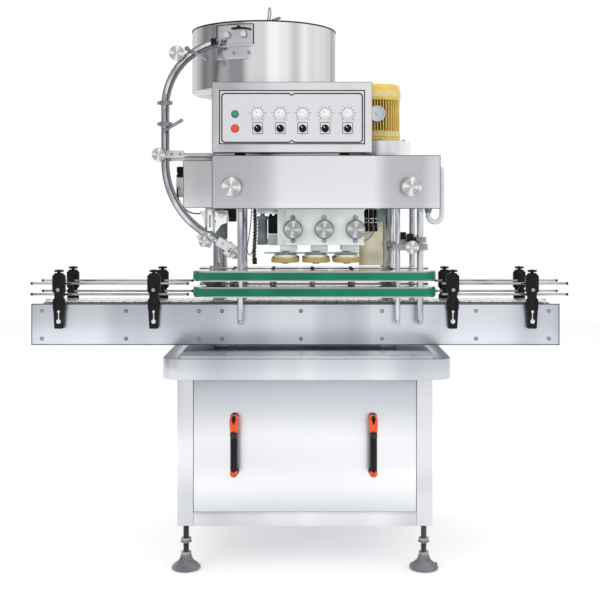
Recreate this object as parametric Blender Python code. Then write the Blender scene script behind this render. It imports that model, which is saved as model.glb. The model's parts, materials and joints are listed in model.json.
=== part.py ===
"""A capping machine: cabinet, conveyor, capping head, grip belts, cap hopper and chute.

Metres, +Z up, +X to the right as the operator sees it, -Y towards the operator.
The origin lies on the floor under the middle of the machine.
"""
import math

import bmesh
import bpy
from mathutils import Matrix, Vector

for leftover in list(bpy.data.objects):
    bpy.data.objects.remove(leftover, do_unlink=True)

# ---- clearances -------------------------------------------------------------
GAP = 0.0003             # between two faces that touch
RUNNING = 0.0005         # round a shaft, on the radius
SINK = 0.0010            # how far joined shapes run into each other
ROUND = 12               # sides of a round shape
COARSE = 8               # sides of a small or hidden one
FINE = 24                # sides of a large one
LOOP_STEPS = 6           # sides of a belt's half circle

# ---- cabinet, panel, feet and table -----------------------------------------
FOOT_HEIGHT = 0.145
FOOT_PAD_RADIUS = 0.0475
FOOT_STEM_RADIUS = 0.010
FOOT_NUT_RADIUS = 0.017
FOOT_CONE_HEIGHT = 0.040
FOOT_BOSS_TOP = 0.058
FOOT_LOCKNUT = (0.090, 0.102)        # its underside and its top
CABINET_CENTRE_X = 0.019
CABINET_WIDTH = 0.828
CABINET_DEPTH = 0.740
CABINET_HEIGHT = 0.481
SHEET = 0.002
POST_SIZE = 0.052
POST_WALL = 0.003
BOTTOM_RAIL = 0.046
PANEL_DEPTH = 0.020
PANEL_MARGIN = 0.0010
HANDLE_SPACING = 0.448
HANDLE_LENGTH = 0.199
HANDLE_RADIUS = 0.012
HANDLE_REACH = 0.037
HANDLE_DROP = 0.215     # middle of a handle below the cabinet's top
TABLE_SHIFT = 0.0055     # table's middle to the right of the cabinet's
TABLE_OVERHANG_X = 0.0525
TABLE_OVERHANG_Y = 0.050
TABLE_HEIGHT = 0.066
TABLE_CORNER = 0.060
GUTTER_WIDTH = 0.050
GUTTER_DEPTH = 0.030
PLATFORM_RISE = 0.004    # platform above the table's rim

# ---- conveyor ---------------------------------------------------------------
CONVEYOR_CENTRE_X = -0.0135
CONVEYOR_LENGTH = 1.800
CONVEYOR_WIDTH = 0.200
CONVEYOR_HEIGHT = 0.1415
CONVEYOR_LIFT = 0.0135   # frame above the platform
LINE_Y = -0.100          # middle of the bottle line
SIDE_PLATE = 0.003
SPREADER_RADIUS = 0.010
SPREADER_SHARES = (0.10, 0.37, 0.63, 0.93)   # along the way between the sprockets
CHAIN_WIDTH = 0.150
CHAIN_THICKNESS = 0.004
CHAIN_PROUD = 0.005      # chain above the frame's top edge
CHAIN_LOOP_RADIUS = 0.040
SPROCKET_SHAFT_RADIUS = 0.0125
SPROCKET_DISC = 0.012
DRUM_MOTOR_RADIUS = 0.026

# ---- bottle guides ----------------------------------------------------------
RAIL_OVERHANGS = (0.008, 0.035)      # rails past the conveyor's left and right ends
RAIL_RADIUS = 0.004
RAIL_HEIGHTS = (0.0670, 0.0300)      # above the conveyor frame
RAIL_HALF_SPREAD = 0.075             # rails on each side of the bottle line
RAIL_TO_BELT = 0.018                 # gap along the line between rails and belts
BRACKET_INSETS = (0.1045, 0.1305)    # outer brackets from the rails' outer ends
INNER_BRACKET_INSETS = (0.1155, 0.040)
BRACKET_WIDTH = 0.044
BRACKET_FOOT_WIDTH = 0.034
BRACKET_THICKNESS = 0.014
BRACKET_BELOW = 0.084    # bracket's foot below the top of the conveyor frame
BRACKET_ABOVE = 0.105
STUB_RADIUS = 0.006
STUB_OVERHANG = 0.012
CLAMP_BLOCK = (0.018, 0.014, 0.062)
BRACKET_KNOB_RADIUS = 0.017
BOLT_RADIUS = 0.004
BOLT_DROP = 0.059        # through-bolt below the top of the conveyor frame

# ---- head -------------------------------------------------------------------
BEAM_LIFT = 0.318        # beam above the chain
BEAM_HEIGHT = 0.179
BEAM_LEFT = -0.292
BEAM_WIDTH = 0.764
BEAM_FRONT = -0.270
BEAM_DEPTH = 0.120
CROSSHEAD_OVERHANG = 0.110           # crosshead past the beam's left end
CROSSHEAD_WIDTH = 0.842
CROSSHEAD_DEPTH = 0.340
CROSSHEAD_INSET_BOTTOM = 0.004
CROSSHEAD_INSET_TOP = 0.012
HEAD_WALL = 0.003
COLUMN_RADIUS = 0.026
COLUMN_SPACING = 0.621
COLUMN_CENTRE_X = 0.0145
COLUMN_CLEARANCE = 0.024 # columns behind the rear belts
COLUMN_BUSH_WALL = 0.006
COLUMN_HEADROOM = 0.003
BASE_PLATE = 0.010
BEAM_KNOB_RADIUS = 0.033
BEAM_KNOB_THICKNESS = 0.024
BEAM_KNOB_INSETS = (0.065, 0.099)    # from the beam's left and right ends
BEAM_KNOB_LIFT = 0.0734
BEAM_KNOB_STANDOFF = 0.006
KNOB_SHAFT_RADIUS = 0.006
MOTOR_INSET = 0.0395     # collar from the crosshead's right end
MOTOR_SETBACK = 0.007    # collar behind the control box
MOTOR_RADIUS = 0.074
MOTOR_HEIGHT = 0.207
COLLAR_RADIUS = 0.113
COLLAR_HEIGHT = 0.075
COLLAR_WALL = 0.006
HOSE_RADIUS = 0.0085
HOSE_Y = -0.205

# ---- capping unit -----------------------------------------------------------
WHEEL_COUNT = 3
FIRST_WHEEL_X = -0.049
WHEEL_RADIUS = 0.049
WHEEL_SPACING = 0.008    # between two wheels of a row
WHEEL_THICKNESS = 0.017
WHEEL_LIFT = 0.143       # wheels above the chain
CAP_DIAMETER = 0.030
HUB_PLATE_INSET = 0.009  # hub plate within the wheel's rim
HUB_PLATE_THICKNESS = 0.010
SPINDLE_RADIUS = 0.012
BLOCK_HEIGHT = 0.124
BLOCK_REACH = 0.115      # block to each side of the bottle line
BLOCK_OVERHANGS = (0.026, 0.0565)    # past the first and the last wheel's axis
BLOCK_FACE_STEP = 0.025
BLOCK_FACE_INSET = 0.031
BLOCK_WALL = 0.006
BLOCK_FLOOR = 0.025
GAP_KNOB_RADIUS = 0.0306
GAP_KNOB_THICKNESS = 0.022
GAP_KNOB_OFFSET = 0.027  # knob to the right of its wheel
GAP_KNOB_LIFT = 0.055    # above the block's underside
GAP_KNOB_STANDOFF = 0.004

# ---- grip belts -------------------------------------------------------------
BELT_LEFT = -0.361
BELT_LENGTH = 0.824
BELT_LOOP_WIDTH = 0.130
BELT_THICKNESS = 0.005
BELT_HEIGHT = 0.024
BOTTLE_GAP = 0.080       # between the inner runs
LOWER_BELT_LIFT = 0.026  # lower belt above the chain
BELT_PITCH_Z = 0.054
BELT_PLATE = 0.005
BELT_PLATE_INSET = 0.002
HANGER_INSETS = (0.162, 0.131, 0.0555)       # one from the belts' left end, two from the right
HANGER_RADII = (0.010, 0.0085, 0.011)
HANGER_DROP = 0.071      # hangers below the top of the chain
HANGER_SHIFT = 0.027     # hangers outside the middle of the belt loops
PULLEY_SHAFT_RADIUS = 0.010
PULLEY_SHAFT_RISE = 0.020
CLAMP_BAR_RISE = 0.074   # clamp bar above the upper belt
CLAMP_BAR_HEIGHT = 0.022
CLAMP_BAR_DEPTH = 0.028
CLAMP_BAR_ENDS = (0.019, 0.0245)     # past its two hangers
CLAMP_KNOB_PLACE = 0.046 # right of the first of them
CLAMP_KNOB_REACH = 0.036
CLAMP_KNOB_RADIUS = 0.0225

# ---- control box ------------------------------------------------------------
CONTROL_WIDTH = 0.536
CONTROL_DEPTH = 0.180
CONTROL_HEIGHT = 0.236
CONTROL_LIFT = 0.009     # rubber feet under the box
CONTROL_FOOT_RADIUS = 0.014
PANEL_ROWS = (0.1282, 0.0800)        # above the box's underside
BUTTON_INSET = 0.0774    # from the box's left side
START_RADIUS = 0.010
STOP_RADIUS = 0.0115
BUTTON_PROUD = 0.012
BUTTON_STEM_RADIUS = 0.006
BUTTON_TRAVEL = 0.004
DIAL_COUNT = 5
FIRST_DIAL_INSET = 0.1532
DIAL_PITCH = 0.0751
DIAL_RADIUS = 0.0167
DIAL_DEPTH = 0.018
SELECTOR_RADIUS = 0.0127
SELECTOR_DEPTH = 0.016
DIAL_STEM_RADIUS = 0.004
PANEL_STANDOFF = 0.0035  # room for the scale plates behind the knobs

# ---- cap hopper and chute ---------------------------------------------------
HOPPER_X = -0.134
HOPPER_Y = 0.140
HOPPER_RADIUS = 0.266
HOPPER_CLEARANCE = 0.001 # drum above the control box
HOPPER_HEIGHT = 0.232
HOPPER_WALL = 0.002
HOPPER_FLOOR = 0.003
HOPPER_POST_RADIUS = 0.045
HOPPER_POST_WALL = 0.006
DISC_SHAFT_RADIUS = 0.0125
DISC_EDGE_GAP = 0.006
DISC_THICKNESS = 0.005
DISC_LIFT = 0.004
WING_RISE = 0.098        # wing handle above the drum
WING_REACH = 0.038
WING_WIRE = 0.003
CHUTE_START_LIFT = 0.156 # chute's mouth above the drum's floor
CHUTE_START_GAP = 0.0433 # and off the drum's side
CHUTE_START_DIP = 13.0   # degrees below level, heading left
CHUTE_CLEARANCE = 0.070  # its upright stretch off the drum
CHUTE_LOWER_DROP = 0.015 # its lower bend starts below the beam's top
CHUTE_LOWER_RADIUS = 0.290
CHUTE_EXIT_DIP = 31.5    # degrees below level, heading right
CHUTE_END_INSET = 0.069  # its end from the beam's left end
CHUTE_WIDTH = 0.026
CHUTE_DEPTH = 0.022
CHUTE_WALL = 0.003
CHUTE_ARM_HEIGHT = 0.024
CHUTE_ARM_THICKNESS = 0.008
CHUTE_ARM_OVERHANG = 0.022           # arm past the middle of the upright stretch
CHUTE_ARM_SEAT = 0.100   # length of arm on the crosshead
CHUTE_HANGER_WIDTH = 0.034
CHUTE_HANGER_DROP = 0.020
CHUTE_CHEEK = (0.012, 0.024, 0.010, 0.016)   # cheeks round the end: left, down, right, up

# ---- places worked out from the sizes ---------------------------------------
CABINET_LEFT = CABINET_CENTRE_X - CABINET_WIDTH / 2
CABINET_RIGHT = CABINET_CENTRE_X + CABINET_WIDTH / 2
CABINET_FRONT = -CABINET_DEPTH / 2
CABINET_BACK = CABINET_DEPTH / 2
CABINET_TOP = FOOT_HEIGHT + CABINET_HEIGHT
TABLE_CENTRE_X = CABINET_CENTRE_X + TABLE_SHIFT
TABLE_WIDTH = CABINET_WIDTH + 2 * TABLE_OVERHANG_X
TABLE_DEPTH = CABINET_DEPTH + 2 * TABLE_OVERHANG_Y
TABLE_BOTTOM = CABINET_TOP + GAP
TABLE_TOP = CABINET_TOP + TABLE_HEIGHT
PLATFORM_TOP = TABLE_TOP + PLATFORM_RISE
CONVEYOR_BOTTOM = PLATFORM_TOP + CONVEYOR_LIFT
CONVEYOR_TOP = CONVEYOR_BOTTOM + CONVEYOR_HEIGHT
CONVEYOR_LEFT = CONVEYOR_CENTRE_X - CONVEYOR_LENGTH / 2
CONVEYOR_RIGHT = CONVEYOR_CENTRE_X + CONVEYOR_LENGTH / 2
CONVEYOR_FRONT = LINE_Y - CONVEYOR_WIDTH / 2
CONVEYOR_BACK = LINE_Y + CONVEYOR_WIDTH / 2
CHAIN_TOP = CONVEYOR_TOP + CHAIN_PROUD
SPROCKET_Z = CHAIN_TOP - CHAIN_LOOP_RADIUS
SPROCKET_LEFT_X = CONVEYOR_LEFT + CHAIN_LOOP_RADIUS + SIDE_PLATE
SPROCKET_RIGHT_X = CONVEYOR_RIGHT - CHAIN_LOOP_RADIUS - SIDE_PLATE
BELT_RIGHT = BELT_LEFT + BELT_LENGTH
LOWER_BELT_Z = CHAIN_TOP + LOWER_BELT_LIFT
HANGER_X = (BELT_LEFT + HANGER_INSETS[0], BELT_RIGHT - HANGER_INSETS[1], BELT_RIGHT - HANGER_INSETS[2])
HANGER_OFFSET = (BOTTLE_GAP + BELT_LOOP_WIDTH) / 2 + HANGER_SHIFT
HANGER_BOTTOM = CHAIN_TOP - HANGER_DROP
CLAMP_BAR_Z = LOWER_BELT_Z + BELT_PITCH_Z + BELT_HEIGHT + CLAMP_BAR_RISE
CLAMP_KNOB_X = HANGER_X[1] + CLAMP_KNOB_PLACE
RAIL_ENDS = (CONVEYOR_LEFT - RAIL_OVERHANGS[0], CONVEYOR_RIGHT + RAIL_OVERHANGS[1])
BRACKET_X = (RAIL_ENDS[0] + BRACKET_INSETS[0],
             BELT_LEFT - RAIL_TO_BELT - INNER_BRACKET_INSETS[0],
             BELT_RIGHT + RAIL_TO_BELT + INNER_BRACKET_INSETS[1],
             RAIL_ENDS[1] - BRACKET_INSETS[1])
STUB_Z = CONVEYOR_TOP + sum(RAIL_HEIGHTS) / 2
BOLT_Z = CONVEYOR_TOP - BOLT_DROP
BEAM_BOTTOM = CHAIN_TOP + BEAM_LIFT
BEAM_RIGHT = BEAM_LEFT + BEAM_WIDTH
CROSSHEAD_LEFT = BEAM_LEFT - CROSSHEAD_OVERHANG
CROSSHEAD_RIGHT = CROSSHEAD_LEFT + CROSSHEAD_WIDTH
CROSSHEAD_BOTTOM = BEAM_BOTTOM + CROSSHEAD_INSET_BOTTOM
BEAM_TOP = BEAM_BOTTOM + BEAM_HEIGHT
CROSSHEAD_TOP = BEAM_TOP - CROSSHEAD_INSET_TOP
CROSSHEAD_FRONT = BEAM_FRONT + BEAM_DEPTH
CROSSHEAD_BACK = CROSSHEAD_FRONT + CROSSHEAD_DEPTH
COLUMN_X = (COLUMN_CENTRE_X - COLUMN_SPACING / 2, COLUMN_CENTRE_X + COLUMN_SPACING / 2)
COLUMN_Y = LINE_Y + BOTTLE_GAP / 2 + BELT_LOOP_WIDTH + COLUMN_CLEARANCE + COLUMN_RADIUS
COLUMN_TOP = CROSSHEAD_TOP - HEAD_WALL - COLUMN_HEADROOM
BEAM_KNOB_X = (BEAM_LEFT + BEAM_KNOB_INSETS[0], BEAM_RIGHT - BEAM_KNOB_INSETS[1])
BEAM_KNOB_Z = BEAM_BOTTOM + BEAM_KNOB_LIFT
WHEEL_Z = CHAIN_TOP + WHEEL_LIFT
WHEEL_PITCH = 2 * WHEEL_RADIUS + WHEEL_SPACING
HUB_PLATE_RADIUS = WHEEL_RADIUS - HUB_PLATE_INSET
WHEEL_X = [FIRST_WHEEL_X + i * WHEEL_PITCH for i in range(WHEEL_COUNT)]
WHEEL_OFFSET = CAP_DIAMETER / 2 + WHEEL_RADIUS
BLOCK_TOP = BEAM_BOTTOM - GAP
BLOCK_BOTTOM = BLOCK_TOP - BLOCK_HEIGHT
BLOCK_FRONT = LINE_Y - BLOCK_REACH
BLOCK_BACK = LINE_Y + BLOCK_REACH
CONTROL_LEFT = BEAM_LEFT
CONTROL_FRONT = BEAM_FRONT
CONTROL_BACK = CONTROL_FRONT + CONTROL_DEPTH
CONTROL_BOTTOM = BEAM_TOP + CONTROL_LIFT
CONTROL_TOP = CONTROL_BOTTOM + CONTROL_HEIGHT
BUTTON_X = CONTROL_LEFT + BUTTON_INSET
DIAL_X = [CONTROL_LEFT + FIRST_DIAL_INSET + i * DIAL_PITCH for i in range(DIAL_COUNT)]
MOTOR_X = CROSSHEAD_RIGHT - MOTOR_INSET - COLLAR_RADIUS
MOTOR_Y = CONTROL_BACK + MOTOR_SETBACK + COLLAR_RADIUS
HOPPER_BOTTOM = CONTROL_TOP + HOPPER_CLEARANCE
HOPPER_TOP = HOPPER_BOTTOM + HOPPER_HEIGHT
WING_TOP = HOPPER_TOP + WING_RISE
CHUTE_Y = LINE_Y
DRUM_SIDE_X = HOPPER_X - math.sqrt(HOPPER_RADIUS ** 2 - (HOPPER_Y - CHUTE_Y) ** 2)
CHUTE_START = (DRUM_SIDE_X - CHUTE_START_GAP, HOPPER_BOTTOM + CHUTE_START_LIFT)
CHUTE_X = HOPPER_X - HOPPER_RADIUS - CHUTE_CLEARANCE
CHUTE_UPPER_RADIUS = (CHUTE_START[0] - CHUTE_X) / (1 - math.sin(math.radians(CHUTE_START_DIP)))
CHUTE_LOWER_TOP = BEAM_TOP - CHUTE_LOWER_DROP
CHUTE_END_X = BEAM_LEFT + CHUTE_END_INSET


# ---- shape helpers ----------------------------------------------------------
def add_object(name, bm):
    """Turn a bmesh into a linked object, its faces pointing out."""
    bmesh.ops.recalc_face_normals(bm, faces=bm.faces)
    if bm.calc_volume(signed=True) < 0:
        bmesh.ops.reverse_faces(bm, faces=bm.faces)
    mesh = bpy.data.meshes.new(name)
    bm.to_mesh(mesh)
    bm.free()
    thing = bpy.data.objects.new(name, mesh)
    bpy.context.scene.collection.objects.link(thing)
    return thing


def box(low, high):
    """A block between two corners."""
    bm = bmesh.new()
    bmesh.ops.create_cube(bm, size=1.0)
    low = Vector(low)
    high = Vector(high)
    size = Matrix.Diagonal((*(high - low), 1.0))
    bm.transform(Matrix.Translation((low + high) / 2) @ size)
    return add_object("block", bm)


def rod(start, end, radius, sides=ROUND):
    """A round bar from one point to another."""
    start = Vector(start)
    end = Vector(end)
    along = end - start
    bm = bmesh.new()
    bmesh.ops.create_cone(bm, cap_ends=True, segments=sides, radius1=radius,
                          radius2=radius, depth=along.length)
    turn = along.to_track_quat("Z", "Y").to_matrix().to_4x4()
    bm.transform(Matrix.Translation((start + end) / 2) @ turn)
    return add_object("rod", bm)


def prism(outline, low, high, axis="Z"):
    """An outline of points pushed along an axis; outlines are XY, XZ or YZ pairs."""
    place = {"Z": lambda a, b, t: (a, b, t),
             "Y": lambda a, b, t: (a, t, b),
             "X": lambda a, b, t: (t, a, b)}[axis]
    bm = bmesh.new()
    ring = [bm.verts.new(place(a, b, low)) for a, b in outline]
    face = bm.faces.new(ring)
    grown = bmesh.ops.extrude_face_region(bm, geom=[face])["geom"]
    push = Vector(place(0, 0, high - low))
    bmesh.ops.translate(bm, vec=push, verts=[v for v in grown if isinstance(v, bmesh.types.BMVert)])
    return add_object("prism", bm)


def turned(profile, centre, axis="Z", sides=ROUND):
    """A profile of (radius, height) points, bottom to top, spun about an axis."""
    bm = bmesh.new()
    chain = [bm.verts.new((radius, 0, height)) for radius, height in profile]
    edges = [bm.edges.new(pair) for pair in zip(chain, chain[1:])]
    bmesh.ops.spin(bm, geom=chain + edges, cent=(0, 0, 0), axis=(0, 0, 1),
                   angle=2 * math.pi, steps=sides, use_duplicate=False)
    bmesh.ops.remove_doubles(bm, verts=bm.verts, dist=0.00001)
    bmesh.ops.holes_fill(bm, edges=[e for e in bm.edges if e.is_boundary], sides=0)
    if axis == "Y":
        bm.transform(Matrix.Rotation(math.radians(90), 4, "X"))
    bm.transform(Matrix.Translation(Vector(centre)))
    return add_object("turned", bm)


def arc(centre, radius, start, end, steps):
    """Points on an arc, angles in degrees."""
    angles = [math.radians(start + (end - start) * i / steps) for i in range(steps + 1)]
    return [(centre[0] + radius * math.cos(a), centre[1] + radius * math.sin(a)) for a in angles]


def rounded_outline(low, high, radius, steps=5):
    """A rectangle with round corners, between two XY corners."""
    x0, y0 = low
    x1, y1 = high
    corners = (((x1 - radius, y1 - radius), 0), ((x0 + radius, y1 - radius), 90),
               ((x0 + radius, y0 + radius), 180), ((x1 - radius, y0 + radius), 270))
    return [point for centre, turn in corners for point in arc(centre, radius, turn, turn + 90, steps)]


def boolean(base, tool, operation):
    """Join a tool to a shape, or take it away, and drop the tool."""
    step = base.modifiers.new(operation.lower(), "BOOLEAN")
    step.operation = operation
    step.solver = "EXACT"
    step.object = tool
    graph = bpy.context.evaluated_depsgraph_get()
    made = bpy.data.meshes.new_from_object(base.evaluated_get(graph))
    base.modifiers.remove(step)
    base.data = made
    bpy.data.objects.remove(tool, do_unlink=True)


def join(base, *tools):
    """One solid from several that run into each other."""
    for tool in tools:
        boolean(base, tool, "UNION")
    return base


def cut(base, *tools):
    """A solid with others taken out of it."""
    for tool in tools:
        boolean(base, tool, "DIFFERENCE")
    return base


def surface(name, colour, roughness, metallic):
    """A plain surface in one colour."""
    made = bpy.data.materials.new(name)
    made.use_nodes = True
    shader = made.node_tree.nodes["Principled BSDF"]
    shader.inputs["Base Color"].default_value = (*colour, 1.0)
    shader.inputs["Roughness"].default_value = roughness
    shader.inputs["Metallic"].default_value = metallic
    return made


STEEL = ((0.72, 0.73, 0.75), 0.28, 1.0)
TURNED_STEEL = ((0.80, 0.80, 0.81), 0.18, 1.0)
DARK_STEEL = ((0.36, 0.36, 0.37), 0.40, 1.0)
PALE_PAINT = ((0.73, 0.77, 0.73), 0.45, 0.0)
BLACK_PLASTIC = ((0.02, 0.02, 0.022), 0.45, 0.0)
GREEN_BELT = ((0.02, 0.42, 0.29), 0.55, 0.0)
PALE_CHAIN = ((0.80, 0.86, 0.83), 0.40, 0.0)
TAN_RUBBER = ((0.55, 0.41, 0.15), 0.60, 0.0)
YELLOW_PAINT = ((0.72, 0.55, 0.12), 0.38, 0.0)
CLEAR_DIAL = ((0.88, 0.90, 0.91), 0.20, 0.0)
GREEN_BUTTON = ((0.05, 0.50, 0.25), 0.35, 0.0)
RED_BUTTON = ((0.80, 0.16, 0.08), 0.35, 0.0)


def empty(name, place, parent=None):
    """A handle for pieces that move together."""
    handle = bpy.data.objects.new(name, None)
    handle.location = place
    handle.empty_display_size = 0.05
    bpy.context.scene.collection.objects.link(handle)
    if parent is not None:
        handle.parent = parent
        handle.matrix_parent_inverse = Matrix.Translation(-world_place(parent))
    return handle


def world_place(thing):
    """Where an unturned object stands."""
    return Vector(thing.location)


def finish(thing, name, look, parent, origin=None):
    """Name a solid, colour it, put its origin on its axis and hang it from its handle."""
    thing.name = name
    thing.data.name = name
    thing.data.materials.clear()
    thing.data.materials.append(surface(name, *look))
    if origin is not None:
        thing.data.transform(Matrix.Translation(-Vector(origin)))
        thing.location = origin
    thing.parent = parent
    thing.matrix_parent_inverse = Matrix.Translation(-world_place(parent))
    thing.data.shade_smooth()
    thing.data.set_sharp_from_angle(angle=math.radians(30))
    return thing


# ---- cabinet ----------------------------------------------------------------
def cabinet_shell(parent):
    """Sheet casing on four tube posts, open at the front between the posts."""
    low = (CABINET_LEFT, CABINET_FRONT, FOOT_HEIGHT)
    high = (CABINET_RIGHT, CABINET_BACK, CABINET_TOP)
    shell = box(low, high)
    cut(shell, box([v + SHEET for v in low], [v - SHEET for v in high]))
    cut(shell, box((CABINET_LEFT + POST_SIZE, CABINET_FRONT - SINK, FOOT_HEIGHT + BOTTOM_RAIL),
                   (CABINET_RIGHT - POST_SIZE, CABINET_FRONT + POST_SIZE, CABINET_TOP - SHEET)))
    for x in post_corners(CABINET_LEFT, CABINET_RIGHT):
        for y in post_corners(CABINET_FRONT, CABINET_BACK):
            join(shell, box((x, y, FOOT_HEIGHT), (x + POST_SIZE, y + POST_SIZE, CABINET_TOP)))
    for x in post_corners(CABINET_LEFT, CABINET_RIGHT):
        for y in post_corners(CABINET_FRONT, CABINET_BACK):
            inside = [x + POST_WALL, y + POST_WALL, FOOT_HEIGHT + 2 * POST_WALL]
            top = [x + POST_SIZE - POST_WALL, y + POST_SIZE - POST_WALL, CABINET_TOP - POST_WALL]
            middle = (x + POST_SIZE / 2, y + POST_SIZE / 2)
            stem_hole = rod((*middle, FOOT_HEIGHT - SINK), (*middle, FOOT_HEIGHT + 3 * POST_WALL),
                            FOOT_STEM_RADIUS + RUNNING)
            cut(shell, join(box(inside, top), stem_hole))
    return finish(shell, "cabinet_shell", STEEL, parent)


def post_corners(low, high):
    """Lower edges of the two posts between two sides."""
    return low, high - POST_SIZE


def leveling_feet(parent):
    """Cone pads on threaded stems that turn in the posts."""
    pad = FOOT_PAD_RADIUS
    stem = FOOT_STEM_RADIUS
    nut = FOOT_NUT_RADIUS
    edge = 0.004
    low, high = FOOT_LOCKNUT
    profile = [(0, 0), (pad - edge, 0), (pad, edge), (pad - edge / 2, 3 * edge), (nut, FOOT_CONE_HEIGHT),
               (nut, FOOT_BOSS_TOP), (stem, FOOT_BOSS_TOP), (stem, low), (nut, low), (nut, high), (stem, high),
               (stem, FOOT_HEIGHT + 5 * POST_WALL), (0, FOOT_HEIGHT + 5 * POST_WALL)]
    sides = {"left": CABINET_LEFT, "right": CABINET_RIGHT - POST_SIZE}
    rows = {"front": CABINET_FRONT, "rear": CABINET_BACK - POST_SIZE}
    for row, y in rows.items():
        for side, x in sides.items():
            centre = (x + POST_SIZE / 2, y + POST_SIZE / 2, 0)
            foot = turned(profile, centre, sides=COARSE)
            finish(foot, f"leveling_foot_{row}_{side}", DARK_STEEL, parent, centre)


def front_panel(parent):
    """Folded sheet cover that stands on the bottom rail and lifts off to the front."""
    low = (CABINET_LEFT + POST_SIZE + PANEL_MARGIN, CABINET_FRONT,
           FOOT_HEIGHT + BOTTOM_RAIL + GAP)
    high = (CABINET_RIGHT - POST_SIZE - PANEL_MARGIN, CABINET_FRONT + PANEL_DEPTH,
            CABINET_TOP - SHEET - PANEL_MARGIN)
    cover = box(low, high)
    cut(cover, box([v + SHEET for v in low], (high[0] - SHEET, high[1] + SINK, high[2] - SHEET)))
    finish(cover, "front_panel", STEEL, parent)
    handle_z = CABINET_TOP - HANDLE_DROP
    middle_x = CABINET_CENTRE_X - 0.004
    for side, sign in (("left", -1), ("right", 1)):
        panel_handle(side, middle_x + sign * HANDLE_SPACING / 2, handle_z, parent)


def panel_handle(side, x, z, parent):
    """A bowed grip: two feet on the panel and a round bar between them."""
    half = HANDLE_LENGTH / 2 - HANDLE_RADIUS
    root = CABINET_FRONT - GAP
    crest = CABINET_FRONT - HANDLE_REACH
    bend = 0.014
    route = [(root, z - half), (crest + bend, z - half)]
    route += arc((crest + bend, z - half + bend), bend, 270, 180, 3)
    route += arc((crest + bend, z + half - bend), bend, 180, 90, 3)
    route += [(root, z + half)]
    grip = swept(route, lambda a, b: (x, a, b), HANDLE_RADIUS, 2)
    finish(grip, f"panel_handle_{side}", BLACK_PLASTIC, parent)


def swept(route, place, radius, resolution):
    """A round bar along points of a flat or free route."""
    points = []
    for pair in route:
        point = Vector(place(*pair))
        if not points or (point - points[-1]).length > radius / 50:
            points.append(point)
    line = bpy.data.curves.new("route", "CURVE")
    line.dimensions = "3D"
    line.bevel_depth = radius
    line.bevel_resolution = resolution
    line.use_fill_caps = True
    spline = line.splines.new("POLY")
    spline.points.add(len(points) - 1)
    for knot, point in zip(spline.points, points):
        knot.co = (*point, 1.0)
    guide = bpy.data.objects.new("route", line)
    bpy.context.scene.collection.objects.link(guide)
    graph = bpy.context.evaluated_depsgraph_get()
    mesh = bpy.data.meshes.new_from_object(guide.evaluated_get(graph))
    bpy.data.objects.remove(guide, do_unlink=True)
    bm = bmesh.new()
    bm.from_mesh(mesh)
    bmesh.ops.remove_doubles(bm, verts=bm.verts, dist=0.00001)
    return add_object("bar", bm)


def table_tray(parent):
    """Round-cornered table with a gutter round a raised platform, hollow underneath."""
    low = (TABLE_CENTRE_X - TABLE_WIDTH / 2, -TABLE_DEPTH / 2)
    high = (TABLE_CENTRE_X + TABLE_WIDTH / 2, TABLE_DEPTH / 2)

    def outline(inset, corner):
        return rounded_outline([v + inset for v in low], [v - inset for v in high], corner)

    floor = TABLE_TOP - GUTTER_DEPTH
    tray = prism(outline(0, TABLE_CORNER), TABLE_BOTTOM, TABLE_TOP)
    wall = SHEET + 0.001
    cut(tray, prism(outline(wall, TABLE_CORNER - wall), floor, TABLE_TOP + SINK))
    join(tray, prism(outline(GUTTER_WIDTH, 0.012), floor - SHEET / 2, PLATFORM_TOP))
    cut(tray, prism(outline(wall, TABLE_CORNER - wall), TABLE_BOTTOM + SHEET, floor - SHEET))
    cut(tray, prism(outline(GUTTER_WIDTH + wall, 0.010), TABLE_BOTTOM + SHEET, PLATFORM_TOP - wall))
    hatch = 2 * POST_SIZE
    cut(tray, box((CABINET_LEFT + hatch, CABINET_FRONT + hatch, TABLE_BOTTOM - SINK),
                  (CABINET_RIGHT - hatch, CABINET_BACK - hatch, TABLE_BOTTOM + 2 * SHEET)))
    return finish(tray, "table_tray", STEEL, parent)


# ---- conveyor ---------------------------------------------------------------
def conveyor_frame(parent):
    """Two side plates on spreaders and feet."""
    frame = box((CONVEYOR_LEFT, CONVEYOR_FRONT, CONVEYOR_BOTTOM),
                (CONVEYOR_RIGHT, CONVEYOR_FRONT + SIDE_PLATE, CONVEYOR_TOP))
    back = box((CONVEYOR_LEFT, CONVEYOR_BACK - SIDE_PLATE, CONVEYOR_BOTTOM),
               (CONVEYOR_RIGHT, CONVEYOR_BACK, CONVEYOR_TOP))
    shaft_hole = SPROCKET_SHAFT_RADIUS + RUNNING
    for x in (SPROCKET_LEFT_X, SPROCKET_RIGHT_X):
        cut(back, rod((x, CONVEYOR_BACK - SIDE_PLATE - SINK, SPROCKET_Z),
                      (x, CONVEYOR_BACK + SINK, SPROCKET_Z), shaft_hole))
    for plate in (frame, back):
        for x in BRACKET_X:
            cut(plate, rod((x, CONVEYOR_FRONT - SINK, BOLT_Z), (x, CONVEYOR_BACK + SINK, BOLT_Z),
                           BOLT_RADIUS + RUNNING, COARSE))
    bars = [rod((x, CONVEYOR_FRONT + SINK, SPROCKET_Z), (x, CONVEYOR_BACK - SINK, SPROCKET_Z),
                SPREADER_RADIUS, COARSE) for x in spreader_places()]
    join(frame, bars[0], back, *bars[1:])
    for x in (CABINET_LEFT + 2 * POST_SIZE, CABINET_RIGHT - 3 * POST_SIZE):
        join(frame, box((x, CONVEYOR_FRONT + SINK, PLATFORM_TOP + GAP),
                        (x + POST_SIZE, CONVEYOR_BACK - SINK, CONVEYOR_BOTTOM + SIDE_PLATE)))
    return finish(frame, "conveyor_frame", STEEL, parent)


def spreader_places():
    """Where the spreader bars stand, clear of the bracket bolts."""
    span = SPROCKET_RIGHT_X - SPROCKET_LEFT_X
    return [SPROCKET_LEFT_X + span * share for share in SPREADER_SHARES]


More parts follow.
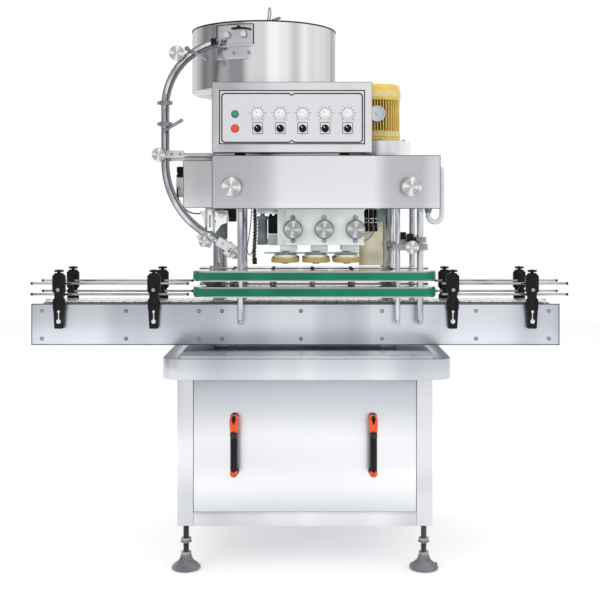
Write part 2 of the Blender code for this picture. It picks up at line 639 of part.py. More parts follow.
def loop_outline(left, right, middle, radius, steps):
    """A stadium: two half circles joined by straight runs."""
    return (arc((right, middle), radius, -90, 90, steps)
            + arc((left, middle), radius, 90, 270, steps))


def loop_band(left, right, middle, radius, thickness, low, high, axis, steps):
    """A closed band of even thickness round a stadium."""
    band = prism(loop_outline(left, right, middle, radius, steps), low, high, axis)
    inside = loop_outline(left, right, middle, radius - thickness, steps)
    return cut(band, prism(inside, low - SINK, high + SINK, axis))


def conveyor_chain(parent):
    """Flat-top chain, as one band round both sprockets."""
    chain = loop_band(SPROCKET_LEFT_X, SPROCKET_RIGHT_X, SPROCKET_Z, CHAIN_LOOP_RADIUS,
                      CHAIN_THICKNESS, LINE_Y - CHAIN_WIDTH / 2, LINE_Y + CHAIN_WIDTH / 2, "Y", 12)
    return finish(chain, "conveyor_chain", PALE_CHAIN, parent)


def sprockets(parent):
    """Two discs on a shaft at each end of the chain, round a drum motor at the right end."""
    inside = (CHAIN_LOOP_RADIUS - CHAIN_THICKNESS) * math.cos(math.pi / 24) - GAP
    near = CONVEYOR_FRONT + SIDE_PLATE + GAP
    far = CONVEYOR_BACK
    shaft = SPROCKET_SHAFT_RADIUS
    for name, x in (("idler_sprocket", SPROCKET_LEFT_X), ("drive_sprocket", SPROCKET_RIGHT_X)):
        axle = rod((x, near, SPROCKET_Z), (x, far, SPROCKET_Z), shaft)
        for offset in (-CHAIN_WIDTH / 4, CHAIN_WIDTH / 4):
            y = LINE_Y + offset
            join(axle, rod((x, y - SPROCKET_DISC / 2, SPROCKET_Z),
                           (x, y + SPROCKET_DISC / 2, SPROCKET_Z), inside, FINE))
        if name == "drive_sprocket":
            join(axle, rod((x, LINE_Y - CHAIN_WIDTH / 4, SPROCKET_Z),
                           (x, LINE_Y + CHAIN_WIDTH / 4, SPROCKET_Z), DRUM_MOTOR_RADIUS))
        finish(axle, name, DARK_STEEL, parent, (x, LINE_Y, SPROCKET_Z))


# ---- bottle guides ----------------------------------------------------------
def guide_brackets(parent):
    """A moulded arm on each side of the conveyor, drawn together by one through-bolt."""
    foot = CONVEYOR_TOP - BRACKET_BELOW
    crown = CONVEYOR_TOP + BRACKET_ABOVE
    for number, x in enumerate(BRACKET_X, start=1):
        half_foot = BRACKET_FOOT_WIDTH / 2
        half_head = BRACKET_WIDTH / 2
        outline = [(x - half_foot, foot), (x + half_foot, foot), (x + half_head, CONVEYOR_TOP - 0.020),
                   (x + half_head, crown - 0.006), (x + half_head - 0.006, crown),
                   (x - half_head + 0.006, crown), (x - half_head, crown - 0.006),
                   (x - half_head, CONVEYOR_TOP - 0.020)]
        pair = None
        for sign, face in ((-1, CONVEYOR_FRONT - GAP), (1, CONVEYOR_BACK + GAP)):
            outer = face + sign * BRACKET_THICKNESS
            arm = prism(outline, min(face, outer), max(face, outer), "Y")
            middle = (face + outer) / 2
            join(arm, rod((x, middle, crown - SINK), (x, middle, crown + 0.004), 0.005, 8))
            join(arm, rod((x, middle, crown + 0.003), (x, middle, crown + 0.012),
                          BRACKET_KNOB_RADIUS, 10))
            cut(arm, rod((x, face - sign * SINK, STUB_Z), (x, outer + sign * SINK, STUB_Z),
                         STUB_RADIUS + RUNNING, COARSE))
            if pair is None:
                bolt = rod((x, CONVEYOR_FRONT - BRACKET_THICKNESS - 0.004, BOLT_Z),
                           (x, CONVEYOR_BACK + BRACKET_THICKNESS + 0.004, BOLT_Z), BOLT_RADIUS, COARSE)
                pair = join(arm, bolt)
            else:
                join(pair, arm)
        finish(pair, f"guide_bracket_{number}", BLACK_PLASTIC, parent)


def guide_rails(parent):
    """Twin rods in clamp blocks, on stub rods that slide in the brackets."""
    ends = {"left": (RAIL_ENDS[0], BELT_LEFT - RAIL_TO_BELT, BRACKET_X[:2]),
            "right": (BELT_RIGHT + RAIL_TO_BELT, RAIL_ENDS[1], BRACKET_X[2:])}
    for side, (start, end, places) in ends.items():
        for row, sign in (("front", -1), ("rear", 1)):
            y = LINE_Y + sign * RAIL_HALF_SPREAD
            tip = LINE_Y + sign * (CONVEYOR_WIDTH / 2 + BRACKET_THICKNESS + STUB_OVERHANG)
            rail = None
            for x in places:
                wide, deep, tall = (v / 2 for v in CLAMP_BLOCK)
                block = box((x - wide, y - deep, STUB_Z - tall), (x + wide, y + deep, STUB_Z + tall))
                join(block, rod((x, y, STUB_Z), (x, tip, STUB_Z), STUB_RADIUS, COARSE))
                if rail is None:
                    rail = block
                    for lift in RAIL_HEIGHTS:
                        z = CONVEYOR_TOP + lift
                        join(rail, rod((start, y, z), (end, y, z), RAIL_RADIUS, 8))
                else:
                    join(rail, block)
            finish(rail, f"guide_rail_{side}_{row}", STEEL, parent, (sum(places) / 2, y, STUB_Z))


# ---- head -------------------------------------------------------------------
def lift_columns(parent):
    """Two polished columns on one base plate, which the head climbs."""
    low = PLATFORM_TOP + GAP
    reach = COLUMN_RADIUS + 0.014
    base = box((COLUMN_X[0] - reach, COLUMN_Y - reach, low),
               (COLUMN_X[1] + reach, COLUMN_Y + reach, low + BASE_PLATE))
    for x in COLUMN_X:
        join(base, rod((x, COLUMN_Y, low + BASE_PLATE - SINK), (x, COLUMN_Y, COLUMN_TOP),
                       COLUMN_RADIUS, FINE))
    return finish(base, "lift_columns", TURNED_STEEL, parent)


def head_beam(parent):
    """Front beam and crosshead as one sheet box with column bushes and a hose."""
    wall = HEAD_WALL
    beam = box((BEAM_LEFT, BEAM_FRONT, BEAM_BOTTOM), (BEAM_RIGHT, CROSSHEAD_FRONT, BEAM_TOP))
    join(beam, box((CROSSHEAD_LEFT, CROSSHEAD_FRONT - SINK, CROSSHEAD_BOTTOM),
                   (CROSSHEAD_RIGHT, CROSSHEAD_BACK, CROSSHEAD_TOP)))
    low = CROSSHEAD_BOTTOM + wall
    high = CROSSHEAD_TOP - wall
    cut(beam, box((BEAM_LEFT + wall, BEAM_FRONT + wall, low),
                  (BEAM_RIGHT - wall, CROSSHEAD_FRONT - wall, high)))
    cut(beam, box((CROSSHEAD_LEFT + wall, CROSSHEAD_FRONT + wall, low),
                  (CROSSHEAD_RIGHT - wall, CROSSHEAD_BACK - wall, high)))
    cut(beam, box((BEAM_LEFT + 10 * wall, CROSSHEAD_FRONT - 2 * wall, low + 5 * wall),
                  (CROSSHEAD_RIGHT - 10 * wall, CROSSHEAD_FRONT + 2 * wall, high - 5 * wall)))
    cut(beam, box((COLUMN_X[0] + 0.100, CROSSHEAD_BACK - 2 * wall, low + 10 * wall),
                  (COLUMN_X[1] - 0.100, CROSSHEAD_BACK + wall, high - 5 * wall)))
    bore = COLUMN_RADIUS + RUNNING
    for x in COLUMN_X:
        join(beam, rod((x, COLUMN_Y, CROSSHEAD_BOTTOM + SINK), (x, COLUMN_Y, CROSSHEAD_TOP - SINK),
                       bore + COLUMN_BUSH_WALL, FINE))
    for x in COLUMN_X:
        cut(beam, rod((x, COLUMN_Y, CROSSHEAD_BOTTOM - SINK), (x, COLUMN_Y, high), bore, FINE))
    for x in BEAM_KNOB_X:
        cut(beam, rod((x, BEAM_FRONT - SINK, BEAM_KNOB_Z), (x, BEAM_FRONT + 2 * wall, BEAM_KNOB_Z),
                      KNOB_SHAFT_RADIUS + RUNNING))
    join(beam, hose_loop())
    return finish(beam, "head_beam", STEEL, parent, (0, COLUMN_Y, CROSSHEAD_BOTTOM))


def hose_loop():
    """The hose that leaves the beam's end and turns back up into its underside."""
    out = BEAM_RIGHT + HOSE_RADIUS + 0.004
    back = BEAM_RIGHT - 0.034
    bend = (out - back) / 2
    top = BEAM_TOP - 0.040
    low = BEAM_BOTTOM - 0.022
    route = [(BEAM_RIGHT - SINK, top)]
    route += arc((BEAM_RIGHT, top - 0.0125), 0.0125, 90, 0, 4)
    route += [(out, top - 0.06), (out, low + 0.04)]
    route += arc(((out + back) / 2, low), bend, 0, -180, 8)
    route += [(back, BEAM_BOTTOM + SINK)]
    return swept(route, lambda a, b: (a, HOSE_Y, b), HOSE_RADIUS, 2)


def knob(name, centre, radius, thickness, standoff, reach, parent, look=TURNED_STEEL):
    """A turned disc on a shaft; centre is where the shaft meets the face, facing -Y."""
    shaft = KNOB_SHAFT_RADIUS
    edge = radius * 0.08
    profile = [(0, -reach), (shaft, -reach), (shaft, standoff), (radius * 0.72, standoff),
               (radius, standoff + 2 * edge), (radius, standoff + thickness - edge),
               (radius - edge, standoff + thickness), (0, standoff + thickness)]
    made = turned(profile, centre, "Y")
    return finish(made, name, look, parent, centre)


def beam_knobs(parent):
    """Two knobs on the beam's face."""
    for side, x in zip(("left", "right"), BEAM_KNOB_X):
        knob(f"beam_knob_{side}", (x, BEAM_FRONT, BEAM_KNOB_Z), BEAM_KNOB_RADIUS,
             BEAM_KNOB_THICKNESS, BEAM_KNOB_STANDOFF, HEAD_WALL * 1.5, parent)


def drive_motor(parent):
    """Upright motor on a hollow collar that stands on the crosshead."""
    low = CROSSHEAD_TOP + GAP
    step = low + COLLAR_HEIGHT
    top = step + MOTOR_HEIGHT
    radius = MOTOR_RADIUS
    inner = COLLAR_RADIUS - COLLAR_WALL
    profile = [(0, step - COLLAR_WALL), (inner, step - COLLAR_WALL), (inner, low), (COLLAR_RADIUS, low),
               (COLLAR_RADIUS, step - 0.006), (COLLAR_RADIUS - 0.006, step), (radius * 1.08, step),
               (radius * 1.08, step + 0.014), (radius * 0.94, step + 0.038), (radius, step + 0.040),
               (radius, top - 0.055), (radius * 1.04, top - 0.053), (radius * 1.04, top - 0.012),
               (radius * 0.94, top), (0, top)]
    motor = turned(profile, (MOTOR_X, MOTOR_Y, 0), sides=FINE)
    return finish(motor, "drive_motor", YELLOW_PAINT, parent, (MOTOR_X, MOTOR_Y, low))


# ---- capping unit -----------------------------------------------------------
def capping_block(parent):
    """Cast box under the beam with the spindle bores in its floor, open at the top."""
    left = WHEEL_X[0] - BLOCK_OVERHANGS[0]
    right = WHEEL_X[-1] + BLOCK_OVERHANGS[1]
    face = BLOCK_FRONT + BLOCK_FACE_STEP
    block = box((left, face, BLOCK_BOTTOM), (right, BLOCK_BACK, BLOCK_TOP))
    join(block, box((left + BLOCK_FACE_INSET, BLOCK_FRONT, BLOCK_BOTTOM + SINK),
                    (right, face + SINK, BLOCK_TOP - SINK)))
    cut(block, box((left + BLOCK_WALL, face + BLOCK_WALL, BLOCK_BOTTOM + BLOCK_FLOOR),
                   (right - BLOCK_WALL, BLOCK_BACK - BLOCK_WALL, BLOCK_TOP + SINK)))
    bore = SPINDLE_RADIUS + RUNNING
    for x in WHEEL_X:
        for sign in (-1, 1):
            y = LINE_Y + sign * WHEEL_OFFSET
            cut(block, rod((x, y, BLOCK_BOTTOM - SINK), (x, y, BLOCK_BOTTOM + BLOCK_FLOOR + SINK), bore))
    for x in WHEEL_X:
        cut(block, rod((x + GAP_KNOB_OFFSET, BLOCK_FRONT - SINK, BLOCK_BOTTOM + GAP_KNOB_LIFT),
                       (x + GAP_KNOB_OFFSET, BLOCK_FRONT + 0.014, BLOCK_BOTTOM + GAP_KNOB_LIFT),
                       KNOB_SHAFT_RADIUS + RUNNING))
    return finish(block, "capping_block", PALE_PAINT, parent)


def capping_wheels(parent):
    """Rubber-faced discs in pairs, one each side of the bottle line."""
    half = WHEEL_THICKNESS / 2
    hub = half + HUB_PLATE_THICKNESS
    rise = BLOCK_BOTTOM + BLOCK_FLOOR - WHEEL_Z
    spindle = SPINDLE_RADIUS
    profile = [(0, -half - 0.006), (spindle, -half - 0.006), (spindle, -half), (WHEEL_RADIUS - 0.002, -half),
               (WHEEL_RADIUS, -half + 0.002), (WHEEL_RADIUS, half - 0.002), (WHEEL_RADIUS - 0.002, half),
               (HUB_PLATE_RADIUS, half), (HUB_PLATE_RADIUS, hub), (spindle, hub), (spindle, rise), (0, rise)]
    for row, sign in (("front", -1), ("rear", 1)):
        for number, x in enumerate(WHEEL_X, start=1):
            centre = (x, LINE_Y + sign * WHEEL_OFFSET, WHEEL_Z)
            wheel = turned(profile, centre)
            finish(wheel, f"capping_wheel_{row}_{number}", TAN_RUBBER, parent, centre)


def gap_knobs(parent):
    """Knobs that set the gap of each wheel pair."""
    for number, x in enumerate(WHEEL_X, start=1):
        knob(f"gap_knob_{number}", (x + GAP_KNOB_OFFSET, BLOCK_FRONT, BLOCK_BOTTOM + GAP_KNOB_LIFT),
             GAP_KNOB_RADIUS, GAP_KNOB_THICKNESS, GAP_KNOB_STANDOFF, 0.012, parent)


# ---- grip belts -------------------------------------------------------------
def belt_centre(sign):
    """Middle of a belt loop across the line; sign is -1 in front and 1 behind."""
    return LINE_Y + sign * (BOTTLE_GAP + BELT_LOOP_WIDTH) / 2


def belt_ends():
    """Centres of the two round ends of a belt loop, along the line."""
    return BELT_LEFT + BELT_LOOP_WIDTH / 2, BELT_RIGHT - BELT_LOOP_WIDTH / 2


def belt_levels():
    """Underside of the lower and of the upper belt."""
    return LOWER_BELT_Z, LOWER_BELT_Z + BELT_PITCH_Z


def inside_belt():
    """Radius that turns freely inside a belt's round end."""
    flats = math.cos(math.pi / (2 * LOOP_STEPS))
    return (BELT_LOOP_WIDTH / 2 - BELT_THICKNESS) * flats - GAP


def grip_belts(row, sign, parent):
    """Two bands, one above the other, that carry the bottles between them."""
    left, right = belt_ends()
    for level, z in zip(("lower", "upper"), belt_levels()):
        band = loop_band(left, right, belt_centre(sign), BELT_LOOP_WIDTH / 2, BELT_THICKNESS,
                         z, z + BELT_HEIGHT, "Z", LOOP_STEPS)
        finish(band, f"grip_belt_{row}_{level}", GREEN_BELT, parent)


def clamp_frame(row, sign, hanger_top, parent):
    """Plates above and below each belt, hung on three rods, with a nose for the belts' far end."""
    left, right = belt_ends()
    centre = belt_centre(sign)
    radius = BELT_LOOP_WIDTH / 2 - BELT_PLATE_INSET
    hanger_y = LINE_Y + sign * HANGER_OFFSET
    rods = [rod((x, hanger_y, HANGER_BOTTOM), (x, hanger_y, hanger_top), thick, COARSE)
            for x, thick in zip(HANGER_X, HANGER_RADII)]
    frame = rods[0]
    outline = loop_outline(left, right, centre, radius, LOOP_STEPS)
    for z in belt_levels():
        for low in (z - GAP - BELT_PLATE, z + BELT_HEIGHT + GAP):
            join(frame, prism(outline, low, low + BELT_PLATE))
        join(frame, rod((right, centre, z - GAP - SINK), (right, centre, z + BELT_HEIGHT + GAP + SINK),
                        inside_belt(), 2 * LOOP_STEPS))
    join(frame, *rods[1:])
    join(frame, box((HANGER_X[1] - CLAMP_BAR_ENDS[0], hanger_y - CLAMP_BAR_DEPTH / 2, CLAMP_BAR_Z),
                    (HANGER_X[2] + CLAMP_BAR_ENDS[1], hanger_y + CLAMP_BAR_DEPTH / 2,
                     CLAMP_BAR_Z + CLAMP_BAR_HEIGHT)))
    bar_z = CLAMP_BAR_Z + CLAMP_BAR_HEIGHT / 2
    join(frame, rod((CLAMP_KNOB_X, hanger_y, bar_z),
                    (CLAMP_KNOB_X, hanger_y + sign * CLAMP_KNOB_REACH, bar_z), CLAMP_KNOB_RADIUS))
    lowest = belt_levels()[0] - BELT_PLATE
    cut(frame, rod((left, centre, lowest - 2 * SINK),
                   (left, centre, belt_levels()[1] + BELT_HEIGHT + 2 * BELT_PLATE),
                   PULLEY_SHAFT_RADIUS + RUNNING))
    return finish(frame, f"{row}_clamp_frame", STEEL, parent)


def belt_pulley(row, sign, parent):
    """Twin pulley that both belts of one side run over."""
    left = belt_ends()[0]
    centre = belt_centre(sign)
    radius = inside_belt()
    lower, upper = belt_levels()
    top = upper + BELT_HEIGHT
    shaft = PULLEY_SHAFT_RADIUS
    profile = [(0, lower - BELT_PLATE), (shaft, lower - BELT_PLATE), (shaft, lower), (radius, lower),
               (radius, lower + BELT_HEIGHT), (shaft, lower + BELT_HEIGHT), (shaft, upper), (radius, upper),
               (radius, top), (shaft, top), (shaft, top + PULLEY_SHAFT_RISE), (0, top + PULLEY_SHAFT_RISE)]
    pulley = turned(profile, (left, centre, 0), sides=2 * LOOP_STEPS)
    finish(pulley, f"belt_pulley_{row}", DARK_STEEL, parent, (left, centre, lower))


# ---- control box ------------------------------------------------------------
def control_box(parent):
    """Sheet box on rubber feet, its knobs' holes in the front, a hatch in the back."""
    right = CONTROL_LEFT + CONTROL_WIDTH
    back = CONTROL_BACK
    top = CONTROL_TOP
    case = box((CONTROL_LEFT, CONTROL_FRONT, CONTROL_BOTTOM), (right, back, top))
    cut(case, box((CONTROL_LEFT + SHEET, CONTROL_FRONT + SHEET, CONTROL_BOTTOM + SHEET),
                  (right - SHEET, back - SHEET, top - SHEET)))
    cut(case, box((CONTROL_LEFT + 0.05, back - 2 * SHEET, CONTROL_BOTTOM + 0.04),
                  (right - 0.05, back + SHEET, top - 0.04)))
    inset = 0.090
    for x in (CONTROL_LEFT + inset, right - inset):
        for y, stand in ((CONTROL_FRONT + 0.035, BEAM_TOP), (back - 0.035, CROSSHEAD_TOP)):
            join(case, rod((x, y, stand + GAP), (x, y, CONTROL_BOTTOM + SINK), CONTROL_FOOT_RADIUS, COARSE))
    upper, lower = (CONTROL_BOTTOM + lift for lift in PANEL_ROWS)
    holes = [(BUTTON_X, upper, BUTTON_STEM_RADIUS), (BUTTON_X, lower, BUTTON_STEM_RADIUS)]
    holes += [(x, z, DIAL_STEM_RADIUS) for x in DIAL_X for z in (upper, lower)]
    for x, z, radius in holes:
        cut(case, rod((x, CONTROL_FRONT - SINK, z), (x, CONTROL_FRONT + 2 * SHEET, z),
                      radius + RUNNING, COARSE))
    return finish(case, "control_box", STEEL, parent)


def panel_piece(name, x, z, radius, depth, stem, standoff, look, parent, lever=False):
    """A button or knob on a stem through the panel."""
    base = CONTROL_FRONT - standoff
    centre = (x, CONTROL_FRONT, z)
    inward = 0.012
    profile = [(0, -inward), (stem, -inward), (stem, standoff), (radius, standoff),
               (radius * 0.97, standoff + depth * 0.8), (radius * 0.8, standoff + depth), (0, standoff + depth)]
    piece = turned(profile, centre, "Y", COARSE)
    if lever:
        front = base - depth
        join(piece, box((x - radius * 0.22, front - 0.005, z - radius * 0.98),
                        (x + radius * 0.22, front + SINK, z + radius * 0.98)))
    return finish(piece, name, look, parent, centre)


def panel_pieces(parent):
    """Buttons, speed dials and selectors in two rows."""
    upper, lower = (CONTROL_BOTTOM + lift for lift in PANEL_ROWS)
    room = BUTTON_TRAVEL + 0.001
    panel_piece("start_button", BUTTON_X, upper, START_RADIUS, BUTTON_PROUD - room, BUTTON_STEM_RADIUS, room,
                GREEN_BUTTON, parent)
    panel_piece("stop_button", BUTTON_X, lower, STOP_RADIUS, BUTTON_PROUD - room, BUTTON_STEM_RADIUS, room,
                RED_BUTTON, parent)
    for number, x in enumerate(DIAL_X, start=1):
        panel_piece(f"speed_dial_{number}", x, upper, DIAL_RADIUS, DIAL_DEPTH, DIAL_STEM_RADIUS,
                    PANEL_STANDOFF, CLEAR_DIAL, parent)
        panel_piece(f"selector_{number}", x, lower, SELECTOR_RADIUS, SELECTOR_DEPTH, DIAL_STEM_RADIUS,
                    PANEL_STANDOFF, BLACK_PLASTIC, parent, lever=True)


# ---- hopper and chute -------------------------------------------------------
def hopper_drum(parent):
    """Open drum on a hollow post, with the cap outlet on its front left."""
    low = HOPPER_BOTTOM
    top = HOPPER_TOP
    floor = low + HOPPER_FLOOR
    inner = HOPPER_RADIUS - HOPPER_WALL
    post = HOPPER_POST_RADIUS
    base = CROSSHEAD_TOP + GAP
    hole = DISC_SHAFT_RADIUS + RUNNING
    hollow = post - HOPPER_POST_WALL
    profile = [(hollow, base), (post, base), (post, low), (HOPPER_RADIUS, low), (HOPPER_RADIUS, top - 0.008),
               (HOPPER_RADIUS + 0.003, top - 0.006), (HOPPER_RADIUS + 0.003, top), (inner, top),
               (inner, floor), (hole, floor), (hole, low - HOPPER_FLOOR), (hollow, low - HOPPER_FLOOR),
               (hollow, base)]
    drum = turned(profile, (HOPPER_X, HOPPER_Y, 0), sides=FINE)
    middle = Vector((HOPPER_X, HOPPER_Y, 0))
    mouth = chute_mouth_corner() - middle
    direction = mouth.normalized()
    across = Vector((-direction.y, direction.x, 0))
    start = middle + direction * (inner + HOPPER_WALL / 4)
    end = middle + direction * (mouth.length - GAP)
    corners = [start + across * 0.045, start - across * 0.045, end - across * 0.045, end + across * 0.045]
    for bottom, height in ((top - 0.075, 0.062), (top - 0.125, 0.042)):
        join(drum, prism([(p.x, p.y) for p in corners], bottom, bottom + height))
    return finish(drum, "hopper_drum", STEEL, parent, (HOPPER_X, HOPPER_Y, low))


def chute_mouth_corner():
    """The corner of the chute's upper end that lies nearest to the drum."""
    first, second = (Vector(point) for point in chute_route()[:2])
    side = (second - first).normalized().orthogonal()
    return Vector((first.x + abs(side.x) * CHUTE_WIDTH / 2, CHUTE_Y + CHUTE_DEPTH / 2, 0))


def feed_disc(parent):
    """Low cone that turns the caps outward, on a shaft with a wire wing handle."""
    floor = HOPPER_BOTTOM + HOPPER_FLOOR + DISC_LIFT
    edge = HOPPER_RADIUS - HOPPER_WALL - DISC_EDGE_GAP
    shaft = DISC_SHAFT_RADIUS
    hub_top = WING_TOP - 0.062
    profile = [(0, HOPPER_BOTTOM - 0.030), (shaft, HOPPER_BOTTOM - 0.030), (shaft, floor), (edge, floor),
               (edge, floor + DISC_THICKNESS), (0.060, floor + 0.030), (shaft, floor + 0.034),
               (shaft, hub_top - 0.030), (0.017, hub_top - 0.028), (0.017, hub_top), (0, hub_top)]
    disc = turned(profile, (HOPPER_X, HOPPER_Y, 0), sides=FINE)
    centre_z = hub_top - 0.010
    join(disc, rod((HOPPER_X, HOPPER_Y, centre_z), (HOPPER_X, HOPPER_Y, WING_TOP), 2 * WING_WIRE, 8))
    join(disc, rod((HOPPER_X - WING_REACH, HOPPER_Y, centre_z), (HOPPER_X + WING_REACH, HOPPER_Y, centre_z),
                   2 * WING_WIRE, 8))
    return finish(disc, "feed_disc", STEEL, parent, (HOPPER_X, HOPPER_Y, floor))


def chute_route():
    """Centre line of the chute in the XZ plane: arc, drop, arc and straight run-out."""
    start_x, start_z = CHUTE_START
    radius = CHUTE_UPPER_RADIUS
    centre = (CHUTE_X + radius, start_z - radius * math.cos(math.radians(CHUTE_START_DIP)))
    route = [(start_x, start_z)]
    route += arc(centre, radius, 90 + CHUTE_START_DIP, 180, 8)
    lower = (CHUTE_X + CHUTE_LOWER_RADIUS, CHUTE_LOWER_TOP)
    route += arc(lower, CHUTE_LOWER_RADIUS, 180, 270 - CHUTE_EXIT_DIP, 8)
    last_x, last_z = route[-1]
    run = CHUTE_END_X - last_x
    route.append((CHUTE_END_X, last_z - run * math.tan(math.radians(CHUTE_EXIT_DIP))))
    tidy = [route[0]]
    for point in route[1:]:
        if math.dist(point, tidy[-1]) > CHUTE_WALL:
            tidy.append(point)
    return tidy


def chute_channel():
    """A trough section, open to the front, carried along the route."""
    route = [Vector(point) for point in chute_route()]
    half = CHUTE_WIDTH / 2
    wall = CHUTE_WALL
    front = CHUTE_Y - CHUTE_DEPTH / 2
    back = CHUTE_Y + CHUTE_DEPTH / 2
    section = [(-half, front), (-half, back), (half, back), (half, front), (half - wall, front),
               (half - wall, back - wall), (-half + wall, back - wall), (-half + wall, front)]
    bm = bmesh.new()
    rings = []
    for i, point in enumerate(route):
        before = route[max(i - 1, 0)]
        after = route[min(i + 1, len(route) - 1)]
        side = (after - before).normalized().orthogonal()
        rings.append([bm.verts.new((point.x + side.x * a, y, point.y + side.y * a)) for a, y in section])
    for near, far in zip(rings, rings[1:]):
        for i in range(len(section)):
            j = (i + 1) % len(section)
            bm.faces.new((near[i], near[j], far[j], far[i]))
    bm.faces.new(rings[0])
    bm.faces.new(reversed(rings[-1]))
    return add_object("channel", bm)


def cap_chute(parent):
    """Curved chute with its arm on the crosshead, a hanger plate and clamp knobs."""
    chute = chute_channel()
    back = CHUTE_Y + CHUTE_DEPTH / 2
    arm_low = CROSSHEAD_TOP + GAP
    arm_back = back + CHUTE_ARM_THICKNESS
    join(chute, box((CHUTE_X - CHUTE_ARM_OVERHANG, back - SINK, arm_low),
                    (CROSSHEAD_LEFT + CHUTE_ARM_SEAT, arm_back, arm_low + CHUTE_ARM_HEIGHT)))
    route = chute_route()
    bend_x, bend_z = route[-2]
    join(chute, box((bend_x, back - SINK, bend_z - CHUTE_HANGER_DROP),
                    (bend_x + CHUTE_HANGER_WIDTH, arm_back, CROSSHEAD_BOTTOM - GAP)))
    end_x, end_z = route[-1]
    for low, high in ((-CHUTE_DEPTH / 2 - 0.007, -CHUTE_DEPTH / 2 + SINK),
                      (CHUTE_DEPTH / 2 - 2 * SINK, CHUTE_DEPTH / 2 + 0.007)):
        join(chute, box((end_x - CHUTE_CHEEK[0], CHUTE_Y + low, end_z - CHUTE_CHEEK[1]),
                        (end_x + CHUTE_CHEEK[2], CHUTE_Y + high, end_z + CHUTE_CHEEK[3])))
    return finish(chute, "cap_chute", STEEL, parent)


# ---- the whole machine ------------------------------------------------------
def build_machine():
    """Build every sub-part and hang it from what carries it."""
    base = empty("machine_base", (0, 0, 0))
    panel = empty("panel_mount", (CABINET_CENTRE_X, CABINET_FRONT, FOOT_HEIGHT))
    cabinet_shell(base)
    leveling_feet(base)
    front_panel(panel)
    table_tray(base)
    conveyor_frame(base)
    conveyor_chain(base)
    sprockets(base)
    guide_brackets(base)
    guide_rails(base)
    lift_columns(base)
    head = empty("head_carriage", (COLUMN_CENTRE_X, COLUMN_Y, CROSSHEAD_BOTTOM))
    head_beam(head)
    beam_knobs(head)
    drive_motor(head)
    capping_block(head)
    capping_wheels(head)
    gap_knobs(head)
    for row, sign, hanger_top in (("front", -1, BEAM_BOTTOM - GAP), ("rear", 1, CROSSHEAD_BOTTOM - GAP)):
        slide = empty(f"{row}_clamp_slide", (0, belt_centre(sign), LOWER_BELT_Z))
        clamp_frame(row, sign, hanger_top, slide)
        grip_belts(row, sign, slide)
        belt_pulley(row, sign, slide)
    control_box(head)
    panel_pieces(head)
    hopper_drum(head)
    feed_disc(head)
    cap_chute(head)


build_machine()
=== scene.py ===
import sys
import json
import logging
import math
from contextlib import contextmanager
from dataclasses import dataclass, field
from enum import Enum
from typing import Callable, Iterable, Iterator, Sequence

import bpy
from mathutils import Matrix, Vector

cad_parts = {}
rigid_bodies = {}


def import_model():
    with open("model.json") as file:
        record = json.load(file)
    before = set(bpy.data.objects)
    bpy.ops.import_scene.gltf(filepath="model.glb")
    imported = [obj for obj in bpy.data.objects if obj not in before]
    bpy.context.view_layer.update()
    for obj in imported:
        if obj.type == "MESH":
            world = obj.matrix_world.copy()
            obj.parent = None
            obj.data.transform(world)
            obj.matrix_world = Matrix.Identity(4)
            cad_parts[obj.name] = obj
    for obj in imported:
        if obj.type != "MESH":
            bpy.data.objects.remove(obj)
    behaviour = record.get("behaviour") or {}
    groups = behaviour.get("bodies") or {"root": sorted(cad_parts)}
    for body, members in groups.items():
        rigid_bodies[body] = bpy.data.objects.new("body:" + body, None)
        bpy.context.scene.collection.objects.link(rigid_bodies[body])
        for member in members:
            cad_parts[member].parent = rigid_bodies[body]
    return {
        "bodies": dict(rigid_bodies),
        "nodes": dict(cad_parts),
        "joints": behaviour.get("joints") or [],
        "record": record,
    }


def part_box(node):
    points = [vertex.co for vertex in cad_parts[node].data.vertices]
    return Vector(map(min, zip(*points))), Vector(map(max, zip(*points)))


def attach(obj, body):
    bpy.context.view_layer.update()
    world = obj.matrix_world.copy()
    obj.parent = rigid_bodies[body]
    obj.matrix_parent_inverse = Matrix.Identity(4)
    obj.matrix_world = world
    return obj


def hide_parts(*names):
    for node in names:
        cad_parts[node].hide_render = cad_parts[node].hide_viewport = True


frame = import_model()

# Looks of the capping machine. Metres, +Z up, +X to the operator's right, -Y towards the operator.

Point = Sequence[float]
Profile = Sequence[tuple[float, float]]
Test = Callable[[Vector, Vector], bool]
log = logging.getLogger("capping_machine")
SPUN = "spun"


class Facing(Enum):
    """Which way a piece's own +Z looks once it is placed, as an Euler turn."""

    UP = (0.0, 0.0, 0.0)
    DOWN = (math.pi, 0.0, 0.0)
    FRONT = (math.pi / 2, 0.0, 0.0)
    BACK = (-math.pi / 2, 0.0, 0.0)
    RIGHT = (0.0, math.pi / 2, 0.0)

    @property
    def matrix(self) -> Matrix:
        """Return the facing as a matrix."""
        return Matrix.Rotation(self.value[0], 4, "X") @ Matrix.Rotation(self.value[1], 4, "Y")


# ---- shader groups and finishes ----------------------------------------------
def linear(code: str) -> tuple[float, float, float, float]:
    """Turn a hex colour into linear light.

    Args:
        code: Six hex digits.

    Returns:
        Red, green, blue and a full alpha.
    """
    parts = [int(code[i:i + 2], 16) / 255 for i in (0, 2, 4)]
    light = [v / 12.92 if v <= 0.04045 else ((v + 0.055) / 1.055) ** 2.4 for v in parts]
    return (*light, 1.0)


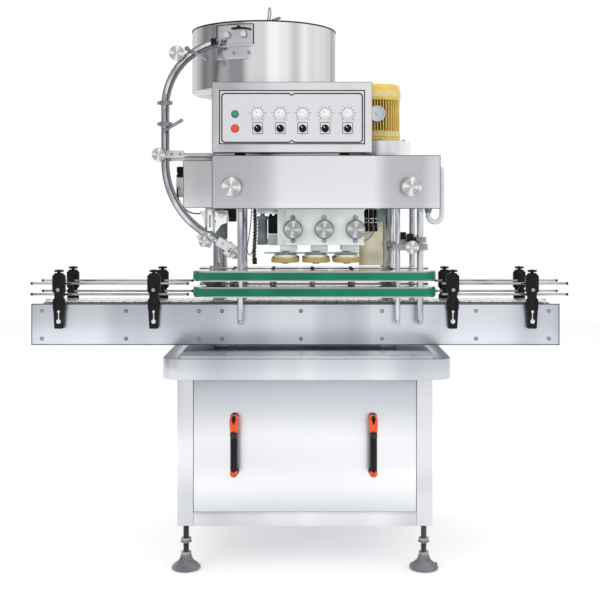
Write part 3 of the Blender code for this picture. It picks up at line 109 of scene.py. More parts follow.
class Weave:
    """A node tree being wired: adds nodes and joins their sockets."""

    def __init__(self, tree: bpy.types.NodeTree) -> None:
        """Start on a tree.

        Args:
            tree: The material's or group's node tree.
        """
        self.tree = tree

    def node(self, kind: str, inputs: dict | None = None, **settings: object) -> bpy.types.Node:
        """Add a node.

        Args:
            kind: The node's type name.
            inputs: Socket name or index to a value or to another node's output.
            settings: Attributes to set on the node.

        Returns:
            The node.
        """
        made = self.tree.nodes.new(kind)
        for name, value in settings.items():
            setattr(made, name, value)
        for name, value in (inputs or {}).items():
            if isinstance(value, bpy.types.NodeSocket):
                self.tree.links.new(value, made.inputs[name])
            else:
                made.inputs[name].default_value = value
        return made

    def math(self, operation: str, *values: object) -> bpy.types.NodeSocket:
        """Work out a value.

        Args:
            operation: A Math node's operation.
            values: Numbers or sockets.

        Returns:
            The result's socket.
        """
        return self.node("ShaderNodeMath", dict(enumerate(values)), operation=operation).outputs[0]

    def blend(self, share: object, first: object, second: object) -> bpy.types.NodeSocket:
        """Mix two colours.

        Args:
            share: How much of the second.
            first: Colour or socket.
            second: Colour or socket.

        Returns:
            The mixed colour's socket.
        """
        mix = self.node("ShaderNodeMix", {0: share, 6: first, 7: second}, data_type="RGBA")
        return mix.outputs[2]


def new_group(name: str, takes: dict[str, tuple[str, object]], gives: dict[str, str]) -> tuple:
    """Start a shader group with named sockets.

    Args:
        name: The group's name.
        takes: Input name to its kind and default.
        gives: Output name to its kind.

    Returns:
        The group, its Weave, and its input and output nodes.
    """
    group = bpy.data.node_groups.new(name, "ShaderNodeTree")
    for label, (kind, value) in takes.items():
        socket = group.interface.new_socket(label, in_out="INPUT", socket_type=f"NodeSocket{kind}")
        socket.default_value = value
    for label, kind in gives.items():
        group.interface.new_socket(label, in_out="OUTPUT", socket_type=f"NodeSocket{kind}")
    weave = Weave(group)
    return group, weave, weave.node("NodeGroupInput"), weave.node("NodeGroupOutput")


def grain_group() -> bpy.types.NodeTree:
    """Fine directional grain: a value and a normal that vary along one direction.

    Returns:
        The group, for brushed sheet, turned faces and drawn rod.
    """
    group, weave, start, end = new_group(
        "fine_grain", {"Stretch": ("Vector", (1, 1, 1)), "Scale": ("Float", 100.0), "Depth": ("Float", 0.1)},
        {"Value": "Float", "Normal": "Vector"})
    place = weave.node("ShaderNodeTexCoord").outputs["Object"]
    pulled = weave.node("ShaderNodeVectorMath", {0: place, 1: start.outputs["Stretch"]}, operation="MULTIPLY")
    noise = weave.node("ShaderNodeTexNoise", {"Vector": pulled.outputs[0], "Scale": start.outputs["Scale"],
                                              "Detail": 3.0})
    bump = weave.node("ShaderNodeBump", {"Strength": start.outputs["Depth"], "Distance": 0.0004,
                                         "Height": noise.outputs[0]})
    group.links.new(noise.outputs[0], end.inputs["Value"])
    group.links.new(bump.outputs[0], end.inputs["Normal"])
    return group


def wear_group() -> bpy.types.NodeTree:
    """Mask of the edges, broken up by noise, where a finish rubs bright.

    Returns:
        The group.
    """
    group, weave, start, end = new_group("edge_wear", {"Amount": ("Float", 0.5)}, {"Mask": "Float"})
    eased_normal = weave.node("ShaderNodeBevel", {"Radius": 0.0014}, samples=3).outputs[0]
    true_normal = weave.node("ShaderNodeNewGeometry").outputs["Normal"]
    match = weave.node("ShaderNodeVectorMath", {0: eased_normal, 1: true_normal}, operation="DOT_PRODUCT")
    sharp = weave.node("ShaderNodeMapRange", {"Value": match.outputs["Value"], "From Min": 0.99,
        "From Max": 0.80})
    place = weave.node("ShaderNodeTexCoord").outputs["Object"]
    patches = weave.node("ShaderNodeTexNoise", {"Vector": place, "Scale": 90.0, "Detail": 2.0}).outputs[0]
    broken = weave.math("MULTIPLY", sharp.outputs[0], patches)
    group.links.new(weave.math("MULTIPLY", broken, start.outputs["Amount"]), end.inputs["Mask"])
    return group


def bands_group() -> bpy.types.NodeTree:
    """Slow light and dark bands along one direction of the piece, and a cosine wave along an axis: painted
    reflection and painted shade on bare metal, random mottle on mouldings.

    Returns:
        The group.
    """
    group, weave, start, end = new_group("painted_reflection_bands_and_mottle",
        {"Stretch": ("Vector", (1, 0, 0)), "Scale": ("Float", 4.0), "Contrast": ("Float", 1.0),
        "Axis": ("Vector", (1, 0, 0)), "Turns": ("Float", 0.0), "Peak": ("Float", 0.0),
        "Swing": ("Float", 0.0)}, {"Share": "Float"})
    place = weave.node("ShaderNodeTexCoord").outputs["Object"]
    pulled = weave.node("ShaderNodeVectorMath", {0: place, 1: start.outputs["Stretch"]}, operation="MULTIPLY")
    noise = weave.node("ShaderNodeTexNoise", {"Vector": pulled.outputs[0], "Scale": start.outputs["Scale"],
                                              "Detail": 1.0}).outputs[0]
    # Noise bands: painted reflection on bare metal, random tone on mouldings.
    centred = weave.math("MULTIPLY", weave.math("SUBTRACT", noise, 0.5), start.outputs["Contrast"])
    along = weave.node("ShaderNodeVectorMath", {0: place, 1: start.outputs["Axis"]},
                       operation="DOT_PRODUCT").outputs["Value"]
    # Painted light: a cosine wave, with painted highlight at Peak and painted shade away from it, along Axis.
    phase = weave.math("MULTIPLY", weave.math("SUBTRACT", along, start.outputs["Peak"]),
        start.outputs["Turns"])
    wave = weave.math("MULTIPLY", weave.math("COSINE", phase), start.outputs["Swing"])
    mixed = weave.math("ADD", weave.math("ADD", weave.math("MULTIPLY", centred, 3.0), 0.5), wave)
    share = weave.node("ShaderNodeClamp", {0: mixed})
    group.links.new(share.outputs[0], end.inputs["Share"])
    return group


GRAIN = grain_group()
WEAR = wear_group()
BANDS = bands_group()


def started(name: str) -> tuple[bpy.types.Material, Weave, bpy.types.Node]:
    """Make a material with its Principled shader.

    Args:
        name: The material's name.

    Returns:
        The material, its Weave and the shader node.
    """
    made = bpy.data.materials.new(name)
    made.use_nodes = True
    return made, Weave(made.node_tree), made.node_tree.nodes["Principled BSDF"]


def use(weave: Weave, group: bpy.types.NodeTree, **values: object) -> bpy.types.Node:
    """Place a shader group with its own values.

    Args:
        weave: The tree to place it in.
        group: The group.
        values: Its inputs, by name.

    Returns:
        The group's node.
    """
    made = weave.node("ShaderNodeGroup", node_tree=group)
    for name, value in values.items():
        made.inputs[name].default_value = value
    return made


@dataclass(frozen=True)
class Metal:
    """A bare metal: two tones in slow bands of painted reflection, a wave of painted highlight and painted
    shade along one way, and directional grain.
    """

    name: str
    bright: str
    dark: str
    roughness: float = 0.25
    band_way: tuple[float, float, float] = (1.0, 0.3, 0.0)
    band_scale: float = 5.0
    contrast: float = 1.0
    grain_way: tuple[float, float, float] = (1.0, 1.0, 0.02)
    grain_scale: float = 600.0
    depth: float = 0.05
    wave_length: float = 0.0
    wave_peak: float = 0.0
    wave_way: tuple[float, float, float] = (1.0, 0.0, 0.0)
    slot: str = "steel_sheet"

    def made(self) -> bpy.types.Material:
        """Return the finish as a material."""
        material, weave, shader = started(self.name)
        turns = 2 * math.pi / self.wave_length if self.wave_length else 0.0
        bands = use(weave, BANDS, Stretch=self.band_way, Scale=self.band_scale, Contrast=self.contrast,
            Turns=turns, Axis=self.wave_way, Peak=self.wave_peak, Swing=0.5 if self.wave_length else 0.0)
        grain = use(weave, GRAIN, Stretch=self.grain_way, Scale=self.grain_scale, Depth=self.depth)
        # Painted reflection: the colour swings between the bright and dark tones with the bands and the wave.
        colour = weave.blend(bands.outputs["Share"], linear(self.dark), linear(self.bright))
        rough = weave.math("ADD", weave.math("MULTIPLY", grain.outputs["Value"], 0.14), self.roughness - 0.07)
        links = weave.tree.links
        links.new(colour, shader.inputs["Base Color"])
        links.new(rough, shader.inputs["Roughness"])
        links.new(grain.outputs["Normal"], shader.inputs["Normal"])
        shader.inputs["Metallic"].default_value = 1.0
        return material


@dataclass(frozen=True)
class Moulding:
    """A moulded or painted surface: mottled colour, fine pebble and worn edges."""

    name: str
    colour: str
    shade: str
    worn: str
    roughness: float = 0.45
    pebble_scale: float = 500.0
    depth: float = 0.15
    wear: float = 0.4
    mottle_scale: float = 30.0
    stretch: tuple[float, float, float] = (1.0, 1.0, 1.0)
    coat: float = 0.0
    gloss: float = 0.25
    slot: str = "black_plastic"

    def made(self) -> bpy.types.Material:
        """Return the finish as a material."""
        material, weave, shader = started(self.name)
        mottle = use(weave, BANDS, Stretch=self.stretch, Scale=self.mottle_scale, Contrast=1.0)
        grain = use(weave, GRAIN, Stretch=self.stretch, Scale=self.pebble_scale, Depth=self.depth)
        wear = use(weave, WEAR, Amount=self.wear)
        tone = weave.blend(mottle.outputs["Share"], linear(self.shade), linear(self.colour))
        colour = weave.blend(wear.outputs["Mask"], tone, linear(self.worn))
        rough = weave.math("ADD", weave.math("MULTIPLY", grain.outputs["Value"], 0.2), self.roughness - 0.1)
        links = weave.tree.links
        links.new(colour, shader.inputs["Base Color"])
        links.new(rough, shader.inputs["Roughness"])
        links.new(grain.outputs["Normal"], shader.inputs["Normal"])
        shader.inputs["Coat Weight"].default_value = self.coat
        shader.inputs["Specular IOR Level"].default_value = self.gloss
        return material


@dataclass(frozen=True)
class Spun:
    """A face turned on a lathe: fine rings, and bright wedges of painted highlight about its axis."""

    name: str
    bright: str
    dark: str
    roughness: float
    rings: float = 1400.0
    wedges: float = 4.0
    lean: float = 0.5
    slot: str = "turned_steel"

    def made(self) -> bpy.types.Material:
        """Return the finish as a material."""
        material, weave, shader = started(self.name)
        place = weave.node("ShaderNodeAttribute", attribute_name=SPUN)
        parts = weave.node("ShaderNodeSeparateXYZ", {0: place.outputs["Vector"]})
        # Painted highlight: bright wedges by angle about the axis, standing for the turned face's reflection.
        angle = weave.math("ARCTAN2", parts.outputs[1], parts.outputs[0])
        wave = weave.math("COSINE", weave.math("ADD", weave.math("MULTIPLY", angle, self.wedges), self.lean))
        flat = weave.math("POWER", weave.math("ADD", weave.math("MULTIPLY", wave, 0.5), 0.5), 2.5)
        squared = weave.math("ADD", weave.math("MULTIPLY", parts.outputs[0], parts.outputs[0]),
                             weave.math("MULTIPLY", parts.outputs[1], parts.outputs[1]))
        radius = weave.math("SQRT", squared)
        line = weave.node("ShaderNodeTexNoise", {"W": radius, "Scale": self.rings, "Detail": 2.0},
                          noise_dimensions="1D")
        uneven = weave.math("MULTIPLY", line.outputs[0], 0.45)
        share = weave.node("ShaderNodeClamp",
            {0: weave.math("ADD", weave.math("MULTIPLY", flat, 0.75), uneven)})
        tone = weave.blend(share.outputs[0], linear(self.dark), linear(self.bright))
        rough = weave.math("ADD", weave.math("MULTIPLY", line.outputs[0], 0.16), self.roughness - 0.08)
        bump = weave.node("ShaderNodeBump", {"Strength": 0.12, "Distance": 0.0002, "Height": line.outputs[0]})
        weave.tree.links.new(tone, shader.inputs["Base Color"])
        weave.tree.links.new(rough, shader.inputs["Roughness"])
        weave.tree.links.new(bump.outputs[0], shader.inputs["Normal"])
        shader.inputs["Metallic"].default_value = 1.0
        return material


@dataclass(frozen=True)
class Clear:
    """Clear or milky moulded plastic."""

    name: str
    colour: str
    transmission: float
    roughness: float = 0.12
    slot: str = "hose"

    def made(self) -> bpy.types.Material:
        """Return the finish as a material."""
        material, weave, shader = started(self.name)
        grain = use(weave, GRAIN, Stretch=(1, 1, 1), Scale=300.0, Depth=0.05)
        rough = weave.math("ADD", weave.math("MULTIPLY", grain.outputs["Value"], 0.1), self.roughness - 0.05)
        weave.tree.links.new(rough, shader.inputs["Roughness"])
        weave.tree.links.new(grain.outputs["Normal"], shader.inputs["Normal"])
        tone = weave.blend(grain.outputs["Value"], linear(self.colour), linear("F6F8FA"))
        weave.tree.links.new(tone, shader.inputs["Base Color"])
        shader.inputs["Transmission Weight"].default_value = self.transmission
        shader.inputs["IOR"].default_value = 1.47
        return material


class Look(Enum):
    """Every finish on the machine."""

    # Every Metal finish paints reflection as slow bands between its bright and dark tones.
    SHEET = Metal("brushed_sheet", "E2E3E8", "C6C7CC", 0.26, contrast=0.9)
    POST = Metal("post_steel", "E6E7EB", "CDCFD4", 0.25, band_way=(0.3, 0.3, 1.0), band_scale=5.0)
    # Painted shade towards the panel's top, under the table, and towards its foot; painted highlight across
    # its middle.
    PANEL = Metal("panel_steel", "F4F5F8", "ABB1BB", 0.34, band_way=(0.15, 0, 1.0), band_scale=4.0,
        contrast=0.5, wave_length=0.66, wave_peak=0.36, wave_way=(0.0, 0.0, 1.0))
    TRAY = Metal("brushed_tray", "DADCE1", "BABDC5", 0.28, grain_way=(0.05, 1.0, 1.0), depth=0.02)
    # Painted highlight along the conveyor plate, brightest at X -0.16, darker towards its ends.
    PLATE = Metal("conveyor_sheet", "DADDE4", "B9BDC6", 0.36, grain_way=(0.05, 1.0, 1.0), depth=0.02,
                  wave_length=0.62, wave_peak=-0.16, contrast=1.3)
    # Painted reflection: bright down the hopper drum's middle at X -0.045, dark towards its sides.
    DRUM = Metal("drum_sheet", "F8F7F9", "A8A7AB", 0.26, band_way=(1, 1, 0.0), band_scale=14.0, contrast=0.9,
                 wave_length=0.46, wave_peak=-0.045)
    # Painted highlight along the beam, brightest at X 0.09, darker towards its ends.
    HEAD = Metal("head_sheet", "E6E7EB", "BEBEC4", 0.36, band_scale=6.0, contrast=1.0, wave_length=0.72,
                 wave_peak=0.09)
    # Painted highlight across the box, brightest at X -0.05, darker towards its ends.
    BOX = Metal("control_sheet", "E2E0E3", "C0BEC2", 0.32, band_scale=6.0, contrast=1.2, wave_length=0.95,
        wave_peak=-0.05)
    LABEL = Metal("panel_foil", "E8E7EC", "DEDEE4", 0.45, contrast=0.5, depth=0.02, slot="pale_paint")
    POLISHED = Metal("polished_rod", "DADDE2", "A4A8B0", 0.12, band_way=(1, 1, 0.2), band_scale=40.0,
        depth=0.02, slot="turned_steel")
    COLUMN = Metal("column_steel", "BEC1C6", "83878E", 0.16, band_way=(1, 1, 0.1), band_scale=40.0,
        depth=0.02, slot="turned_steel")
    GUIDE = Metal("guide_rod", "C6C5C4", "8C8A89", 0.25, band_way=(1, 0, 1), band_scale=10.0, depth=0.02,
        slot="turned_steel")
    CLAMP = Metal("clamp_plate", "FBFBF9", "EDEDEA", 0.16, depth=0.01, contrast=0.5, slot="pale_paint")
    GUARD = Metal("guard_cream", "FBF3DC", "F1E6C4", 0.40, depth=0.01, contrast=0.5, slot="pale_paint")
    RAIL = Metal("fitting_steel", "CDCDD0", "A0A0A5", 0.30, band_way=(1, 1, 1), band_scale=9.0)
    CHUTE = Metal("chute_steel", "A8A9AE", "83858C", 0.42, band_way=(1, 1, 1), band_scale=9.0, depth=0.02)
    DIMMED = Spun("gap_knob_steel", "D6D8D8", "86898A", 0.26)
    KNOB = Spun("spun_steel", "F4F4F2", "9C9C9B", 0.24)
    TURNED = Metal("turned_steel", "D6D6D5", "A5A6A7", 0.22, band_way=(1, 0, 1), band_scale=30.0,
        slot="turned_steel")
    BOLT = Metal("bolt_steel", "A9ABB0", "7E8086", 0.30, grain_way=(1, 1, 1), band_scale=20.0,
        slot="dark_steel")
    DARK = Metal("dark_steel", "5A5C62", "2E3035", 0.32, grain_way=(1, 1, 1), band_scale=25.0,
        slot="dark_steel")
    BRONZE = Metal("plated_thread", "8F887E", "5D5852", 0.35, grain_way=(1, 1, 0.1), band_scale=40.0,
        slot="dark_steel")
    HAMMER = Moulding("hammered_paint", "F2F8F4", "DCE6E0", "F8FBF9", 0.38, 260.0, 0.35, 0.3, 12.0,
        coat=0.2, slot="pale_paint")
    CASTING = Moulding("grey_green_casting", "98A5A6", "74828A", "B9C2C2", 0.45, 200.0, 0.3, 0.3, 20.0,
        slot="dark_steel")
    BLACK = Moulding("black_moulding", "08080A", "040405", "1C1D20", 0.42, 700.0, 0.12, 0.35)
    GLOSS = Moulding("black_gloss", "08080A", "040405", "1E1F22", 0.26, 300.0, 0.03, 0.2, coat=0.4)
    CONE = Moulding("foot_rubber", "85878A", "5E6064", "B4B6B9", 0.28, 400.0, 0.08, 0.4, 18.0, coat=0.3,
        slot="dark_steel")
    ORANGE = Moulding("orange_moulding", "FF6A1C", "E84E12", "FFB07A", 0.34, 400.0, 0.06, 0.35, 40.0,
        coat=0.3, slot="orange_plastic")
    GREEN = Moulding("green_belt_face", "128466", "0C6E56", "3FAE8F", 0.42, 500.0, 0.18, 0.15, 9.0,
        (1, 1, 0.3), slot="green_belt")
    CHAIN = Moulding("chain_plate", "EEF5F1", "DCE8E2", "F8FBF9", 0.20, 500.0, 0.03, 0.3, 14.0, coat=0.7,
        slot="pale_chain")
    TYRE = Moulding("tan_rubber", "B49A52", "8E7232", "D2BC7E", 0.55, 350.0, 0.3, 0.3, 22.0, (1, 1, 2.5),
        slot="tan_rubber")
    LINE = Moulding("dark_line", "17181B", "0C0D0F", "1E1F22", 0.55, 300.0, 0.02, 0.05, slot="dark_steel")
    WHITE = Moulding("white_hub", "F6F7F4", "E6E8E4", "FBFBFA", 0.35, 300.0, 0.04, 0.2, slot="turned_steel")
    BAND = Moulding("cowl_band", "EFDFA2", "DDC77E", "F6ECC4", 0.35, 240.0, 0.05, 0.3, slot="yellow_paint")
    # Painted shade for the gaps between the motor's fins.
    GAPS = Moulding("painted_fin_shade", "8C6C1C", "5E4610", "A08030", 0.5, 300.0, 0.02, 0.1, slot="yellow_paint")
    YELLOW = Moulding("yellow_enamel", "F2D778", "E8C85E", "F8EAB8", 0.32, 240.0, 0.12, 0.45, 16.0,
        coat=0.3, slot="yellow_paint")
    STICKER = Metal("round_cover", "D4D9DF", "A3ABB6", 0.30, grain_way=(1, 1, 1), band_scale=14.0,
        slot="dark_steel")
    START = Moulding("green_button_face", "18A878", "0E8E62", "6AD0B0", 0.25, 300.0, 0.02, 0.2, coat=0.5)
    STOP = Moulding("red_button_face", "F2543E", "DC3C2A", "FA9A8A", 0.25, 300.0, 0.02, 0.2, coat=0.5)
    STOP_RING = Moulding("red_button_ring", "D8705C", "B85040", "F0A898", 0.3, 300.0, 0.02, 0.2)
    DIAL = Clear("clear_dial", "DDE4EA", 0.35, slot="clear_dial")
    HOSE = Clear("milky_hose", "DDE1E4", 0.12, 0.22)
    BLUE = Moulding("blue_tube", "3C7CA8", "2C6088", "7FB0D0", 0.3, 300.0, 0.02, 0.1, slot="hose")
    CABLE = Moulding("cable_jacket", "24262B", "15161A", "4A4C52", 0.4, 600.0, 0.1, 0.2)
    WRAP = Moulding("spiral_wrap", "5A5D50", "2E302B", "8A8D80", 0.4, 300.0, 0.1, 0.2, 60.0)
    BOWL = Moulding("regulator_body", "E4E2E0", "CFCDCB", "F4F3F2", 0.3, 300.0, 0.04, 0.2, slot="pale_paint")

    @property
    def material(self) -> bpy.types.Material:
        """The finish's material, made the first time it is asked for."""
        found = bpy.data.materials.get(self.value.name)
        return found or self.value.made()


# ---- modelling ---------------------------------------------------------------
def clear_selection() -> None:
    """Leave edit mode and deselect everything."""
    if bpy.context.object and bpy.context.object.mode != "OBJECT":
        bpy.ops.object.mode_set(mode="OBJECT")
    bpy.ops.object.select_all(action="DESELECT")


def eased(profile: Profile, ease: float) -> list[tuple[float, float]]:
    """Round the corners of a profile.

    Args:
        profile: (radius, height) points.
        ease: How far from a corner its rounding starts.

    Returns:
        The profile, with three points at each corner.
    """
    points = [Vector(p) for p in profile]
    rounded = [points[0]]
    for before, corner, after in zip(points, points[1:], points[2:]):
        back = before - corner
        on = after - corner
        reach = min(ease, back.length / 2.2, on.length / 2.2)
        if back.length < 1e-7 or on.length < 1e-7 or back.angle(on) > math.radians(160):
            rounded.append(corner)
            continue
        first = corner + back.normalized() * reach
        last = corner + on.normalized() * reach
        rounded += [first, first / 4 + corner / 2 + last / 4, last]
    return [tuple(p) for p in rounded + [points[-1]]]


def arc(centre: Point, radius: float, start: float, end: float, steps: int) -> list[tuple[float, float]]:
    """Points on an arc.

    Args:
        centre: Its centre.
        radius: Its radius.
        start: First angle in degrees.
        end: Last angle in degrees.
        steps: Number of chords.

    Returns:
        The points, both ends among them.
    """
    turns = [math.radians(start + (end - start) * i / steps) for i in range(steps + 1)]
    return [(centre[0] + radius * math.cos(t), centre[1] + radius * math.sin(t)) for t in turns]


def round_rectangle(low: Point, high: Point, radius: float, steps: int = 6) -> list[tuple[float, float]]:
    """Outline of a rectangle with round corners.

    Args:
        low: One corner.
        high: The opposite corner.
        radius: Corner radius.
        steps: Chords at each corner.

    Returns:
        The outline's points, anticlockwise.
    """
    (x0, y0), (x1, y1) = low, high
    middles = ((x1 - radius, y1 - radius), (x0 + radius, y1 - radius),
               (x0 + radius, y0 + radius), (x1 - radius, y0 + radius))
    return [p for i, m in enumerate(middles) for p in arc(m, radius, 90 * i, 90 * i + 90, steps)]


def stadium(left: float, right: float, middle: float, radius: float, steps: int = 24) -> list[
        tuple[float, float]]:
    """Outline of two half circles joined by straight runs.

    Args:
        left: Centre of the left end.
        right: Centre of the right end.
        middle: Both centres' other coordinate.
        radius: End radius.
        steps: Chords at each end.

    Returns:
        The outline's points, anticlockwise.
    """
    return arc((right, middle), radius, -90, 90, steps) + arc((left, middle), radius, 90, 270, steps)


def hoop(inner: float, outer: float, low: float, high: float) -> list[tuple[float, float]]:
    """Return the closed profile of a ring with a square section."""
    return [(inner, low), (outer, low), (outer, high), (inner, high), (inner, low)]


def puck(radius: float, low: float, high: float) -> list[tuple[float, float]]:
    """Return the profile of a plain disc."""
    return [(0, low), (radius, low), (radius, high), (0, high)]


class Bench:
    """One piece under way, shaped with Blender's operators as by hand."""

    def __init__(self, name: str) -> None:
        """Take the object just added, name it and settle its place into its mesh.

        Args:
            name: The piece's name.
        """
        self.piece = bpy.context.object
        self.piece.name = name
        self.piece.data.name = name
        self.settle()

    def take(self) -> None:
        """Make this the only selected object, and the active one."""
        clear_selection()
        self.piece.select_set(True)
        bpy.context.view_layer.objects.active = self.piece

    def settle(self) -> "Bench":
        """Apply the object's place to its mesh."""
        self.take()
        bpy.ops.object.transform_apply(location=True, rotation=True, scale=True)
        return self

    @contextmanager
    def editing(self, faces: bool = True) -> Iterator[None]:
        """Stay in edit mode for a while.

        Args:
            faces: Select by faces, not by points.
        """
        self.take()
        bpy.context.tool_settings.mesh_select_mode = (not faces, False, faces)
        bpy.ops.object.mode_set(mode="EDIT")
        yield
        bpy.ops.object.mode_set(mode="OBJECT")

    @classmethod
    def block(cls, name: str, low: Point, high: Point, ease: float = 0.0, segments: int = 2) -> "Bench":
        """A block between two corners, its edges rounded.

        Args:
            name: The piece's name.
            low: Lowest corner.
            high: Highest corner.
            ease: Width of the rounding.
            segments: Faces across it.

        Returns:
            The bench with the piece on it.
        """
        clear_selection()
        low = Vector(low)
        high = Vector(high)
        bpy.ops.mesh.primitive_cube_add(size=1, location=(low + high) / 2)
        bpy.context.object.scale = high - low
        made = cls(name)
        return made.bevel(ease, segments) if ease else made

    @classmethod
    def turned(cls, name: str, profile: Profile, centre: Point = (0, 0, 0), facing: Facing = Facing.UP,
               steps: int = 40, ease: float = 0.0006) -> "Bench":
        """Spin a profile about an axis.

        Args:
            name: The piece's name.
            profile: (radius, height) points along the axis.
            centre: Where height 0 lies on the axis.
            facing: Which way heights grow.
            steps: Sides of the round shape.
            ease: Rounding of the profile's corners.

        Returns:
            The bench with the piece on it.
        """
        clear_selection()
        bpy.ops.mesh.primitive_plane_add(size=1)
        made = cls(name)
        points = eased(profile, ease) if ease else list(profile)
        with made.editing(faces=False):
            bpy.ops.mesh.select_all(action="SELECT")
            bpy.ops.mesh.merge(type="CENTER")
            bpy.ops.transform.translate(value=(points[0][0], 0, points[0][1]))
            for (r0, z0), (r1, z1) in zip(points, points[1:]):
                bpy.ops.mesh.extrude_region_move(TRANSFORM_OT_translate={"value": (r1 - r0, 0, z1 - z0)})
            bpy.ops.mesh.select_all(action="SELECT")
            bpy.ops.mesh.spin(steps=steps, angle=2 * math.pi, center=(0, 0, 0), axis=(0, 0, 1))
            bpy.ops.mesh.select_all(action="SELECT")
            bpy.ops.mesh.remove_doubles(threshold=0.000005)
            bpy.ops.mesh.normals_make_consistent(inside=False)
        made.piece.rotation_euler = facing.value
        made.piece.location = centre
        return made.settle()

    @classmethod
    def rod(cls, name: str, start: Point, end: Point, radius: float, ease: float = 0.0006,
            sides: int = 24) -> "Bench":
        """A round bar with eased ends.

        Args:
            name: The piece's name.
            start: Middle of one end.
            end: Middle of the other.
            radius: Its radius.
            ease: Rounding of its ends.
            sides: Its sides.

        Returns:
            The bench with the piece on it.
        """
        clear_selection()
        start = Vector(start)
        along = Vector(end) - start
        bpy.ops.mesh.primitive_cylinder_add(vertices=sides, radius=radius, depth=along.length,
                                            location=start + along / 2,
                                            rotation=along.to_track_quat("Z", "Y").to_euler())
        return cls(name).bevel(ease, 2) if ease else cls(name)

    @classmethod
    def plate(cls, name: str, outline: Sequence[Point], low: float, high: float, way: str = "Z",
              ease: float = 0.0) -> "Bench":
        """A flat outline pushed to a thickness.

        Args:
            name: The piece's name.
            outline: Points in XY, XZ or YZ.
            low: Where it starts along the way.
            high: Where it ends.
            way: Axis it is pushed along: Z, Y or X.
            ease: Rounding of its edges.

        Returns:
            The bench with the piece on it.
        """
        clear_selection()
        bpy.ops.mesh.primitive_circle_add(vertices=len(outline), radius=1, fill_type="NGON")
        made = cls(name)
        place = {"Z": lambda a, b, t: (a, b, t), "Y": lambda a, b, t: (a, t, b),
                 "X": lambda a, b, t: (t, a, b)}[way]
        for vertex, (a, b) in zip(made.piece.data.vertices, outline):
            vertex.co = place(a, b, low)
        with made.editing():
            bpy.ops.mesh.select_all(action="SELECT")
            bpy.ops.mesh.extrude_region_move(TRANSFORM_OT_translate={"value": place(0, 0, high - low)})
            bpy.ops.mesh.select_all(action="SELECT")
            bpy.ops.mesh.normals_make_consistent(inside=False)
        return made.bevel(ease, 2) if ease else made

    @classmethod
    def tube(cls, name: str, route: Sequence[Point], radius: float | Sequence[float], sides: int = 3,
             smooth: bool = True, closed: bool = False) -> "Bench":
        """A round bar, wire or hose along a route.

        Args:
            name: The piece's name.
            route: Its points.
            radius: Its radius, or one for each point.
            sides: Bevel resolution of the round section.
            smooth: Draw a smooth curve past the points, not straight runs.
            closed: Join the last point to the first.

        Returns:
            The bench with the piece on it.
        """
        clear_selection()
        bpy.ops.curve.primitive_nurbs_path_add(location=(0, 0, 0))
        line = bpy.context.object.data
        line.splines.clear()
        spline = line.splines.new("NURBS" if smooth else "POLY")
        spline.points.add(len(route) - 1)
        radii = radius if isinstance(radius, Sequence) else [radius] * len(route)
        for knot, point, thick in zip(spline.points, route, radii):
            knot.co = (*point, 1)
            knot.radius = thick / max(radii)
        spline.use_endpoint_u = not closed
        spline.use_cyclic_u = closed
        spline.order_u = 3
        spline.resolution_u = 6
        line.bevel_depth = max(radii)
        line.bevel_resolution = sides
        line.use_fill_caps = not closed
        bpy.ops.object.convert(target="MESH")
        made = cls(name)
        with made.editing():
            bpy.ops.mesh.select_all(action="SELECT")
            bpy.ops.mesh.remove_doubles(threshold=0.000005)
            bpy.ops.mesh.normals_make_consistent(inside=False)
        return made

    @classmethod
    def of_node(cls, name: str, node: str, ease: float) -> "Bench":
        """A copy of a frame node, its flats cleaned and its edges rounded.

        Args:
            name: The piece's name.
            node: The frame node.
            ease: Rounding of the edges.

        Returns:
            The bench with the piece on it.
        """
        clear_selection()
        source = frame["nodes"][node]
        copy = bpy.data.objects.new(name, source.data.copy())
        bpy.context.scene.collection.objects.link(copy)
        bpy.context.view_layer.objects.active = copy
        made = cls(name)
        with made.editing():
            bpy.ops.mesh.select_all(action="SELECT")
            bpy.ops.mesh.remove_doubles(threshold=0.00001)
            bpy.ops.mesh.dissolve_limited(angle_limit=math.radians(1))
        return made.bevel(ease, 2)

    def bevel(self, width: float, segments: int = 2, angle: float = 35.0) -> "Bench":
        """Round every edge that is sharper than an angle.

        Args:
            width: Width of the rounding.
            segments: Faces across it.
            angle: Smallest turn that counts as an edge, in degrees.

        Returns:
            This bench.
        """
        self.take()
        bpy.ops.object.modifier_add(type="BEVEL")
        step = self.piece.modifiers[-1]
        step.width = width
        step.segments = segments
        step.limit_method = "ANGLE"
        step.angle_limit = math.radians(angle)
        bpy.ops.object.modifier_apply(modifier=step.name)
        return self

    def cut(self, tool: "Bench") -> "Bench":
        """Take another shape out of this one.

        Args:
            tool: The shape that is taken out, and used up.

        Returns:
            This bench.
        """
        self.take()
        bpy.ops.object.modifier_add(type="BOOLEAN")
        step = self.piece.modifiers[-1]
        step.operation = "DIFFERENCE"
        step.object = tool.piece
        bpy.ops.object.modifier_apply(modifier=step.name)
        bpy.data.objects.remove(tool.piece, do_unlink=True)
        return self

    def pick(self, test: Test) -> "Bench":
        """Select the faces whose middle and normal pass a test, for the next edit.

        Args:
            test: Takes a face's middle and normal.

        Returns:
            This bench.
        """
        mesh = self.piece.data
        for parts in (mesh.vertices, mesh.edges, mesh.polygons):
            parts.foreach_set("select", [False] * len(parts))
        for face in mesh.polygons:
            face.select = test(face.center, face.normal)
        return self

    def inset(self, thickness: float, depth: float = 0.0, each: bool = False) -> "Bench":
        """Inset the picked faces.

        Args:
            thickness: Width of the border that is left.
            depth: How far they then move along their normals.
            each: Inset each face by itself.

        Returns:
            This bench.
        """
        with self.editing():
            bpy.ops.mesh.inset(thickness=thickness, depth=depth, use_individual=each)
        return self

    def push(self, way: Point) -> "Bench":
        """Extrude the picked faces along a way."""
        with self.editing():
            bpy.ops.mesh.extrude_region_move(TRANSFORM_OT_translate={"value": tuple(way)})
        return self

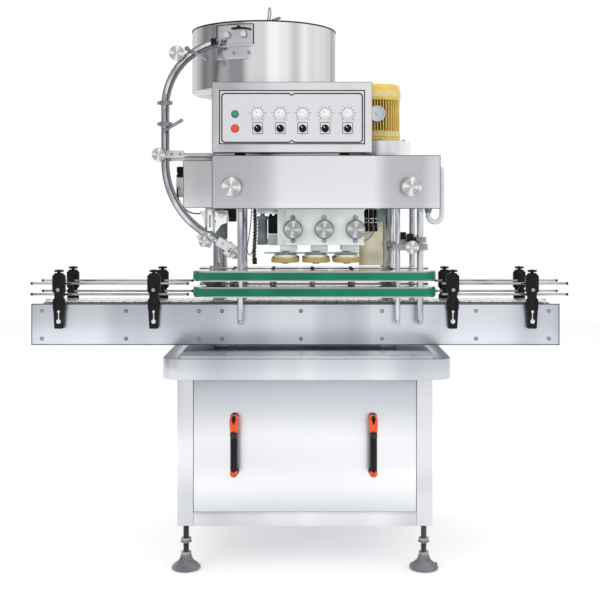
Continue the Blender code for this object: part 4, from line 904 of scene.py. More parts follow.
    def moved(self, matrix: Matrix) -> "Bench":
        """Place the piece with a matrix, in its mesh."""
        self.piece.matrix_world = matrix
        return self.settle()

    def spread(self, places: Iterable[Matrix]) -> "Bench":
        """Copy the piece to several places, each copy with its own mesh, and join them.

        Args:
            places: A matrix for each copy.

        Returns:
            This bench, now with all of them.
        """
        copies = []
        for place in places:
            copy = self.piece.copy()
            copy.data = self.piece.data.copy()
            copy.data.transform(place)
            bpy.context.scene.collection.objects.link(copy)
            copies.append(copy)
        bpy.data.objects.remove(self.piece, do_unlink=True)
        self.piece = copies[0]
        self.piece.name = self.piece.data.name
        return self.joined(*copies[1:])

    def joined(self, *others: "Bench | bpy.types.Object") -> "Bench":
        """Join other pieces to this one.

        Args:
            others: Benches or objects, used up.

        Returns:
            This bench.
        """
        self.take()
        for other in others:
            (other.piece if isinstance(other, Bench) else other).select_set(True)
        if others:
            bpy.ops.object.join()
        return self

    @staticmethod
    def group(benches: "Sequence[Bench]") -> "Bench":
        """Join all of a list's pieces to its first one."""
        return benches[0].joined(*benches[1:])

    def done(self, name: str, look: Look, body: str = "head", *stands_for: str, slot: str = "",
             angle: float = 38.0) -> bpy.types.Object:
        """Name, shade and dress the piece, and let it ride on its body.

        Args:
            name: The piece's name.
            look: Its finish.
            body: The frame body that it rides on.
            stands_for: Frame nodes that it replaces.
            slot: The record's material slot, where it isn't the finish's usual one. Not used.
            angle: Faces that meet at less are shaded as one, in degrees.

        Returns:
            The finished object.
        """
        self.settle()
        bpy.ops.object.shade_smooth_by_angle(angle=math.radians(angle))
        self.piece.name = name
        self.piece.data.name = name
        self.piece.data.materials.clear()
        self.piece.data.materials.append(look.material)
        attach(self.piece, body)
        if stands_for:
            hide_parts(*stands_for)
        log.info("%s on %s", name, body)
        return self.piece


def shift(x: float = 0.0, y: float = 0.0, z: float = 0.0) -> Matrix:
    """Return a move as a matrix."""
    return Matrix.Translation((x, y, z))


def turn(degrees: float, axis: str, about: Point = (0, 0, 0)) -> Matrix:
    """A turn about an axis through a point.

    Args:
        degrees: How far.
        axis: X, Y or Z.
        about: The point.

    Returns:
        The turn as a matrix.
    """
    there = Matrix.Translation(Vector(about))
    return there @ Matrix.Rotation(math.radians(degrees), 4, axis) @ there.inverted()


def centre_of(node: str) -> Vector:
    """Middle of a frame node's box."""
    low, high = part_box(node)
    return (low + high) / 2


def hex_bolt(name: str, size: float, facing: Facing = Facing.FRONT) -> Bench:
    """A hexagon head with a raised round end, at the origin.

    Args:
        name: The piece's name.
        size: Radius over the corners.
        facing: Which way it stands out.

    Returns:
        The bench with the bolt on it.
    """
    head = Bench.plate(name, arc((0, 0), size, 0, 300, 5), 0, size * 0.7, ease=size * 0.08)
    washer = Bench.turned("washer", puck(size * 1.25, -size * 0.05, size * 0.1), steps=20, ease=size * 0.05)
    return head.joined(washer).moved(facing.matrix)


def cap_screw(name: str, size: float, facing: Facing = Facing.FRONT) -> Bench:
    """A round head with a hexagon socket, at the origin.

    Args:
        name: The piece's name.
        size: Head radius.
        facing: Which way it stands out.

    Returns:
        The bench with the screw on it.
    """
    head = Bench.turned(name, [(0, 0), (size, 0), (size, size * 0.75), (size * 0.86, size), (0, size)],
                        steps=24, ease=size * 0.12)
    socket = Bench.plate("socket", arc((0, 0), size * 0.55, 0, 300, 5), size * 0.45, size * 1.2)
    return head.cut(socket).moved(facing.matrix)


def grip_knob(name: str, radius: float, thickness: float, centre: Point, stand: float,
              facing: Facing = Facing.FRONT, ribs: int = 64) -> Bench:
    """A turned knob: shaft, dished face with a centre pip, and a knurled rim.

    Args:
        name: The piece's name.
        radius: Rim radius.
        thickness: From the back of the rim to its face.
        centre: Where its shaft meets the surface behind it.
        stand: Gap behind the rim.
        facing: Which way it stands out.
        ribs: Knurls round the rim.

    Returns:
        The bench with the knob on it.
    """
    top = stand + thickness
    profile = [(0, -0.004), (radius * 0.18, -0.004), (radius * 0.18, stand * 0.6),
        (radius * 0.45, stand * 0.6), (radius * 0.45, stand), (radius * 0.86, stand),
        (radius, stand + radius * 0.1), (radius, top - radius * 0.1), (radius * 0.9, top),
        (radius * 0.74, top), (radius * 0.68, top - radius * 0.06), (radius * 0.24, top - radius * 0.02),
        (radius * 0.2, top + radius * 0.02), (0, top + radius * 0.02)]
    knob = Bench.turned(name, profile, steps=ribs, ease=radius * 0.025)
    knob.pick(lambda c, n: abs(n.z) < 0.3 and math.hypot(c.x, c.y) > radius * 0.97)
    knob.inset(radius * 0.012, -radius * 0.02, each=True)
    mesh = knob.piece.data
    # Each point's position, read by the spun finish to paint its highlight wedges about the axis.
    spun = mesh.attributes.new(SPUN, "FLOAT_VECTOR", "POINT")
    spun.data.foreach_set("vector", [v for vertex in mesh.vertices for v in vertex.co])
    place = Matrix.Translation(Vector(centre)) @ Matrix.Rotation(facing.value[0], 4, "X")
    return knob.moved(place @ Matrix.Rotation(facing.value[1], 4, "Y"))


# ---- cabinet, feet, panel and table ------------------------------------------
def edge_lines(name: str, low: Point, high: Point, y: float, width: float, body: str) -> None:
    """Thin dark lines of painted shade along the four edges of a face that looks to the front, standing for
    the shadow at its folded edges.

    Args:
        name: The piece's name.
        low: Lower left corner, X and Z.
        high: Upper right corner, X and Z.
        y: Where the face lies.
        width: Width of a line.
        body: The frame body that it rides on.
    """
    (x0, z0), (x1, z1) = low, high
    half = width / 2
    corners = [(x0 + half, z0 + half), (x1 - half, z0 + half), (x1 - half, z1 - half), (x0 + half, z1 - half)]
    route = [(x, y + half * 0.4, z) for x, z in corners]
    Bench.tube(name, route, half, sides=1, smooth=False, closed=True).done(name, Look.LINE, body)


@dataclass
class Cabinet:
    """Casing with its lift-off panel, handles and levelling feet."""

    post: float = 0.052
    rail: float = 0.046
    handle_radius: float = 0.0115
    handle_bend: float = 0.016
    crest: float = 0.036
    cover_length: float = 0.047
    pad_radius: float = 0.0475
    cone_height: float = 0.040
    stem_radius: float = 0.0095
    nut_radius: float = 0.0175
    thread_pitch: float = 0.0024

    def build(self) -> None:
        """Build the casing and all that it carries."""
        self.casing()
        self.panel()
        self.side_screws()
        for side in ("left", "right"):
            self.handle(side)
        for row in ("front", "rear"):
            for side in ("left", "right"):
                self.foot(row, side, 90 if side == "left" else 0)

    def casing(self) -> None:
        """Four tube posts with rails, and sheets let in between them."""
        low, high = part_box("cabinet_shell")
        post = self.post
        posts = [Bench.block("post", (x, y, low.z), (x + post, y + post, high.z), 0.0026, 3)
                 for x in (low.x, high.x - post) for y in (low.y, high.y - post)]
        Bench.group(posts).done("cabinet_posts", Look.POST, "base", "cabinet_shell")
        inset = 0.0006
        rails = []
        for z0, z1 in ((low.z, low.z + self.rail), (high.z - 0.003, high.z)):
            for y in (low.y + inset, high.y - post):
                rails.append(Bench.block("rail", (low.x + post, y, z0),
                    (high.x - post, y + post - inset, z1), 0.0012))
            for x in (low.x + inset, high.x - post):
                rails.append(Bench.block("rail", (x, low.y + post, z0),
                    (x + post - inset, high.y - post, z1), 0.0012))
        Bench.group(rails).done("cabinet_rails", Look.SHEET, "base")
        deep = 0.002
        top = high.z - 0.0032
        floor = low.z + self.rail
        sheets = [Bench.block("side", (x, low.y + post + deep, floor + 0.0004),
            (x + deep, high.y - post - deep, top), 0.0008) for x in (low.x + 0.001, high.x - 0.001 - deep)]
        sheets.append(Bench.block("back", (low.x + post + deep, high.y - 0.001 - deep, floor + 0.0004),
                                  (high.x - post - deep, high.y - 0.001, top), 0.0008))
        sheets.append(Bench.block("floor", (low.x + 0.01, low.y + 0.01, low.z + 0.002),
                                  (high.x - 0.01, high.y - 0.01, low.z + 0.004), 0.0005))
        Bench.group(sheets).done("cabinet_sheets", Look.SHEET, "base")
        self.louvres(low, high)

    def louvres(self, low: Vector, high: Vector) -> None:
        """Pressed air slots in the back sheet.

        Args:
            low: The casing's lowest corner.
            high: Its highest corner.
        """
        y = high.y - 0.0012
        slot = Bench.plate("slot", [(0, 0), (0.0034, -0.002), (0.0042, -0.010), (0, -0.011)], -0.045, 0.045,
            "X", 0.0006)
        middle = (low.x + high.x) / 2
        spots = [shift(middle + a, y, 0.40 + 0.018 * i) for a in (-0.20, 0.20) for i in range(6)]
        slot.spread(spots).done("cabinet_louvres", Look.SHEET, "base")

    def panel(self) -> None:
        """Folded cover sheet with a plain face."""
        low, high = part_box("front_panel")
        sheet = Bench.block("panel", low, high, 0.0016, 3)
        sheet.pick(lambda c, n: n.y > 0.9).inset(0.002, -0.0175)
        sheet.done("panel_sheet", Look.PANEL, "panel", "front_panel")

    def side_screws(self) -> None:
        """Rows of countersunk screws down both sides and the back."""
        low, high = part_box("cabinet_shell")
        screw = Bench.turned("screw", [(0, -0.001), (0.0055, -0.001), (0.0055, 0.0004), (0.003, 0.0016),
            (0, 0.0016)], steps=16, ease=0.0002)
        heights = [low.z + 0.03 + (high.z - low.z - 0.06) * i / 3 for i in range(4)]
        places = []
        for z in heights:
            for y in (low.y + 0.026, high.y - 0.026):
                places.append(shift(low.x, y, z) @ turn(-90, "Y"))
                places.append(shift(high.x, y, z) @ turn(90, "Y"))
            for x in (low.x + 0.026, high.x - 0.026):
                places.append(shift(x, high.y, z) @ turn(-90, "X"))
        screw.spread(places).done("cabinet_screws", Look.BOLT, "base")

    def handle(self, side: str) -> None:
        """A black bow with an orange elbow above and a round orange plug below.

        Args:
            side: Left or right.
        """
        node = f"panel_handle_{side}"
        low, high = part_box(node)
        x = (low.x + high.x) / 2
        radius = self.handle_radius
        bottom = low.z + radius + 0.0005
        top = high.z - radius - 0.0005
        root = high.y
        crest = root - self.crest
        bend = self.handle_bend
        route = [(x, root, bottom), (x, crest + bend, bottom), (x, crest, bottom), (x, crest, bottom + bend),
                 (x, crest, top - bend), (x, crest, top), (x, crest + bend, top), (x, root, top)]
        Bench.tube(node, route, radius, sides=5).done(f"handle_{side}_grip", Look.BLACK, "panel", node)
        for z in (bottom, top):
            foot = Bench.turned("foot", [(0, 0), (0.0145, 0), (0.0145, 0.003), (0.0122, 0.006), (0, 0.006)],
                                (x, root, z), Facing.FRONT, 28)
            foot.done(f"handle_{side}_foot_{'low' if z == bottom else 'high'}", Look.BLACK, "panel")
        wide = shift(x) @ Matrix.Diagonal((1.14, 1, 1, 1)) @ shift(-x)
        cover = [(x, root - 0.004, top - 0.001), (x, crest + bend, top - 0.001),
            (x, crest + 0.002, top - 0.001), (x, crest + 0.001, top - bend), (x, crest, top - 0.028),
            (x, crest, top - self.cover_length)]
        Bench.tube("cover", cover, [0.0124, 0.0126, 0.0126, 0.0126, 0.0122, 0.0106],
            sides=6).moved(wide).done(f"handle_{side}_elbow", Look.ORANGE, "panel")
        collar = [(0.0119, -0.010), (0.0124, -0.006), (0.0124, 0.006), (0.0115, 0.010), (0.0104, 0.010),
                  (0.0104, -0.010), (0.0119, -0.010)]
        Bench.turned("collar", collar, (x, crest, top - self.cover_length - 0.002), steps=28).done(
            f"handle_{side}_collar", Look.GLOSS, "panel")
        plug = [(0, 0), (0.0126, 0), (0.0132, 0.004), (0.0124, 0.009), (0.0085, 0.0125), (0, 0.0138)]
        Bench.turned("plug", plug, (x, crest + 0.002, bottom + 0.0005), Facing.FRONT, 32, 0.0012).moved(
            shift(z=0.0016)).done(f"handle_{side}_plug", Look.ORANGE, "panel")

    def foot(self, row: str, side: str, lug_turn: float) -> None:
        """Cone pad with two fixing lugs, a threaded stem and two nuts.

        Args:
            row: Front or rear.
            side: Left or right.
            lug_turn: Turn of the lugs about the stem, in degrees.
        """
        node = f"leveling_foot_{row}_{side}"
        body = f"{node}_body"
        low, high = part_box(node)
        centre = ((low.x + high.x) / 2, (low.y + high.y) / 2, 0)
        pad = self.pad_radius
        cone = [(0, 0), (pad - 0.004, 0), (pad, 0.003), (pad, 0.007), (pad - 0.004, 0.012), (0.034, 0.020),
                (0.023, 0.029), (0.019, self.cone_height), (0.0165, self.cone_height + 0.004), (0, 0.044)]
        piece = Bench.turned(node, cone, centre, steps=48, ease=0.0015)
        for side_of in (-1, 1):
            lug = Bench.turned("lug", [(0, 0), (0.0062, 0), (0.0062, 0.010), (0.0035, 0.010),
                (0.0035, 0.006), (0, 0.006)], (centre[0] + side_of * 0.0385, centre[1], 0.0075), steps=16)
            piece.joined(lug.moved(turn(lug_turn, "Z", centre)))
        piece.done(f"{node}_pad", Look.CONE, body, node)
        stem = self.stem_radius
        thread = [(0, 0.042), (stem, 0.042)]
        count = round((high.z - 0.046) / self.thread_pitch)
        for i in range(count):
            z = 0.044 + i * self.thread_pitch
            thread += [(stem - 0.0012, z), (stem, z + self.thread_pitch / 2)]
        thread += [(stem - 0.0012, high.z - 0.001), (0, high.z - 0.001)]
        Bench.turned("stem", thread, centre, steps=24, ease=0).done(f"{node}_stem", Look.BRONZE, body)
        nuts = None
        hexagon = [(centre[0] + a, centre[1] + b) for a, b in arc((0, 0), self.nut_radius, 10, 310, 5)]
        for z, tall in ((0.044, 0.013), (0.090, 0.012)):
            nut = Bench.plate("nut", hexagon, z, z + tall)
            nut.bevel(0.0015, 2)
            ring = Bench.turned("ring", hoop(0.0105, 0.0185, z - 0.003, z - 0.0002), (*centre[:2], 0),
                steps=28)
            nuts = nut.joined(ring) if nuts is None else nuts.joined(nut, ring)
        nuts.done(f"{node}_nuts", Look.BOLT, body)


@dataclass
class Table:
    """Round-cornered tray with a gutter round a raised platform."""

    corner: float = 0.060
    wall: float = 0.003
    gutter: float = 0.047
    gutter_depth: float = 0.030
    rim_ease: float = 0.0014

    def build(self) -> None:
        """Push the outline up, then sink the gutter into it."""
        low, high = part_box("table_tray")
        rim = high.z - 0.004
        outline = round_rectangle((low.x, low.y), (high.x, high.y), self.corner, 12)
        tray = Bench.plate("tray", outline, low.z, rim)
        tray.pick(lambda c, n: n.z > 0.9).inset(self.wall)
        tray.pick(lambda c, n: n.z > 0.9 and len_near(c, low, high)).push((0, 0, -self.gutter_depth))
        tray.inset(self.gutter).push((0, 0, self.gutter_depth + 0.004))
        tray.bevel(self.rim_ease, 3, 30)
        tray.done("table_top", Look.TRAY, "base", "table_tray")


def len_near(centre: Vector, low: Vector, high: Vector) -> bool:
    """Tell whether a face's middle is the middle of a box seen from above."""
    return abs(centre.x - (low.x + high.x) / 2) < 0.01 and abs(centre.y - (low.y + high.y) / 2) < 0.01


# ---- conveyor ------------------------------------------------------------------
@dataclass
class Conveyor:
    """Side plates, their bolts, the flat-top chain and its sprockets."""

    plate: float = 0.003
    bolt_distances: tuple[float, ...] = (0.0365, 0.323, 0.5715, 0.65, 0.919, 1.195, 1.515, 1.7637)
    bolt_radius: float = 0.0062
    links: int = 96
    link_gap: float = 0.0040
    link_thickness: float = 0.0040
    loop_radius: float = 0.040
    teeth: int = 6
    tooth_root: float = 0.0275
    tooth_tip: float = 0.0335
    wheel_places: tuple[float, float] = (-0.1375, -0.0625)
    shaft_radius: float = 0.0125
    shaft_collar: float = 0.019
    collar_spans: tuple[tuple[float, float], ...] = ((0.05, 0.070), (0.124, 0.144))

    def build(self) -> None:
        """Build frame, bolts, chain and sprockets."""
        self.low, self.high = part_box("conveyor_frame")
        self.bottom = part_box("table_tray")[1].z + 0.0135
        self.frame()
        self.bolts()
        self.chain()
        for node, body in (("drive_sprocket", "drive_roller"), ("idler_sprocket", "idler_roller")):
            self.sprocket(node, body)

    def frame(self) -> None:
        """Two plates with turned-in flanges, spreader bars and channel feet."""
        low = self.low
        high = self.high
        ends = [centre_of(node).x for node in ("idler_sprocket", "drive_sprocket")]
        for name, y0, y1, inward in (("front", low.y, low.y + self.plate, 1), ("rear", high.y - self.plate,
                                                                             high.y, -1)):
            side = Bench.block("side", (low.x, y0, self.bottom), (high.x, y1, high.z), 0.0007)
            inner = y1 if inward > 0 else y0
            flange = Bench.block("flange", (low.x + 0.001, min(inner, inner + inward * 0.012), self.bottom),
                (high.x - 0.001, max(inner, inner + inward * 0.012), self.bottom + 0.003), 0.0007)
            side.joined(flange).done(f"conveyor_side_{name}", Look.PLATE, "base",
                *(["conveyor_frame"] if name == "front" else ()))
        # Painted shade: dark lines along the front plate's edges.
        edge_lines("conveyor_edge", (low.x, self.bottom), (high.x, high.z), low.y, 0.0040, "base")
        z = centre_of("drive_sprocket").z
        bars = [Bench.rod("bar", (ends[0] + (ends[1] - ends[0]) * share, low.y + 0.002, z),
                          (ends[0] + (ends[1] - ends[0]) * share, high.y - 0.002, z), 0.010)
                for share in (0.10, 0.37, 0.63, 0.93)]
        Bench.group(bars).done("conveyor_spreaders", Look.BOLT, "base")
        casing_low, casing_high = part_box("cabinet_shell")
        feet = []
        for x in (casing_low.x + 0.104, casing_high.x - 0.156):
            foot = Bench.block("foot", (x, low.y + 0.004, low.z),
                (x + 0.052, high.y - 0.004, self.bottom + 0.003))
            foot.pick(lambda c, n: abs(n.y) > 0.9).inset(0.003, -0.06).bevel(0.0008, 2)
            feet.append(foot)
        Bench.group(feet).done("conveyor_feet", Look.PLATE, "base")
        strips = [Bench.block("strip", (ends[0] + 0.03, y, high.z - 0.012),
            (ends[1] - 0.03, y + 0.022, high.z - 0.0005), 0.001) for y in (low.y + 0.030, high.y - 0.052)]
        Bench.group(strips).done("chain_wear_strips", Look.BLACK, "base")

    def bolts(self) -> None:
        """Two rows of button-head bolts along each plate."""
        size = self.bolt_radius
        bolt = Bench.turned("bolt", [(0, -0.0005), (size * 1.15, -0.0005), (size * 1.15, 0.0004),
            (size, 0.0008), (size * 0.8, size * 0.45), (size * 0.42, size * 0.55),
            (size * 0.38, size * 0.2), (0, size * 0.2)], steps=20, ease=0.0002)
        heights = (self.high.z - 0.025, self.bottom + 0.022)
        front = [shift(self.low.x + d, self.low.y, z) @ turn(90, "X")
                 for d in self.bolt_distances for z in heights]
        back = [shift(self.low.x + d, self.high.y, z) @ turn(-90, "X")
                for d in self.bolt_distances for z in heights]
        bolt.spread(front + back).done("conveyor_bolts", Look.BOLT, "base")

    def loop_point(self, along: float) -> tuple[float, float]:
        """Where a distance along the chain's loop lies.

        Args:
            along: Distance from the start of the upper run.

        Returns:
            X and Z.
        """
        left = centre_of("idler_sprocket").x
        right = centre_of("drive_sprocket").x
        z = centre_of("drive_sprocket").z
        run = right - left
        bend = math.pi * self.loop_radius
        along %= 2 * (run + bend)
        if along < run:
            return left + along, z + self.loop_radius
        if along < run + bend:
            angle = math.pi / 2 - (along - run) / self.loop_radius
            return right + self.loop_radius * math.cos(angle), z + self.loop_radius * math.sin(angle)
        if along < 2 * run + bend:
            return right - (along - run - bend), z - self.loop_radius
        angle = -math.pi / 2 - (along - 2 * run - bend) / self.loop_radius
        return left + self.loop_radius * math.cos(angle), z + self.loop_radius * math.sin(angle)

    def chain(self) -> None:
        """Hinged flat-top plates laid round the loop, each on the chord between its hinges."""
        low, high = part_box("conveyor_chain")
        left = centre_of("idler_sprocket").x
        right = centre_of("drive_sprocket").x
        length = 2 * (right - left) + 2 * math.pi * self.loop_radius
        pitch = length / self.links
        half = (pitch - self.link_gap) / 2
        width = high.y - low.y
        outline = [(-half, -width / 2), (half, -width / 2), (half, -width * 0.32),
            (half + 0.0022, -width * 0.29), (half + 0.0022, width * 0.29), (half, width * 0.32),
            (half, width / 2), (-half, width / 2)]
        link = Bench.plate("link", outline, -self.link_thickness * 0.7, 0, ease=0.0007)
        barrel = Bench.rod("barrel", (half + 0.0020, -width * 0.45, -0.0024),
            (half + 0.0020, width * 0.45, -0.0024), 0.0015, 0, 8)
        places = []
        for i in range(self.links):
            x0, z0 = self.loop_point(i * pitch)
            x1, z1 = self.loop_point((i + 1) * pitch)
            tilt = math.atan2(z1 - z0, x1 - x0)
            middle = shift((x0 + x1) / 2, (low.y + high.y) / 2, (z0 + z1) / 2)
            places.append(middle @ Matrix.Rotation(-tilt, 4, "Y"))
        barrel.spread(places).done("chain_hinges", Look.CASTING, "base")
        link.spread(places).done("chain_plates", Look.CHAIN, "base", "conveyor_chain")

    def sprocket(self, node: str, body: str) -> None:
        """Two toothed wheels on a shaft with its end collars.

        Args:
            node: The frame node that it stands for.
            body: The frame body that it rides on.
        """
        low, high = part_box(node)
        centre = centre_of(node)
        outline = []
        for i in range(self.teeth * 2):
            for radius, offset in ((self.tooth_root, -0.33), (self.tooth_tip, -0.14), (self.tooth_tip, 0.14),
                                   (self.tooth_root, 0.33)):
                angle = math.pi * (i + offset) / self.teeth
                outline.append((radius * math.cos(angle), radius * math.sin(angle)))
        wheel = Bench.plate("wheel", outline, -0.006, 0.006, "Y", 0.0008)
        wheel.spread([shift(centre.x, y, centre.z) for y in self.wheel_places])
        thick = self.shaft_radius
        lead = 0.002
        shaft = [(0, 0), (thick - lead, 0), (thick, lead)]
        for start, end in self.collar_spans:
            shaft += [(thick, start), (self.shaft_collar, start + lead), (self.shaft_collar, end),
                (thick, end + lead)]
        shaft += [(thick, high.y - low.y), (0, high.y - low.y)]
        Bench.turned("shaft", shaft, (centre.x, low.y, centre.z), Facing.BACK, 32).joined(wheel).done(
            f"{node}_wheels", Look.DARK, body, node)


# ---- bottle guides -------------------------------------------------------------
@dataclass
class Guides:
    """Moulded brackets with their star knobs, and the twin rods that they clamp."""

    thickness: float = 0.014
    foot_half: float = 0.0150
    head_half: float = 0.0205
    stub_radius: float = 0.006
    knob_radius: float = 0.0165
    rod_radius: float = 0.004
    sides: dict[str, tuple[int, int]] = field(default_factory=lambda: {"left": (1, 2), "right": (3, 4)})

    def build(self) -> None:
        """Build four bracket pairs and four rails."""
        frame_low, frame_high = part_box("conveyor_frame")
        self.faces = ((-1, frame_low.y), (1, frame_high.y))
        self.stub_z = centre_of("guide_rail_left_front").z
        for number in range(1, 5):
            self.bracket(number)
        for side, numbers in self.sides.items():
            for row in ("front", "rear"):
                self.rail(side, row, numbers)

    def bracket(self, number: int) -> None:
        """A tapered leg with a slot, a clamp head and a star knob, on each side of the line.

        Args:
            number: The bracket's number along the line.
        """
        node = f"guide_bracket_{number}"
        low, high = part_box(node)
        x = (low.x + high.x) / 2
        foot = low.z
        crown = high.z - 0.012
        bolt_z = foot + 0.020
        for sign, face in self.faces:
            row = "front" if sign < 0 else "rear"
            outer = face + sign * self.thickness
            near, far = sorted((face + sign * 0.0004, outer))
            outline = [(x - self.foot_half, foot + 0.002), (x - self.foot_half + 0.002, foot),
                       (x + self.foot_half - 0.002, foot), (x + self.foot_half, foot + 0.002),
                       (x + self.head_half - 0.002, foot + 0.062), (x + self.head_half, foot + 0.070),
                       (x + self.head_half, foot + 0.098), (x + 0.015, foot + 0.104),
                       (x + 0.015, foot + 0.120), (x + self.head_half + 0.0015, foot + 0.126),
                       (x + self.head_half + 0.0015, crown - 0.010), (x + 0.012, crown),
                       (x - 0.012, crown), (x - self.head_half - 0.0015, crown - 0.010),
                       (x - self.head_half - 0.0015, foot + 0.126), (x - 0.015, foot + 0.120),
                       (x - 0.015, foot + 0.104), (x - self.head_half, foot + 0.098),
                       (x - self.head_half, foot + 0.070), (x - self.head_half + 0.002, foot + 0.062)]
            arm = Bench.plate(node, outline, near, far, "Y", 0.0016)
            slot = stadium_up(x, foot + 0.026, foot + 0.060, 0.0034)
            arm.cut(Bench.plate("slot", slot, near - 0.01, far + 0.01, "Y"))
            arm.cut(Bench.rod("bore", (x, near - 0.01, self.stub_z), (x, far + 0.01, self.stub_z),
                              self.stub_radius + 0.0008, 0))
            boss = Bench.turned("boss", [(0.0068, 0), (0.0125, 0), (0.0125, 0.0025), (0.0108, 0.0045),
                                         (0.0068, 0.0045), (0.0068, 0)], (x, outer, self.stub_z),
                                Facing.FRONT if sign < 0 else Facing.BACK, 24)
            ribs = [Bench.block("rib", (x + a - 0.0013, min(outer, outer + sign * 0.0022), foot + 0.064),
                                (x + a + 0.0013, max(outer, outer + sign * 0.0022), foot + 0.100), 0.0006)
                    for a in (-0.012, 0.012)]
            arm.joined(boss, *ribs).done(f"bracket_{number}_{row}_arm", Look.BLACK, "base",
                *([node] if sign < 0 else ()))
            self.star_knob(f"bracket_{number}_{row}_knob", (x, (face + outer) / 2, crown - 0.002))
            self.fixings(f"bracket_{number}_{row}_bolts", x, outer, sign, bolt_z, foot + 0.062)
        Bench.rod("bolt", (x, self.faces[0][1] - 0.010, foot + 0.025),
            (x, self.faces[1][1] + 0.010, foot + 0.025), 0.004).done(f"bracket_{number}_through_bolt",
            Look.BOLT, "base")

    def star_knob(self, name: str, centre: Point) -> None:
        """A star grip on a short neck.

        Args:
            name: The piece's name.
            centre: Foot of the neck.
        """
        lobes = []
        for i in range(40):
            angle = 2 * math.pi * i / 40
            radius = self.knob_radius * (0.86 + 0.14 * math.cos(5 * angle))
            lobes.append((centre[0] + radius * math.cos(angle), centre[1] + radius * math.sin(angle)))
        star = Bench.plate(name, lobes, centre[2] + 0.0055, centre[2] + 0.0125, ease=0.0014)
        neck = Bench.turned("neck", [(0, 0), (0.0062, 0), (0.0062, 0.002), (0.0048, 0.003), (0.0085, 0.006),
            (0, 0.006)], centre, steps=20)
        pip = Bench.turned("pip", [(0, 0.012), (0.005, 0.012), (0.0044, 0.0138), (0, 0.0138)], centre,
            steps=16, ease=0.0003)
        star.joined(neck, pip).done(name, Look.BLACK, "base")

    def fixings(self, name: str, x: float, outer: float, sign: int, low: float, high: float) -> None:
        """Slotted bolt and washer at the slot's foot and a small screw at its top.

        Args:
            name: The piece's name.
            x: Middle of the leg.
            outer: Its outer face.
            sign: -1 in front, 1 behind.
            low: Height of the bolt.
            high: Height of the screw.
        """
        facing = Facing.FRONT if sign < 0 else Facing.BACK
        bolt = Bench.turned(name, [(0, -0.003), (0.0076, -0.003), (0.0076, 0.0008), (0.0054, 0.001),
            (0.0050, 0.0036), (0, 0.0042)], steps=24, ease=0.0003)
        bolt.cut(Bench.block("slot", (-0.008, -0.0008, 0.0024), (0.008, 0.0008, 0.006)))
        bolt.moved(shift(x, outer, low + 0.005) @ Matrix.Rotation(facing.value[0], 4, "X")
                   @ Matrix.Rotation(0.5, 4, "Z"))
        screw = Bench.turned("screw", [(0, -0.002), (0.0048, -0.002), (0.0048, 0.0012), (0.0036, 0.0024),
            (0, 0.0026)], (x, outer, high - 0.004), facing, 18, 0.0003)
        strip = Bench.block("strip", (x - 0.0016, min(outer, outer - sign * 0.004), low + 0.012),
                            (x + 0.0016, max(outer, outer - sign * 0.004), high - 0.004), 0.0006)
        bolt.joined(screw, strip).done(name, Look.TURNED, "base")

    def rail(self, side: str, row: str, numbers: tuple[int, int]) -> None:
        """Two rods with plug ends in clamp blocks, each block on a stub rod.

        Args:
            side: Left or right.
            row: Front or rear.
            numbers: The brackets that hold it.
        """
        node = f"guide_rail_{side}_{row}"
        body = f"{node}_body"
        low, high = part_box(node)
        sign = -1 if row == "front" else 1
        y = high.y - 0.007 if sign < 0 else low.y + 0.007
        heights = (self.stub_z + 0.0185, self.stub_z - 0.0185)
        rods = [Bench.rod("rod", (low.x + 0.004, y, z), (high.x - 0.004, y, z), self.rod_radius)
            for z in heights]
        Bench.group(rods).done(f"{node}_rods", Look.GUIDE, body, node)
        cap = Bench.turned("cap", [(0, 0), (0.0046, 0), (0.0046, 0.0065), (0.0038, 0.0075), (0, 0.0075)],
            steps=20)
        places = [shift(low.x, y, z) @ turn(90, "Y") @ turn(180, "X") @ shift(z=-0.0075) for z in heights]
        places += [shift(high.x - 0.0075, y, z) @ turn(90, "Y") for z in heights]
        cap.spread(places).done(f"{node}_end_caps", Look.BLACK, body)
        blocks = []
        stubs = []
        tip = low.y if sign < 0 else high.y
        for number in numbers:
            x = centre_of(f"guide_bracket_{number}").x
            block = Bench.block("block", (x - 0.009, y - 0.007, self.stub_z - 0.031),
                                (x + 0.009, y + 0.007, self.stub_z + 0.031), 0.0015)
            ears = [Bench.turned("ear", puck(0.0078, -0.0125, 0.0125), (x, y, z),
                                 Facing.RIGHT, 24) for z in heights]
            bosses = [Bench.turned("boss", [(0, 0), (0.0055, 0), (0.005, 0.004), (0, 0.004)],
                (x, y, self.stub_z + z), Facing.UP if z > 0 else Facing.DOWN, 16)
                for z in (0.0305, -0.0305)]
            blocks.append(block.joined(*ears, *bosses))
            stubs.append(Bench.rod("stub", (x, y, self.stub_z), (x, tip - sign * 0.0006, self.stub_z), 0.006))
            stubs.append(Bench.turned("ring", hoop(0.006, 0.0066, -0.0014, 0.0014),
                (x, tip - sign * 0.004, self.stub_z), Facing.FRONT, 20, 0))
        Bench.group(blocks).done(f"{node}_clamps", Look.BLACK, body)
        Bench.group(stubs).done(f"{node}_stubs", Look.DARK, body, slot="turned_steel")


def stadium_up(x: float, low: float, high: float, radius: float) -> list[tuple[float, float]]:
    """Outline of an upright slot.

    Args:
        x: Its middle.
        low: Centre of its lower end.
        high: Centre of its upper end.
        radius: Half its width.

    Returns:
        The outline's points.
    """
    return arc((x, high), radius, 0, 180, 8) + arc((x, low), radius, 180, 360, 8)


